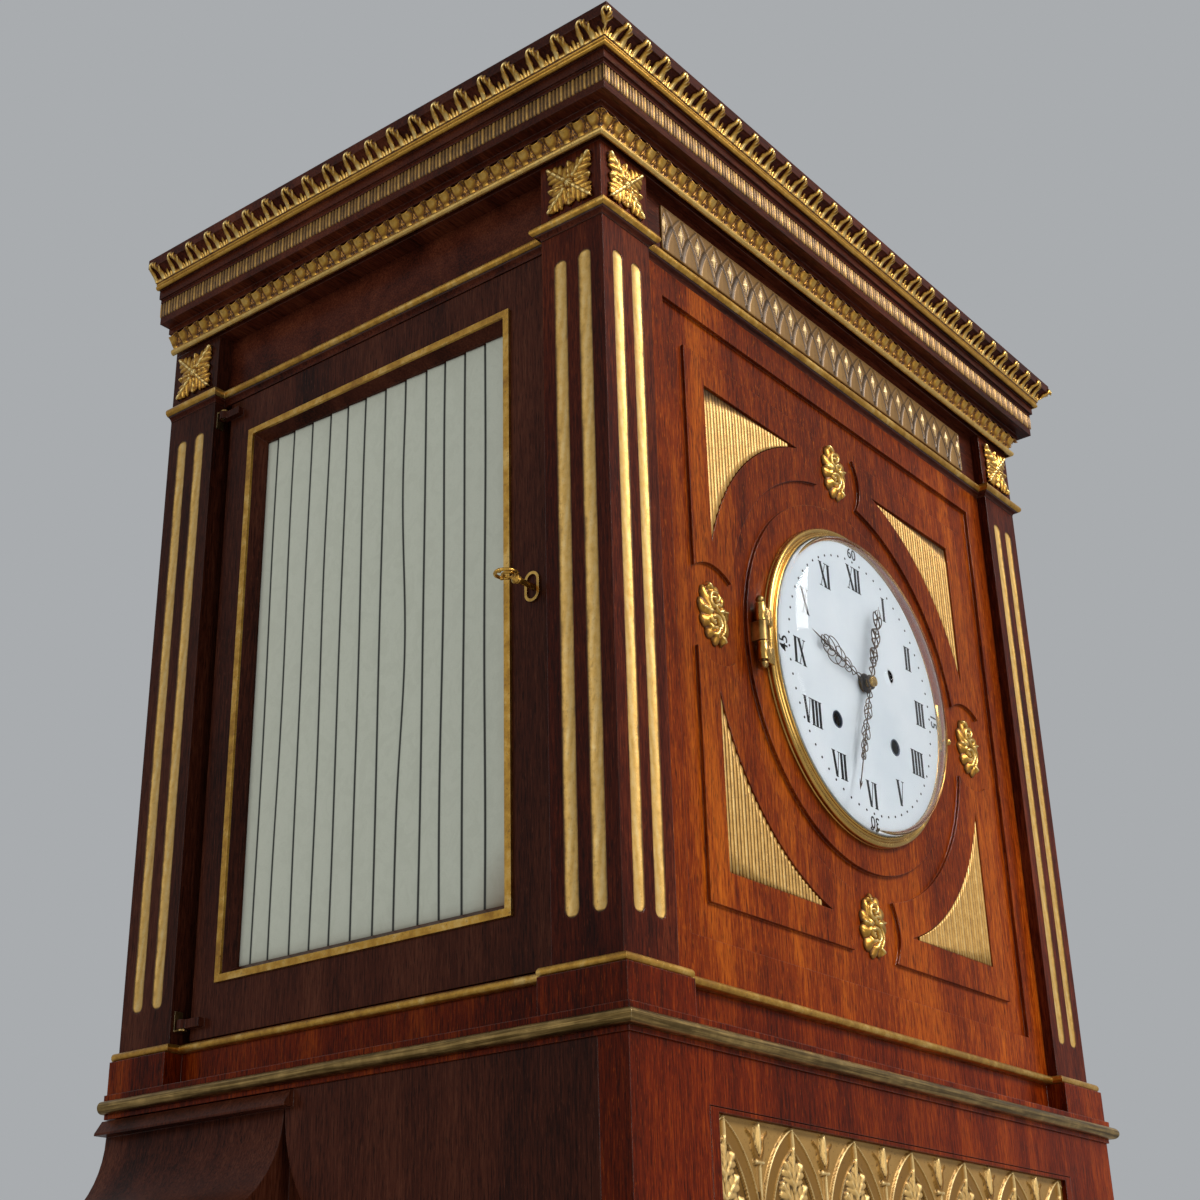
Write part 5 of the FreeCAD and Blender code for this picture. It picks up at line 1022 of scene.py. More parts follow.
@dataclass
class Studio:
    """Camera, pale floor, soft light."""

    spot: tuple[float, float, float] = (-1.1250, -0.8197, 1.3387)
    right: tuple[float, float, float] = (0.62937069, -0.77693470, -0.01627899)
    down: tuple[float, float, float] = (0.31751924, 0.27621943, -0.90712973)
    ahead: tuple[float, float, float] = (0.70927714, 0.56575197, 0.42053613)
    lens: float = 55.889
    shift: tuple[float, float] = (0.0298, -0.0222)
    sensor: float = 36.0
    clip: tuple[float, float] = (0.05, 60.0)
    sky: str = "A9ACAF"
    glow: Colour = (0.93, 0.96, 1.0, 1.0)
    strength: float = 0.33
    floor: str = "B4B5B6"
    reach: float = 6.0

    def camera(self) -> None:
        """Places the camera at the photograph's viewing angle."""
        data = bpy.data.cameras.new("camera")
        data.lens, data.sensor_width, data.sensor_fit = self.lens, self.sensor, "HORIZONTAL"
        data.shift_x, data.shift_y = self.shift
        data.clip_start, data.clip_end = self.clip
        item = link("camera", data)
        columns = (self.right, [-d for d in self.down], [-a for a in self.ahead])
        turn = Matrix([[column[row] for column in columns] for row in range(3)])
        item.matrix_world = Matrix.Translation(self.spot) @ turn.to_4x4()
        bpy.context.scene.camera = item

    def world(self) -> None:
        """A dim room for the light, and a pale grey wall for the camera, gloss and glass."""
        world = bpy.data.worlds.new("room")
        world.use_nodes = True
        tree = world.node_tree
        tree.nodes.clear()
        rays = grow(tree, "ShaderNodeLightPath").outputs
        seen = grow(tree, "ShaderNodeMath", {0: rays["Is Camera Ray"], 1: rays["Is Glossy Ray"]}, operation="MAXIMUM")
        seen = grow(tree, "ShaderNodeMath", {0: seen.outputs[0], 1: rays["Is Transmission Ray"]}, operation="MAXIMUM")
        light = grow(tree, "ShaderNodeBackground", {"Color": self.glow, "Strength": self.strength})
        shown = grow(tree, "ShaderNodeBackground", {"Color": self.sky})
        mix = grow(tree, "ShaderNodeMixShader", {0: seen.outputs[0], 1: light.outputs[0], 2: shown.outputs[0]})
        grow(tree, "ShaderNodeOutputWorld", {0: mix.outputs[0]})
        bpy.context.scene.world = world

    def lamp(self, name: str, spot: Sequence[float], aim: Sequence[float], size: float, power: float,
             colour: Sequence[float] = (1.0, 0.98, 0.95)) -> None:
        """A square soft box.

        Args:
            name: Its name.
            spot: Its place in metres.
            aim: Where it points.
            size: Its side.
            power: Its power in watts.
            colour: Its colour.
        """
        data = bpy.data.lights.new(name, "AREA")
        data.shape, data.size, data.energy, data.color = "SQUARE", size, power, colour
        turn = (Vector(aim) - Vector(spot)).to_track_quat("-Z", "Y")
        link(name, data).matrix_world = Matrix.Translation(spot) @ turn.to_matrix().to_4x4()

    def build(self) -> None:
        """Makes the room."""
        scene = bpy.context.scene
        scene.view_settings.view_transform = "Standard"
        self.camera()
        self.world()
        self.lamp("key", (0.75, -3.1, 4.1), (0.0, -0.2, 1.7), size=1.5, power=132.0, colour=(1.0, 0.97, 0.93))
        self.lamp("front", (-0.6, -3.3, 1.6), (0.0, -0.2, 1.5), size=1.2, power=16.0)
        self.lamp("left", (-3.2, 0.5, 2.6), (-0.3, 0.0, 1.7), size=1.6, power=14.0, colour=(0.96, 0.98, 1.0))
        net = Net("floor_pale")
        net.dress(Base_Color=net.mix(net.noise(net.spot(), 3.0, 3), self.floor, "CECFCF"), Roughness=0.85)
        ends = [(x * self.reach, y * self.reach, 0) for x, y in ((-1, -1), (1, -1), (1, 1), (-1, 1))]
        floor = new_piece("floor", np.array(ends) / MM, [(0, 1, 2, 3)], net.material, smooth=False)


# carved mouldings and reliefs

@dataclass
class Band:
    """A carved moulding round the front and both sides, mitred at the corners.

    The profile's points are projections from the shaft and heights over the hood's level, from the foot up.
    """

    name: str
    profile: Sequence[tuple[float, float]]
    pitch: float
    reach: float
    columns: int
    carve: Callable[[Grid, Grid], tuple[Grid, Grid]]
    finish: bpy.types.Material
    nodes: tuple[str, ...] = ()
    openwork: float | None = None
    wall: float = 0.8

    def tile(self, pitch: float) -> bpy.types.Object:
        """Carves one repeat over the profile.

        Args:
            pitch: Its width.

        Returns:
            The tile, with outward along -Y.
        """
        path = np.array(self.profile)
        run = np.concatenate([[0], np.cumsum(np.hypot(*np.diff(path, axis=0).T))])
        slope = np.gradient(path, axis=0)
        slope /= np.hypot(slope[:, 0], slope[:, 1])[:, None] + 1e-9
        u, v = np.meshgrid(np.linspace(-pitch / 2, pitch / 2, self.columns), run)
        h, tone = self.carve(u, v)

        def place(a: Grid, b: Grid, c: Grid) -> tuple[Grid, Grid, Grid]:
            """Lays the field on the profile."""
            out, up = path[:, :1] + c * slope[:, 1:], path[:, 1:] - c * slope[:, :1]
            return a, -out, up

        keep = None if self.openwork is None else h > self.openwork
        return sheet_points(self.name + "_tile", u, v, h, place, self.finish, tone, keep)

    def build(self) -> None:
        """Runs the tiles along the three sides, mitres them and joins them."""
        span = 2 * (HALF + self.reach)
        count = round(span / self.pitch)
        pitch = span / count
        runs = [ROW.run(self.name, self.tile(pitch), count + 2, self.finish, (-span / 2 - pitch / 2, FRONT, LEVEL),
                        (pitch, 0, 0))]
        for side in (-1, 1):
            cut_plane(runs[0], (side * HALF, FRONT, 0), (side, 1, 0))
            more = math.ceil((BACK - FRONT + self.reach) / pitch) + 1
            part = ROW.run(self.name, self.tile(pitch), more, self.finish,
                           (side * HALF, FRONT - self.reach - pitch / 2, LEVEL), (0, pitch, 0),
                           turn=(0, 0, side * math.pi / 2))
            cut_plane(part, (side * HALF, FRONT, 0), (-side, -1, 0))
            cut_plane(part, (0, BACK, 0), (0, 1, 0))
            runs.append(part)
        item = tidy(merged(self.name, runs), 0.02, outward=False)
        thicken(item, self.wall)
        settle(item, "case", "gilt", *self.nodes)


def arc_path(centre: tuple[float, float], radius: float, low: float, top: float,
             parts: int) -> list[tuple[float, float]]:
    """Points on an arc, its angles in degrees from the outward direction."""
    return [(centre[0] + radius * math.cos(math.radians(a)), centre[1] + radius * math.sin(math.radians(a)))
            for a in np.linspace(low, top, parts)]


EGG_PROFILE = (arc_path((3.5, 601.0), 3.0, -88, 88, 6) + [(3.5, 604.2), (3.5, 606.8)]
               + [(3.5 + 6.5 * (1 - math.cos(t)), 607 + 8.5 * math.sin(t)) for t in np.linspace(0.05, 1.5, 12)])
CREST_PROFILE = ([(24.4, 650.6), (25.5, 650.8), (26.3, 651.6), (26.5, 652.7), (26.0, 653.7), (25.3, 654.0),
                  (25.9, 654.5), (26.2, 655.2), (26.0, 655.9)]
                 + [(39.56 - math.sqrt(217.9 - (z - 651) ** 2), z) for z in np.linspace(656.4, 664.9, 14)]
                 + [(36.2, 665.7), (36.4, 666.7), (36.45, 667.7), (36.5, 668.7), (36.5, 669.7), (36.5, 670.7)])
REED_PROFILE = [(18.5, 627.4), (18.9, 627.9), (19.0, 633.0), (19.0, 639.0), (18.5, 639.7)]


def carve_eggs(u: Grid, v: Grid) -> tuple[Grid, Grid]:
    """A bead, then an egg in its shell, with half a dart at each side.

    Args:
        u: Places across the tile.
        v: Places along the profile.

    Returns:
        Heights and tones.
    """
    foot = 11.6
    d = np.hypot(u / 5.3, (v - foot - 7.0) / 8.0)
    egg = np.clip(1 - d ** 2, 0, 1) ** 0.42 * 3.8
    shell = dome(d - 1.17, 0.09) * 2.0 * (v > foot + 0.6)
    edge = u.max() - np.abs(u)
    dart = dome(edge, 0.7) * 0.9 * step(-v, -foot - 4.4, -foot - 0.6) * (v > foot)
    h = np.maximum.reduce([egg, shell, dart])
    # Painted light: each egg is brighter towards its middle as a painted highlight, the ground round it is painted
    # shade, and so is the narrow fillet between the bead and the eggs.
    tone = np.where(d < 0.93, 0.33 + 0.22 * step(-d, -0.92, -0.5), 0.0)
    tone = np.where((shell > 0.5) | (dart > 0.5), 0.40, tone)
    tone = np.where(v < foot, np.where(v > 9.3, 0.10, 0.62), tone)
    return np.where(v < foot, 0.0, h), tone


def carve_cresting(u: Grid, v: Grid) -> tuple[Grid, Grid]:
    """Two stems that meet in a point under an eye, with curled fronds, and ragged leaves between, over a bead.

    Args:
        u: Places across the tile.
        v: Places along the profile.

    Returns:
        Heights and tones.
    """
    foot = 9.0
    edge = u.max() - np.abs(u)
    left = curve([(-4.8, foot - 1), (-4.2, foot + 6), (-3.1, foot + 11), (-0.9, foot + 16.2)])
    right = curve([(5.0, foot - 1), (4.4, foot + 6), (3.2, foot + 11), (0.9, foot + 16.2)])
    parts = [stroke(u, v, left, 2.3, 0.7), stroke(u, v, right, 3.0, 0.58),
             dome(np.hypot(u, v - foot - 14.6) - 1.3, 1.3),
             stroke(u, v, [(4.4, foot + 8.0), (7.4, foot + 13.6)], 1.5, 0.3),
             stroke(u, v, [(3.0, foot + 12.0), (4.6, foot + 17.0)], 1.1, 0.3),
             stroke(u, v, [(-4.3, foot + 5.5), (-6.8, foot + 9.4)], 1.3, 0.3)]
    for where, tall, wide in ((0.0, 6.2, 1.9), (2.7, 4.8, 1.7), (4.9, 3.6, 1.5)):
        parts.append(stroke(edge, v, [(where, foot - 1), (where + 0.5, foot + tall)], wide, 0.3) * 0.9)
    h = np.maximum.reduce(parts) * 1.8
    eye = np.hypot(u, v - foot - 13.8) < 1.0
    h = np.where(eye, 0.0, np.maximum(h, 1.1 * step(-v, -foot - 2.4, -foot - 0.6)))
    # Painted light: the lower parts of the leaves get a painted highlight, and the bead's two inner corners get lines
    # of painted shade.
    tone = np.where(v > foot - 0.6, 0.86 * shade(h, 1.8, 2) + 0.18 * step(-v, -foot - 9, -foot - 2), 0.50)
    tone = np.where(np.abs(v - 5.1) < 0.5, 0.12, tone)
    return np.where(v < foot - 1, 0.4, h), np.where(np.abs(v - 7.6) < 0.5, 0.15, tone)


def carve_reeds(u: Grid, v: Grid) -> tuple[Grid, Grid]:
    """Three upright reeds of unlike widths, parted by dark joints, each with a painted highlight on its crest and
    painted shade down its sides.

    Args:
        u: Places across the tile.
        v: Places along the profile.

    Returns:
        Heights and tones.
    """
    share = u / (2 * u.max()) + 0.5
    h, tone = np.zeros_like(u), np.zeros_like(u)
    for low, top, light in ((0.0, 0.31, 0.74), (0.31, 0.67, 0.86), (0.67, 1.0, 0.66)):
        d = (share - (low + top) / 2) / ((top - low) / 2)
        reed = dome(d, 0.94)
        # painted light: each reed's tone follows its round
        h, tone = np.maximum(h, reed), np.maximum(tone, reed * light)
    return h * 1.5, np.clip(0.66 * tone ** 1.5, 0, 1)


class Cornice:
    """The cornice's carved bands."""

    def build(self) -> None:
        """Carves eggs, reeds and cresting."""
        gold = CARVED.make()
        Band("egg_and_dart", EGG_PROFILE, pitch=12.49, reach=6.0, columns=19, carve=carve_eggs, finish=gold,
             nodes=("egg_band",)).build()
        Band("cresting_leaves", CREST_PROFILE, pitch=22.4, reach=24.0, columns=31, carve=carve_cresting, finish=gold,
             nodes=("cresting",), openwork=0.14, wall=0.9).build()
        Band("cornice_reeds", REED_PROFILE, pitch=10.3, reach=19.0, columns=19, carve=carve_reeds,
             finish=REEDED.make(), wall=0.5).build()


@dataclass
class Reliefs:
    """The carved panels: the frieze's arcade and the arcade at the head of the trunk's door."""

    frieze_half: float = 221.5
    frieze_foot: float = 553.0
    frieze_head: float = 590.0
    frieze_pitch: float = 20.78
    frieze_back: float = 8.0
    trunk_half: float = 224.0
    trunk_foot: float = -172.9
    trunk_head: float = -40.9
    trunk_pitch: float = 72.0
    trunk_back: float = -0.3
    border: float = 1.6
    frieze_rise: tuple[float, float] = (1.25, 0.8)
    trunk_rise: tuple[float, float] = (2.6, 1.6)
    frieze_net: tuple[int, int] = (886, 74)
    trunk_net: tuple[int, int] = (561, 166)

    def rim(self, u: Grid, v: Grid, half: float, top: float) -> Grid:
        """The plain border's height, 1 on the border."""
        near = np.minimum(np.minimum(half - np.abs(u), v), top - v)
        return step(-near, -self.border, -self.border + 0.9)

    def finish(self, item: bpy.types.Object, hue: Grid, body: str, node: str) -> None:
        """Gives a relief its colours, closes its back and settles it.

        Args:
            item: The carved sheet.
            hue: Which leaf each point wears.
            body: The body that it rides on.
            node: The CAD node that it replaces.
        """
        note(item.data, "hue", hue)
        settle(tidy(item, fill=True), body, "gilt", node)

    def frieze(self) -> None:
        """Flat lancets with cut outlines that cross over their points, and a tulip bud in each fork."""
        tall = self.frieze_head - self.frieze_foot
        u, v = grid(2 * self.frieze_half, tall, *self.frieze_net)
        bay = (u / self.frieze_pitch + 0.5) % 1 - 0.5
        x, side = bay * self.frieze_pitch, np.abs(bay) * self.frieze_pitch
        fork = x - np.sign(x) * self.frieze_pitch / 2
        point = 25.0
        half = 9.7 * (1 - (v / point) ** 1.8)
        inside = side < half
        gap = np.where(v > point, np.abs(side + half), np.abs(side - half))
        # The cuts are wider on the left; their dark tone below is painted shade, broadest on the left as a painted
        # shadow.
        cut = dome(gap, np.where(x < 0, 2.7, 1.5)) * np.where(v > point, 0.4, 1.0)
        facet = np.clip(1 - np.abs(fork) / 2.9 - np.abs(v - 22.5) / 7.6, 0, 1)
        edge = dome(np.abs(fork) / 2.9 + np.abs(v - 22.5) / 7.6 - 1.18, 0.2)
        petal = stroke(np.abs(fork), v, curve([(0.5, 13), (3.7, 19), (2.4, 26), (4.4, 29)]), 0.75, 0.5)
        stem = stroke(fork, v, [(0, 5), (0, 14)], 0.8)
        h = 0.55 + 0.22 * inside * np.clip((half - side) / 4, 0, 1)
        h = np.maximum.reduce([h - 0.5 * cut, 0.75 * stem, 0.8 * petal])
        h = np.where(facet > 0, 0.55 + 1.1 * facet, h - 0.3 * edge)
        # Painted light: shade in the cuts and round each bud's facet; the left facet gets a painted highlight, the
        # right one painted shade.
        tone = np.clip(0.58 - 0.9 * cut - 0.8 * edge * (facet <= 0), 0, 1)
        tone = np.where(facet > 0, np.where(fork < 0, 0.86, 0.42), tone)
        tone = np.where((petal > 0.4) & (facet <= 0), 0.58, tone)
        drift = 0.05 * np.sin(np.floor(u / self.frieze_pitch + 0.5) * 2.1)
        # the left half of each lancet is painted lighter than the right, for the light
        hue = np.where(inside, np.where(x < 0, 0.74, 0.64), 0.56) + drift
        hue = np.where(facet > 0, 0.86, hue)
        rise = self.rim(u, v, self.frieze_half, tall)
        h = np.where(rise > 0.2, 0.9 * rise, h) * self.frieze_rise[0] + self.frieze_rise[1]
        h[[0, -1], :], h[:, [0, -1]] = 0, 0
        where = on_front(0, deep(self.frieze_back), high(self.frieze_foot))
        item = sheet_points("frieze_arcade", u, v, h, where, WORN.make(), np.where(rise > 0.2, 0.55, tone))
        self.finish(item, hue, "case", "frieze_relief")

    def trunk(self) -> None:
        """Pointed arches over lobed acanthus leaves, with tulip buds on balusters between them."""
        tall = self.trunk_head - self.trunk_foot
        u, v = grid(2 * self.trunk_half, tall, *self.trunk_net)
        bay = (u / self.trunk_pitch + 0.5) % 1 - 0.5
        x, side = bay * self.trunk_pitch, np.abs(bay) * self.trunk_pitch
        fork = x - np.sign(x) * self.trunk_pitch / 2
        other = np.abs(fork)
        top = tall - 2.0
        springs, offset, radius = top - 62, 24, 54.5
        d = np.hypot(side + offset, (v - springs) * 0.87) - radius
        d = np.where(v < springs, side + offset - radius, d)
        arch = step(-np.abs(d), -5.4, -4.8)
        lips = dome(np.abs(d) - 4.5, 0.9)
        leaves = [leaf(x, v, (0, top - 36), (0, top - 10), 6.8, 4, 0.3, 0.38)]
        for number in range(8):
            foot = top - 33 - 12.5 * number
            reach = min(9.5 + 4.0 * number, 21.0) - max(0, number - 5) * 2.0
            tip = (reach, foot + 14.0 + 0.5 * number)
            leaves.append(leaf(side, v, (0.4, foot), tip, 7.2 + 0.3 * number, 3, 0.26, 0.62) * (1 - 0.02 * number))
        fan = np.maximum.reduce(leaves) * (v > 3)
        midrib = stroke(x, v, [(0, 3), (0, top - 14)], 1.9, 0.4)
        bud = leaf(fork, v, (0, top - 18), (0, top + 1.2), 3.4, 1, 0.0, 0.55)
        spray = curve([(0.8, top - 21), (4.6, top - 15), (6.4, top - 8), (11.0, top - 4.5)])
        petal = stroke(other, v, spray, 2.7, 0.35)
        collar = stroke(other, v, [(0, top - 22), (3.6, top - 22)], 1.5)
        belly = 1.5 + 1.9 * np.sin(np.pi * np.clip((v - top * 0.15) / (top * 0.6), 0, 1)) ** 2
        shaft = dome(other, belly) * (v < top - 22)
        h = np.maximum.reduce([arch * 0.42, lips * 0.75, fan * 0.95, midrib * 1.05 * (fan > 0), petal * 0.8, bud * 1.15,
                               collar, shaft * 0.9])
        tone = shade(h, 1.0, 3)
        ground, near = h < 0.04, soften(h, 6)
        # The ground is darker inside the arches, and takes painted shade beside the raised carving.
        tone = np.where(ground, np.where(d < 0, 0.34, 0.55) - 0.9 * (near > 0.1) * near, tone)
        tone = np.where((arch > 0.5) & (lips < 0.2) & (fan < 0.4) & (other > 5), 0.52, tone)
        hue = np.where(d < 0, 0.42, 0.76)
        hue = np.where((arch > 0.3) & (h <= 0.76), 0.46, hue)
        hue = np.where(fan * 0.95 >= h - 0.12, np.where(ground, hue, 0.97), hue)
        # each baluster shaft is painted dark on its left as shade and bright on its right as a highlight
        for part, gain, own in ((petal, 0.8, 0.14), (shaft, 0.9, np.where(fork < 0, 0.16, 0.85)), (bud, 1.15, 1.0)):
            hue = np.where((part > 0.05) & (part * gain >= h - 0.01), own, hue)
        rise = self.rim(u, v, self.trunk_half, tall)
        h = np.where(rise > 0.2, 0.5 * rise, h) * self.trunk_rise[0] + self.trunk_rise[1]
        h[[0, -1], :], h[:, [0, -1]] = 0, 0
        where = on_front(0, deep(self.trunk_back), high(self.trunk_foot))
        item = sheet_points("trunk_arcade", u, v, h, where, TONED.make(), np.where(rise > 0.2, 0.6, tone))
        self.finish(item, hue, "trunk_door", "trunk_relief")

    def build(self) -> None:
        """Carves both."""
        self.frieze()
        self.trunk()


@dataclass
class Rosettes:
    """Rosettes on the corner blocks: a square acanthus star with a boss, cut free round its leaves."""

    side: float = 38.0
    inset: float = 26.25
    level: float = 573.0
    leaf_half: float = 9.4
    leaf_root: float = 2.0
    corner_tip: float = 26.4
    side_tip: float = 18.6
    boss: float = 3.9
    rise: float = 4.2
    thick: float = 0.6

    def field(self) -> tuple[Grid, Grid, Grid, Grid, Grid]:
        """Carves the star.

        Returns:
            Places across and up, heights, tones and the points that stay.
        """
        u, v = grid(self.side, self.side, 79, 79)
        v = v - self.side / 2
        r, a = np.hypot(u, v), np.arctan2(v, u)
        h = np.zeros_like(u)
        for number in range(8):
            turn = math.radians(45 * number)
            corner = bool(number % 2)
            x, z = u * math.cos(turn) + v * math.sin(turn), v * math.cos(turn) - u * math.sin(turn)
            tip, size, teeth, tall = (self.corner_tip, 1.0, 4, 0.9) if corner else (self.side_tip, 0.8, 3, 0.66)
            blade = leaf(z, x, (0, self.leaf_root), (0, tip), self.leaf_half * size, teeth, 0.34, 0.5)
            h = np.maximum(h, blade * tall)
        boss = dome(r, self.boss) * (0.85 + 0.15 * np.cos(8 * a))
        h = np.maximum(h * step(r, 2.0, 6.0), boss * 1.1)
        # tones from shade(): painted highlight and painted shade
        return u, v, h * self.rise + 0.3, shade(h, 0.8, 2), (h > 0.10) | (r < 5)

    def build(self) -> None:
        """Sets one on each visible face of the corner blocks."""
        u, v, h, tone, keep = self.field()
        gold, parts = CARVED.make(), []
        for side in (-1, 1):
            spots = [on_front(side * (HALF - self.inset), FRONT, high(self.level))]
            spots += [on_side(side * HALF, y, high(self.level), side) for y in (FRONT + self.inset, BACK - self.inset)]
            parts += [sheet_points("star", u, v, h, spot, gold, tone, keep) for spot in spots]
        item = tidy(merged("corner_rosettes", parts), outward=False)
        settle(thicken(item, self.thick), "case", "gilt", "rosettes")


@dataclass
class FrontPanel:
    """The gilt on the hood's front: reeded spandrels and four foliate mounts."""

    half: float = 176.0
    arc: float = 184.0
    floor: float = 11.0
    pitch: float = 3.9
    orbit: float = 177.0
    mount_half: float = 20.0
    mount_tall: float = 25.0
    lobes: tuple[float, float] = (17.8, 23.5)
    eye: float = 2.7
    mount_rise: float = 5.6
    mount_foot: float = 0.4

    def spandrels(self) -> None:
        """Fills each spandrel with upright reeds whose upper ends are round."""
        gold, parts = REEDED.make(), []
        low = math.sqrt(self.arc ** 2 - self.half ** 2)
        count = int((self.half - low) / self.pitch)
        wide = (self.half - low - 0.6) / count
        outer = self.half - 0.5
        for sx in (-1, 1):
            for sz in (-1, 1):
                for number in range(count):
                    mid = low + 0.3 + wide * number + wide / 2
                    inner = math.sqrt(max(self.arc ** 2 - mid ** 2, 0)) + 0.8
                    if outer - inner < 3:
                        continue
                    u, v = grid(wide, outer - inner, 9, 9)
                    share = v / v.max()
                    bend = (np.sqrt(np.clip(self.arc ** 2 - (mid + u) ** 2, 0, None)) + 0.8 - inner) * (1 - share)
                    end = (v.max() - v) if sz > 0 else v
                    round_end = np.sqrt(np.clip(1 - (1 - np.clip(end / 2.4, 0, 1)) ** 2, 0, 1)) if sz > 0 else 1.0
                    h = dome(u, wide * 0.51) * 1.5 * round_end
                    # painted light: a highlight along each reed's crest and shade at its sides; the sine only varies
                    # one reed from the next
                    tone = 0.04 + 0.62 * h / 1.7 + 0.05 * math.sin(number * 2.3)
                    x0, z0 = sx * mid, high(DIAL) + sz * inner

                    def place(a: Grid, b: Grid, c: Grid, x0: float = x0, z0: float = z0, sx: int = sx,
                              sz: int = sz, bend: Grid = bend) -> tuple[Grid, Grid, Grid]:
                        """Lays a reed in its spandrel."""
                        return x0 + sx * a, deep(self.floor) - 0.2 - c, z0 + sz * (b + bend)

                    parts.append(sheet_points("reed", u, v, h, place, gold, np.clip(tone, 0, 1)))
        settle(tidy(thicken(merged("spandrel_reeds", parts), 0.3)), "case", "gilt")

    def field(self, seed: int) -> tuple[Grid, Grid, Grid, Grid, Grid]:
        """Carves a foliate mount: scrolled lobes round two deep eyes.

        Args:
            seed: Which of the four, for the carver's hand.

        Returns:
            Places, heights, tones and the points that stay.
        """
        u, v = grid(2 * self.mount_half, 2 * self.mount_tall, 81, 99)
        v = v - self.mount_tall
        rng = np.random.default_rng(seed)
        turn = np.arctan2(v / self.lobes[1], u / self.lobes[0])
        r = np.hypot(u / self.lobes[0], v / self.lobes[1])
        swirl = turn * 5.5 + 2.4 * r + rng.uniform(0, 1) * 2
        lobe = np.abs(np.cos(swirl))
        outline = 0.78 + 0.20 * lobe ** 0.6 + 0.05 * np.sin(2 * turn + seed)
        inside = np.clip(1 - (r / outline) ** 2, 0, 1)
        holes = np.zeros_like(r, bool)
        h = inside ** 0.45 * (0.48 + 0.38 * lobe ** 0.8) * step(r, 0.0, 0.5) + 0.5 * step(-r, -0.6, -0.2)
        for (x, z), first, way, size in (((0.8, -7.5), 0.4, 1, 10.5), ((-1.2, 8.5), 2.2, -1, 9.0)):
            d, a = np.hypot(u - x, v - z), np.arctan2(v - z, u - x) * way
            band = np.abs(np.cos(math.pi * (d / 4.6 - (a - first) / (2 * math.pi))))
            flutes = np.abs(np.cos(3.5 * a + 0.35 * d))
            band = np.where(np.sin(a + first * 2) > -0.2, band, flutes)
            near = step(-d, -size, -size + 2.6)
            h = h * (1 - near) + near * (0.36 + 0.56 * band ** 0.6 - 0.014 * d)
            h = np.where(d < self.eye - 0.2, -0.3, h)
            holes |= d < self.eye
        for sx, foot, tip in ((1, (5, 2), (14.5, 4.5)), (-1, (5, -2), (15, 1.0)), (1, (4, -15), (10, -19)),
                              (-1, (3, 16), (9, 20))):
            h = np.maximum(h, leaf(sx * u, v, foot, tip, 3.6, 1, 0.1, 0.6) * 0.9)
        h = np.where(holes, 0.0, np.clip(soften(h, 1), 0, None))
        # The eyes are pits painted black for the shade in them; the rest takes shade()'s painted light.
        return u, v, h * self.mount_rise + self.mount_foot, np.where(holes, 0.0, shade(h, 0.9, 3)), r < outline

    def mounts(self) -> None:
        """Sets the four mounts round the dial."""
        gold, parts = CARVED.make(), []
        for number, (x, z) in enumerate(((-1, 0), (1, 0), (0, 1), (0, -1))):
            u, v, h, tone, keep = self.field(number + 3)
            where = on_front(x * self.orbit, deep(self.floor), high(DIAL) + z * self.orbit)
            parts.append(sheet_points("mount", u, v, h, where, gold, tone, keep))
        item = tidy(merged("foliate_rosettes", parts), outward=False)
        with editing(item) as made:
            rim = [e for e in made.edges if e.is_boundary]
            wall = bmesh.ops.extrude_edge_only(made, edges=rim)["geom"]
            for vert in (g for g in wall if isinstance(g, bmesh.types.BMVert)):
                vert.co.y = deep(self.floor) * MM
            close_rims(made)
            bmesh.ops.recalc_face_normals(made, faces=made.faces)
        settle(item, "case", "gilt", "foliate_mounts")

    def build(self) -> None:
        """Makes both."""
        self.spandrels()
        self.mounts()


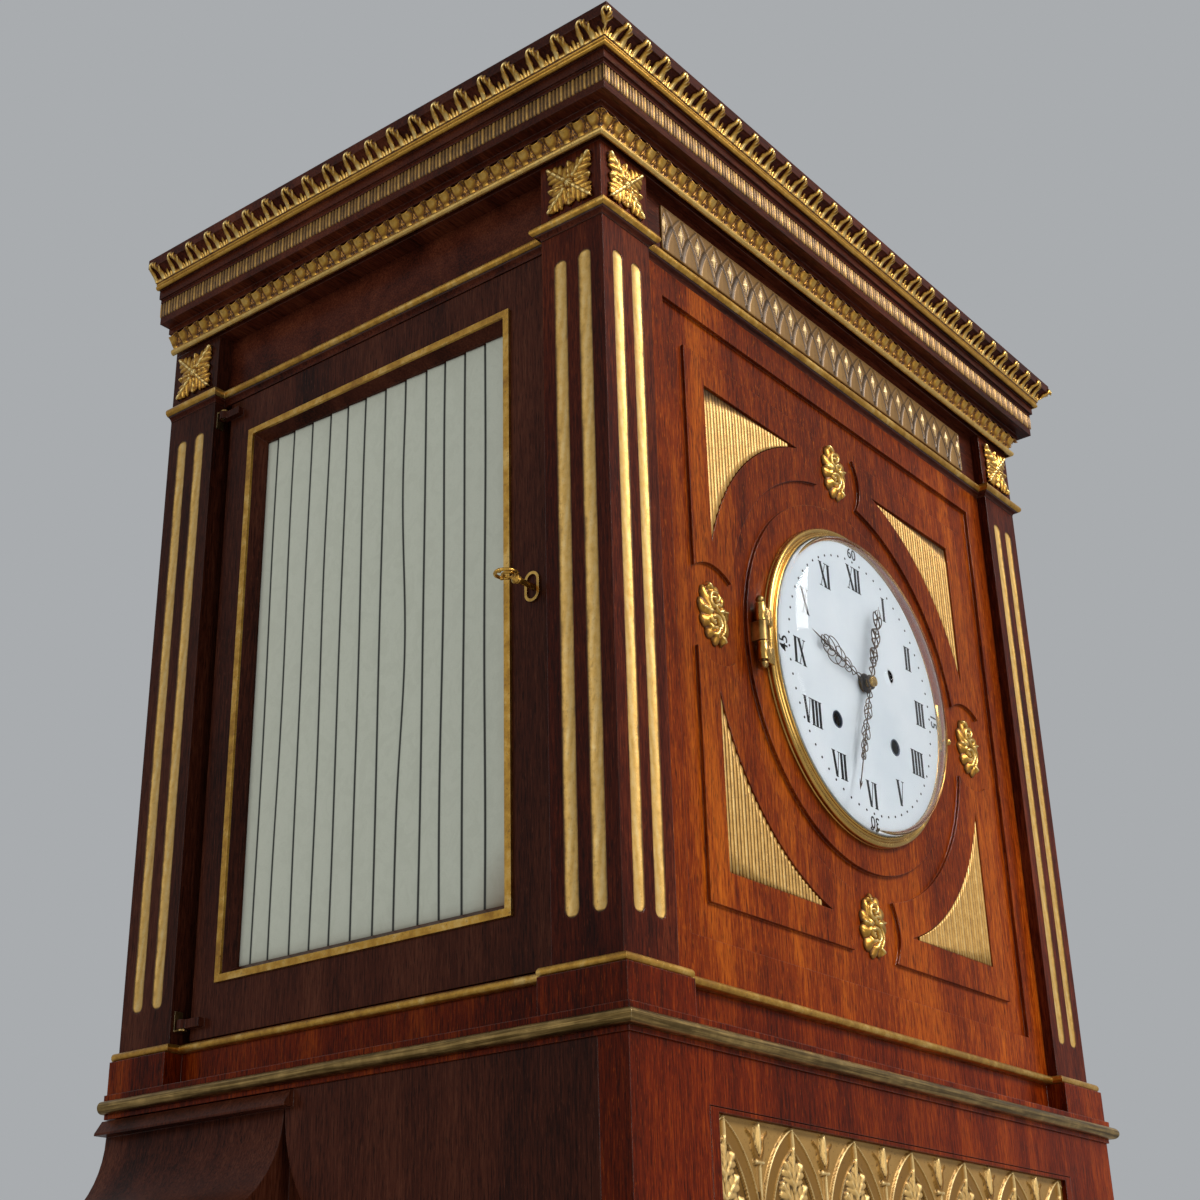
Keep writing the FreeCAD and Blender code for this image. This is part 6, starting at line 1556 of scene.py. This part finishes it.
@dataclass
class Gilding:
    """Gilt linings in the posts' flutes, and the gilt and brass fittings that keep their CAD shapes."""

    post: float = 52.5
    spacing: float = 20.6
    radius: float = 6.35
    half: float = 5.4
    foot: float = 63.4
    head: float = 514.6
    hollow: float = 0.35
    thick: float = 0.12

    def lining(self, x: float, y: float, out: tuple[float, float], gold: bpy.types.Material) -> bpy.types.Object:
        """Lines one flute with a hollow strip, round at both ends.

        Args:
            x: Its middle on the post's face.
            y: The same, in depth.
            out: The way that the face looks.
            gold: The material.

        Returns:
            The strip.
        """
        long = self.head - self.foot
        ends = self.half * (1 - np.cos(np.linspace(0, math.pi / 2, 9)))
        rows = np.concatenate([ends, np.linspace(2 * self.half, long - 2 * self.half, 44), (long - ends)[::-1]])
        u, v = np.meshgrid(np.linspace(-self.half, self.half, 11), rows)
        drop = math.sqrt(self.radius ** 2 - self.half ** 2)
        end = np.minimum(v, v.max() - v)
        squeeze = np.sqrt(np.clip(1 - (1 - np.clip(end / self.half, 0, 1)) ** 2, 0.0, 1))
        across = u * np.maximum(squeeze, 0.02)
        depth = self.hollow * (np.sqrt(self.radius ** 2 - across ** 2) - drop) * squeeze
        tone = 0.56 - 0.42 * np.abs(u / self.half) ** 5 + 0.08 * np.sin(v / 23.0) * np.sin(v / 7.0 + u)
        tone = tone * (0.35 + 0.65 * step(end, 0.4, 1.6))

        def place(a: Grid, b: Grid, c: Grid) -> tuple[Grid, Grid, Grid]:
            """Lays the strip in its flute."""
            return x + across * abs(out[1]) + c * -out[0], y + across * abs(out[0]) + c * -out[1], high(self.foot) + b

        return sheet_points("flute", u, v, depth - 0.05, place, gold, np.clip(tone, 0, 1))

    def build(self) -> None:
        """Lines the flutes and dresses the fittings."""
        lined, parts, middle = CREAM_FLUTE.make(), [], self.post / 2
        for side in (-1, 1):
            for share in (-0.5, 0.5):
                parts.append(self.lining(side * (HALF - middle) + self.spacing * share, FRONT, (0, -1), lined))
                for y in (FRONT + middle, BACK - middle):
                    parts.append(self.lining(side * HALF, y + self.spacing * share, (side, 0), lined))
        settle(tidy(thicken(merged("flute_linings", parts), self.thick, 0.0)), "case", "gilt")
        dress(GILT, "gilt_fillets", "door_left_bead", "door_right_bead")
        dress(TORUS_BRASS, "torus")
        dress(OLD_BRASS, "bezel_hinge", "trunk_hinges", "pivot_brackets")
        dress(BRASS, "door_left_escutcheon")
        dress(STEEL, "door_left_bolt")


# doors

@dataclass
class SideDoor:
    """A side door's silk, laid in flat knife pleats behind the window."""

    side: int
    body: str
    node: str
    y_near: float = 98.6
    y_far: float = 344.9
    z_foot: float = 84.8
    z_head: float = 494.6
    out: float = 280.6
    folds: tuple[float, ...] = (119.5, 138.5, 157.5, 176.0, 196.5, 216.5, 236.5, 255.5, 274.0, 293.5, 313.0, 330.5)
    tuck: float = 5.0
    loose: int = 4
    rows: int = 84
    seed: int = 11
    thick: float = 0.25
    stained: tuple[float, float] = (34.0, 46.0)
    hem: float = 9.0

    def path(self, z: float, sway: Grid) -> list[tuple[float, float, float]]:
        """The cloth's line at one height.

        Args:
            z: The height over the hood's level.
            sway: How far each fold strays.

        Returns:
            Depth behind the shaft's front, depth behind the outer face, and how strongly shadow is painted at the
            crease.
        """
        line = [(self.y_near, 1.6, 0.0)]
        share = (z - self.z_foot) / (self.z_head - self.z_foot)
        for number, fold in enumerate(self.folds):
            y = fold + sway[number]
            lift, tuck = 0.25, self.tuck
            if number == self.loose:
                slack = max(0.0, math.sin(math.pi * min(1.0, 1.18 * (1 - share)))) ** 0.8
                y += 2.2 * slack * math.sin(9 * share + 0.6) - 1.5 * slack
                lift, tuck = 0.25 - 0.1 * slack, self.tuck + 2.5 * slack
            start = line[-1][0]
            gap = y - start
            line += [(start + gap * 0.3, 1.2, 0.0), (start + gap * 0.65, 0.9, 0.0), (y - 1.2, lift + 0.35, 0.0),
                     (y - 0.35, lift + 0.05, 0.1), (y, lift, 0.85), (y + 0.25, lift + 0.35, 1.0), (y - 0.8, 1.6, 1.0),
                     (y - tuck, 2.5, 1.0), (y - tuck - 0.2, 2.9, 1.0), (y - tuck + 0.6, 3.2, 1.0),
                     (y + 0.3, 2.75, 1.0), (y + 2.7, 1.5, 1.0), (y + 3.3, 1.45, 0.0)]
        line += [(self.y_far - 6, 1.1, 0.0), (self.y_far, 1.0, 0.0)]
        return line

    def build(self) -> None:
        rng = np.random.default_rng(self.seed)
        phase = rng.uniform(0, 2 * math.pi, (len(self.folds), 3))
        size = rng.uniform(0.15, 0.55, (len(self.folds), 3))
        points, crease_shadow, stain = [], [], []
        levels = np.linspace(self.z_foot, self.z_head, self.rows)
        for z in levels:
            share = (z - self.z_foot) / (self.z_head - self.z_foot)
            sway = sum(size[:, i] * np.sin((2.0 + 3.7 * i) * share + phase[:, i]) for i in range(3))
            for y, depth, dark in self.path(z, sway):
                ripple = 0.07 * math.sin(y / 3.7 + 5 * share) * math.sin(13 * share + y / 40)
                points.append((self.side * (self.out - depth - max(ripple, -0.2) * (dark == 0)), deep(y), high(z)))
                # the crease value is painted shadow at the pleat's fold
                crease_shadow.append(dark)
                near = math.hypot((y - self.y_near) / self.stained[0], (z - self.z_foot) / self.stained[1])
                stain.append(max(0.0, 0.8 * (1 - near)) + max(0.0, 0.25 * (1 - (z - self.z_foot) / self.hem)))
        wide = len(points) // self.rows
        quads = net_of_quads(self.rows, wide)
        if self.side > 0:
            quads = quads[:, ::-1]
        item = new_piece(self.body + "_pleated_silk", np.array(points), quads, SILK.make(), np.array(crease_shadow),
                         mark="crease_shadow")
        note(item.data, "stain", stain)
        row = np.array(points[:wide])
        flat_width = float(np.hypot(*np.diff(row[:, :2], axis=0).T).sum())
        thicken(item, self.thick)
        settle(item, self.body, "silk", self.node)


# turned and bent metalwork

def lathe(name: str, profile: Sequence[tuple[float, float]], centre: Sequence[float], axis: str,
          finish: bpy.types.Material, parts: int = 160, tone: Sequence[float] | None = None) -> bpy.types.Object:
    """Turns a closed profile round an axis.

    Args:
        name: The piece's name.
        profile: Radii and heights along the axis, going once round.
        centre: The axis's foot, in millimetres.
        axis: "x", "y" or "z"; heights on "y" count forward.
        finish: Its material.
        parts: Steps round.
        tone: A tone for each point of the profile.

    Returns:
        The object.
    """
    ring = np.array(profile)
    angles = np.arange(parts) * 2 * math.pi / parts
    r, along = ring[:, 0][None, :], np.repeat(ring[:, 1][None, :], parts, 0)
    a, b = np.cos(angles)[:, None] * r, np.sin(angles)[:, None] * r
    order = {"x": (along, a, b), "y": (a, -along, b), "z": (a, b, along)}[axis]
    points = np.stack([(c + o).ravel() for c, o in zip(centre, order)], 1)
    count = len(ring)
    i, j = np.meshgrid(np.arange(parts), np.arange(count), indexing="ij")

    def cell(p: Grid, q: Grid) -> Grid:
        """A point's number."""
        return (p % parts) * count + q % count

    quads = np.stack([cell(i, j), cell(i + 1, j), cell(i + 1, j + 1), cell(i, j + 1)], -1).reshape(-1, 4)
    tones = None if tone is None else np.tile(np.array(tone), parts)
    return tidy(new_piece(name, points, quads, finish, tones), 0.001)


def wire(name: str, paths: Sequence[Sequence[Sequence[float]]], radii: Sequence[float], finish: bpy.types.Material,
         sides: int = 6, flat: float = 1.0) -> bpy.types.Object:
    """Tapered wires along paths.

    Args:
        name: The piece's name.
        paths: Each path's points, in millimetres.
        radii: Each path's thickest radius.
        finish: Their material.
        sides: Sides of a wire.
        flat: How much it is flattened in depth.

    Returns:
        The object.
    """
    points, faces, tones = [], [], []
    tip, steep = 0.35, 9
    for path, radius in zip(paths, radii):
        line = np.array(path, float)
        ahead = np.gradient(line, axis=0)
        ahead /= np.linalg.norm(ahead, axis=1)[:, None] + 1e-9
        across = np.cross(ahead, (0.0, 1.0, 0.0))
        across /= np.linalg.norm(across, axis=1)[:, None] + 1e-9
        lift = np.cross(across, ahead) * flat
        first, count = len(points), len(line)
        share = np.linspace(0, 1, count)
        taper = radius * np.clip(np.minimum(share, 1 - share) * steep + tip, tip, 1)
        for k in range(count):
            for s in range(sides):
                t = 2 * math.pi * s / sides
                points.append(line[k] + taper[k] * (math.cos(t) * across[k] + math.sin(t) * lift[k]))
                # painted light: the side of each wire that faces forward is toned lighter, the side behind darker
                tones.append(0.36 - 0.34 * math.sin(t) * (1 if lift[k][1] > 0 else -1))
        for k in range(count - 1):
            for s in range(sides):
                a, b = first + k * sides + s, first + k * sides + (s + 1) % sides
                faces.append((a, b, b + sides, a + sides))
        faces.append([first + s for s in range(sides)][::-1])
        faces.append([first + (count - 1) * sides + s for s in range(sides)])
    return tidy(new_piece(name, np.array(points), faces, finish, np.array(tones)))


def turn_xz(path: Sequence[tuple[float, float, float]], degrees: float) -> Grid:
    """Turns points about the dial's middle, clockwise from the top.

    Args:
        path: Points as across, depth and up from the middle, in millimetres.
        degrees: The turn.

    Returns:
        The points in the room.
    """
    t = math.radians(degrees)
    line = np.array(path, float)
    x = line[:, 0] * math.cos(t) + line[:, 2] * math.sin(t)
    z = line[:, 2] * math.cos(t) - line[:, 0] * math.sin(t)
    return np.stack([x, line[:, 1], z + high(DIAL)], 1)


@dataclass
class Bezel:
    """The ridged brass ring that carries the domed glass, with its tab and knuckles."""

    seat: float = 8.0
    knuckle: float = 14.0
    hinge_x: float = -131.0
    hinge_out: float = 6.0
    swell: float = 2 / 2.4

    def build(self) -> None:
        """Turns the ring and adds what is on it."""
        brass = POLISHED.make()
        ring = ([(111.2, 0.0), (119.9, 0.0), (120.2, 0.5), (119.5, 1.0)] + arc_path((117.5, 3.0), 2.3, -35, 150, 10)
                + [(115.0, 4.3), (114.6, 4.9), (114.3, 5.0)] + arc_path((113.2, 5.6), 1.1, -10, 170, 7)
                + [(112.2, 5.4), (112.2, 4.5), (111.2, 4.3)])
        parts = [lathe("bezel_ring", ring, (0, deep(self.seat), high(DIAL)), "y", brass, 200)]
        x, y = self.hinge_x, deep(self.seat - self.hinge_out)
        barrel = [(1.65, 0.0), (3.6, 0.0), (4.0, 0.5), (4.0, 1.1), (3.7, 1.4), (4.0, 1.8), (4.0, 11.9), (3.7, 12.3),
                  (4.0, 12.6), (4.0, 13.2), (3.6, 13.7), (1.65, 13.7)]
        for low in (-self.knuckle * 1.5, self.knuckle / 2 + 0.3):
            parts.append(lathe("knuckle", barrel, (x, y, high(DIAL) + low), "z", brass, 28))
            span = (high(DIAL) + low + 0.4, high(DIAL) + low + 13.2)
            parts.append(slab("arm", (x + 2.0, x + 14.0), (y - 0.5, y + 3.4), span, brass, 0.8))
        span = (high(DIAL) - 19, high(DIAL) + 19)
        parts.append(slab("tab", (118.4, 124.8), (deep(3.1), deep(7.7)), span, brass, 1.2))
        knob = [(0.01, 0), (2.2, 0), (1.4, 1.2), (1.7, 2.2), (2.9, 3.4), (2.6, 5.2), (1.2, 6.2), (0.01, 6.4)]
        parts.append(lathe("knob", knob, (122.6, deep(3.4), high(DIAL) - 12), "y", brass, 24))
        settle(merged("bezel_with_hinge", parts), "bezel", "brass", "bezel")
        bend = np.linspace(0, math.pi / 2, 40)
        shell = [[(r * math.sin(t) ** self.swell + 0.01, low + rise * math.cos(t) ** self.swell) for t in bend]
                 for r, low, rise in ((112.0, 9.0, 20.5), (109.4, 9.0, 18.6))]
        dome_profile = shell[0] + [(112.0, 4.6), (110.7, 4.6), (110.7, 7.0), (109.4, 7.4)] + shell[1][::-1]
        glass = lathe("dome_of_glass", dome_profile, (0, deep(self.seat), high(DIAL)), "y", GLASS.make(), 160)
        settle(glass, "bezel", "glass", "bezel_glass")


def slab(name: str, xs: Sequence[float], ys: Sequence[float], zs: Sequence[float], finish: bpy.types.Material,
         soft: float) -> bpy.types.Object:
    """A block with rounded edges.

    Args:
        name: The piece's name.
        xs: Its low and high side across, in millimetres.
        ys: The same in depth.
        zs: The same upwards.
        finish: Its material.
        soft: The edges' width.

    Returns:
        The object.
    """
    low, top = np.array([xs[0], ys[0], zs[0]]), np.array([xs[1], ys[1], zs[1]])
    corners = [[(low, top)[i >> k & 1][k] for k in range(3)] for i in range(8)]
    faces = [(0, 2, 3, 1), (4, 5, 7, 6), (0, 1, 5, 4), (2, 6, 7, 3), (0, 4, 6, 2), (1, 3, 7, 5)]
    item = new_piece(name, np.array(corners), faces, finish)
    bevel = item.modifiers.new("soft", "BEVEL")
    bevel.width, bevel.segments = soft * MM, 3
    return tidy(flatten(item))


@dataclass
class Hands:
    """Both hands, in pierced and twisted wire."""

    hour_turn: float = 286.5
    minute_turn: float = 198.0
    hour_out: float = 2.9
    minute_out: float = 6.9
    face: float = 1.5

    def braid(self, low: float, top: float, half: float, out: float, turns: float, strands: int) -> list[Grid]:
        """Strands that wind round each other along a hand.

        Args:
            low: Where they start, from the middle.
            top: Where they end.
            half: Half the braid's width.
            out: Height over the dial.
            turns: Windings over the length.
            strands: How many.

        Returns:
            A path for each strand.
        """
        made = []
        for number in range(strands):
            t = np.linspace(0, 1, int(34 * turns))
            phase = 2 * math.pi * (turns * t + number / strands)
            swell = half * (0.62 + 0.38 * np.sin(np.pi * t) ** 0.5)
            made.append(np.stack([swell * np.sin(phase), -out - 0.7 * np.cos(phase), low + (top - low) * t], 1))
        return made

    def loops(self, spots: Sequence[tuple[float, float, float, float]], out: float) -> list[Grid]:
        """Open scrolls on both sides of a hand.

        Args:
            spots: For each loop, its foot, length, reach to the side and lift.
            out: Height over the dial.

        Returns:
            A path for each scroll.
        """
        made = []
        for low, long, reach, lift in spots:
            for side in (-1, 1):
                t = np.linspace(0, 1, 26)
                a = math.pi * 1.62 * t
                x = side * reach * (np.clip(np.sin(a * 0.72), 0, None) ** 0.9 * (1 - 0.35 * t))
                z = low + long * (0.5 - 0.5 * np.cos(a * 0.95)) * (1 - 0.12 * t) + lift * t
                made.append(np.stack([x, -out - 0.35 * np.sin(6 * t + side), z], 1))
        return made

    def assemble(self, name: str, paths: Sequence[Grid], radii: Sequence[float], turn: float, out: float, hub: float,
                 body: str, node: str) -> None:
        """Turns a hand's wires into place and adds its hub.

        Args:
            name: The piece's name.
            paths: Its wires, pointing up.
            radii: Their radii.
            turn: Its angle on the dial.
            out: Height over the dial.
            hub: The hub's radius.
            body: The body that it rides on.
            node: The CAD node that it replaces.
        """
        finish, face = WIRE.make(), deep(self.face)
        placed = [turn_xz(p + np.array([0, face, 0]), turn) for p in paths]
        parts = [wire(name, placed, radii, finish, 6, 0.7)]
        disc = [(2.6, 0), (hub * 0.7, -0.5), (hub, 0), (hub * 0.96, 0.6), (hub * 0.72, 1.0), (hub * 0.62, 0.7),
                (2.6, 1.2)]
        # the hub's tones paint shade on its back and in the dip inside its rim, and light on its rim and front
        parts.append(lathe(name + "_hub", disc, (0, face - out + 0.2, high(DIAL)), "y", finish, 36,
                           (0.1, 0.1, 0.35, 0.45, 0.5, 0.2, 0.4)))
        settle(merged(name, parts), body, "old_brass", node)

    def build(self) -> None:
        """Makes both hands."""
        out = self.hour_out
        paths = self.braid(5, 31, 3.4, out, 1.5, 2) + self.braid(30, 60, 1.6, out, 2, 2)
        paths += self.loops([(28, 13, 9.0, 2), (34, 17, 12.0, 3), (42, 14, 8.6, 4), (20, 10, 6.5, 0), (52, 8, 4.6, 2)],
                            out)
        radii = [0.40] * 2 + [0.36] * 2 + [0.38] * 10
        paths.append(np.array([(0, -out, z) for z in np.linspace(4, 73, 30)]))
        radii.append(0.5)
        self.assemble("hour_filigree", paths, radii, self.hour_turn, out, 7.6, "hour_wheel", "hour_hand")
        out = self.minute_out
        paths = self.braid(5, 52, 3.9, out, 2.5, 2) + self.braid(50, 68, 2.0, out, 1.5, 2)
        paths += self.braid(-5, -67, 4.2, out, 3.5, 2)
        paths += self.loops([(20, 9, 5.6, 2), (38, 10, 6.0, 2), (50, 8, 4.4, 3), (60, 6, 2.8, 2)], out)
        tails = self.loops([(18, 10, 5.6, 2), (34, 12, 6.4, 2), (50, 12, 6.6, 2)], out)
        paths += [p * np.array([1, 1, -1]) for p in tails]
        radii = [0.48] * 2 + [0.44] * 2 + [0.62] * 2 + [0.42] * 8 + [0.54] * 6
        paths.append(np.array([(0, -out, z) for z in np.linspace(-70, 93, 50)]))
        paths += [np.array([(1.9 * side, -out, 85.0), (1.0 * side, -out, 88.0), (0, -out, 92.4)]) for side in (-1, 1)]
        self.assemble("minute_filigree", paths, radii + [0.55, 0.5, 0.5], self.minute_turn, out, 5.6, "centre_arbor",
                      "minute_hand")


# the dial's figures

def prism(first: int, count: int) -> list[list[int]]:
    """A prism's two ends and its sides, from the number of its first point."""
    foot = list(range(first, first + count))
    head = [k + count for k in foot]
    return [foot[::-1], head] + [[foot[k], foot[(k + 1) % count], head[(k + 1) % count], head[k]]
                                 for k in range(count)]


@dataclass
class Dial:
    """The enamel dial with upright black figures, dots and minute numbers."""

    orbit: float = 84.0
    tall: float = 19.0
    dots: float = 98.0
    dot: float = 0.95
    outer: float = 105.0
    face: float = 1.5
    thick: float = 2.9
    thin: float = 0.55
    lift: float = 0.16
    sunk: float = 0.02
    number_size: float = 12.5
    number_bold: float = 0.09
    hole: tuple[float, float] = (40.0, -38.0)

    def stem(self, x0: float, x1: float, wide: float) -> list[list[tuple[float, float]]]:
        """A stroke of a figure from its foot at x0 to its head at x1, with serifs when it is broad.

        Args:
            x0: Foot's place.
            x1: Head's place.
            wide: Width.

        Returns:
            Outlines.
        """
        half, top = wide / 2, self.tall / 2
        made = [[(x0 - half, -top), (x0 + half, -top), (x1 + half, top), (x1 - half, top)]]
        for x, z in ((x0, -top), (x1, top)):
            reach = half + (0.9 if wide > 1 else 1.5)
            made.append([(x - reach, z - self.thin / 2), (x + reach, z - self.thin / 2), (x + reach, z + self.thin / 2),
                         (x - reach, z + self.thin / 2)])
        return made

    def figure(self, text: str) -> tuple[list[list[tuple[float, float]]], float]:
        """Draws a Roman figure.

        Args:
            text: Its letters.

        Returns:
            Outlines and the whole width.
        """
        made, x = [], 0.0
        for letter in text:
            if letter == "I":
                parts, wide = self.stem(1.9, 1.9, self.thick), 4.5
            elif letter == "V":
                parts, wide = self.stem(5.0, 1.9, self.thick) + self.stem(5.6, 9.0, self.thin), 10.3
                parts = [p for i, p in enumerate(parts) if i not in (1, 4)]
            else:
                parts, wide = self.stem(8.6, 1.9, self.thick) + self.stem(1.9, 8.8, self.thin), 10.7
            made += [[(px + x, pz) for px, pz in part] for part in parts]
            x += wide
        return made, x

    def stamp(self, name: str, outlines: Sequence[tuple[Sequence[tuple[float, float]], float]],
              ink: bpy.types.Material) -> bpy.types.Object:
        """Raises flat outlines a hair off the enamel.

        Args:
            name: The piece's name.
            outlines: Outlines with their own lift, each going round anticlockwise.
            ink: The material.

        Returns:
            The object.
        """
        points, faces = [], []
        for outline, lift in outlines:
            first, count = len(points), len(outline)
            for out in (-self.sunk, lift):
                points += [(x, deep(self.face) - out, high(DIAL) + z) for x, z in outline]
            faces += prism(first, count)
        return tidy(new_piece(name, np.array(points), faces, ink, smooth=False))

    def build(self) -> None:
        """Draws the figures, the dots, the minute numbers and the winding holes' rims."""
        ink = INK.make()
        dress(ENAMEL, "dial")
        shapes = []
        for hour, text in enumerate(("XII", "I", "II", "III", "IIII", "V", "VI", "VII", "VIII", "IX", "X", "XI")):
            turn = math.radians(30 * hour)
            outlines, wide = self.figure(text)
            x0, z0 = self.orbit * math.sin(turn) - wide / 2, self.orbit * math.cos(turn)
            for number, outline in enumerate(outlines):
                shapes.append(([(x + x0, z + z0) for x, z in outline], self.lift + 0.01 * (number % 3)))
        roman = self.stamp("roman_figures", shapes, ink)
        dot = new_piece("dot", *self.disc(self.dot, 12), ink, smooth=False)
        ring = RING.run("minute_dots", dot, 60, ink, radius=self.dots)
        ring.data.transform(Matrix.Translation((0, deep(self.face) * MM, high(DIAL) * MM))
                            @ Matrix.Rotation(math.radians(90), 4, "X"))
        ring.data.shade_flat()
        tidy(ring)
        numbers = [self.number(text, turn, ink) for text, turn in (("60", 0), ("15", 90), ("30", 180), ("45", 270))]
        settle(merged("dial_figures", [roman, ring, *numbers]), "case", "enamel")
        rims, steel = [], STEEL_BLUE.make()
        for side in (-1, 1):
            spot = (side * self.hole[0], deep(self.face), high(DIAL) + self.hole[1])
            rims.append(lathe("rim", [(5.7, -1.5), (6.4, -0.1), (6.5, 0.25), (6.0, 0.4), (5.4, 0.2), (5.3, -1.5)], spot,
                              "y", steel, 40))
        settle(merged("winding_rims", rims), "case", "steel")

    def disc(self, radius: float, sides: int) -> tuple[Grid, list[list[int]]]:
        """A flat disc with its axis along Z.

        Args:
            radius: Its radius in millimetres.
            sides: How many sides it has.

        Returns:
            Its points and its faces.
        """
        ring = [(radius * math.cos(2 * math.pi * k / sides), radius * math.sin(2 * math.pi * k / sides))
                for k in range(sides)]
        return np.array([(x, y, z) for z in (-self.sunk, self.lift) for x, y in ring]), prism(0, sides)

    def number(self, text: str, turn: float, ink: bpy.types.Material) -> bpy.types.Object:
        """A small minute number by the rim.

        Args:
            text: Its figures.
            turn: Its place, clockwise from the top, in degrees, and its own turn.
            ink: The material.

        Returns:
            The object.
        """
        data = bpy.data.curves.new("minutes_" + text, "FONT")
        data.body, data.size, data.extrude = text, self.number_size * MM, 0.06 * MM
        data.align_x, data.align_y, data.offset = "CENTER", "CENTER", self.number_bold * MM
        item = link("minutes_" + text, data)
        mesh = bpy.data.meshes.new_from_object(item.evaluated_get(bpy.context.evaluated_depsgraph_get()))
        bpy.data.objects.remove(item)
        t, reach = math.radians(turn), self.outer - 0.6
        spot = Vector((reach * math.sin(t), deep(self.face) - 0.08, high(DIAL) + reach * math.cos(t))) * MM
        mesh.transform(Matrix.Translation(spot) @ Matrix.Rotation(t, 4, "Y")
                       @ Matrix.Rotation(math.radians(90), 4, "X"))
        mesh.materials.clear()
        mesh.materials.append(ink)
        return tidy(link("minutes_" + text, mesh), 0.001)


@dataclass
class Key:
    """The key in the side door: a pierced bow and a ringed shank."""

    y: float = 71.5
    z: float = 286.0
    face: float = -290.0
    bow: float = 8.0

    def build(self) -> None:
        """Turns the shank and bends the bow."""
        brass, mid_y, mid_z = BRIGHT_GILT.make(), deep(self.y), high(self.z)
        reach, tip = ((corner / MM)[0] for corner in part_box("key"))
        ring_x = reach + self.bow
        shank = [(0.01, tip), (2.15, tip), (2.15, self.face + 1.5), (2.0, self.face - 1), (2.0, ring_x + 12.5),
                 (2.9, ring_x + 12.0), (2.9, ring_x + 10.8), (2.0, ring_x + 10.4), (3.4, ring_x + 9.8),
                 (3.4, ring_x + 9.0), (1.9, ring_x + 8.2), (1.6, ring_x + 6.4), (0.01, ring_x + 6.2)]
        parts = [lathe("shank", shank, (0, mid_y, mid_z), "x", brass, 24)]
        t = np.linspace(0, 2 * math.pi, 49)
        paths = [np.stack([ring_x - 0.2 + 6.6 * np.cos(t), np.full_like(t, mid_y) + 6.9 * np.sin(t), mid_z + 0 * t], 1)]
        radii = [1.25]
        for side in (-1, 1):
            s = np.linspace(0, 1, 25)
            a = s * math.pi * 1.5
            radius = 3.6 * (1 - 0.55 * s)
            x = ring_x + 3.6 - 2.4 * s * 2.2 + radius * np.cos(a) * 0.6
            y = mid_y + side * (0.6 + radius * np.sin(a) * 0.9 + 1.2 * s)
            paths.append(np.stack([x, y, mid_z + 0.2 * np.sin(a)], 1))
            radii.append(0.95)
        parts.append(wire("bow", paths, radii, brass, 8, 0.95))
        for x, y in ((reach + 1.2, 0.0), (ring_x + 2.5, 6.6), (ring_x + 2.5, -6.6)):
            parts.append(lathe("bead", [(0.01, -1.7), (1.2, -1.2), (1.7, 0), (1.2, 1.2), (0.01, 1.7)],
                               (x + 0.5, mid_y + y * 0.92, mid_z), "z", brass, 14))
        settle(merged("key_with_bow", parts), "key", "brass", "key")


PARTS = (Case(), Movement(), Gilding(), Cornice(), Reliefs(), Rosettes(), FrontPanel(),
         SideDoor(-1, "door_left", "door_left_silk"), SideDoor(1, "door_right", "door_right_silk"),
         Bezel(), Dial(), Hands(), Key())


def main() -> None:
    """Builds the clock, piece by piece, and the room round it."""
    logging.basicConfig(level=logging.INFO, format="%(name)s: %(message)s")
    Studio().build()
    for part in PARTS:
        part.build()


if __name__ == "__main__":
    main()
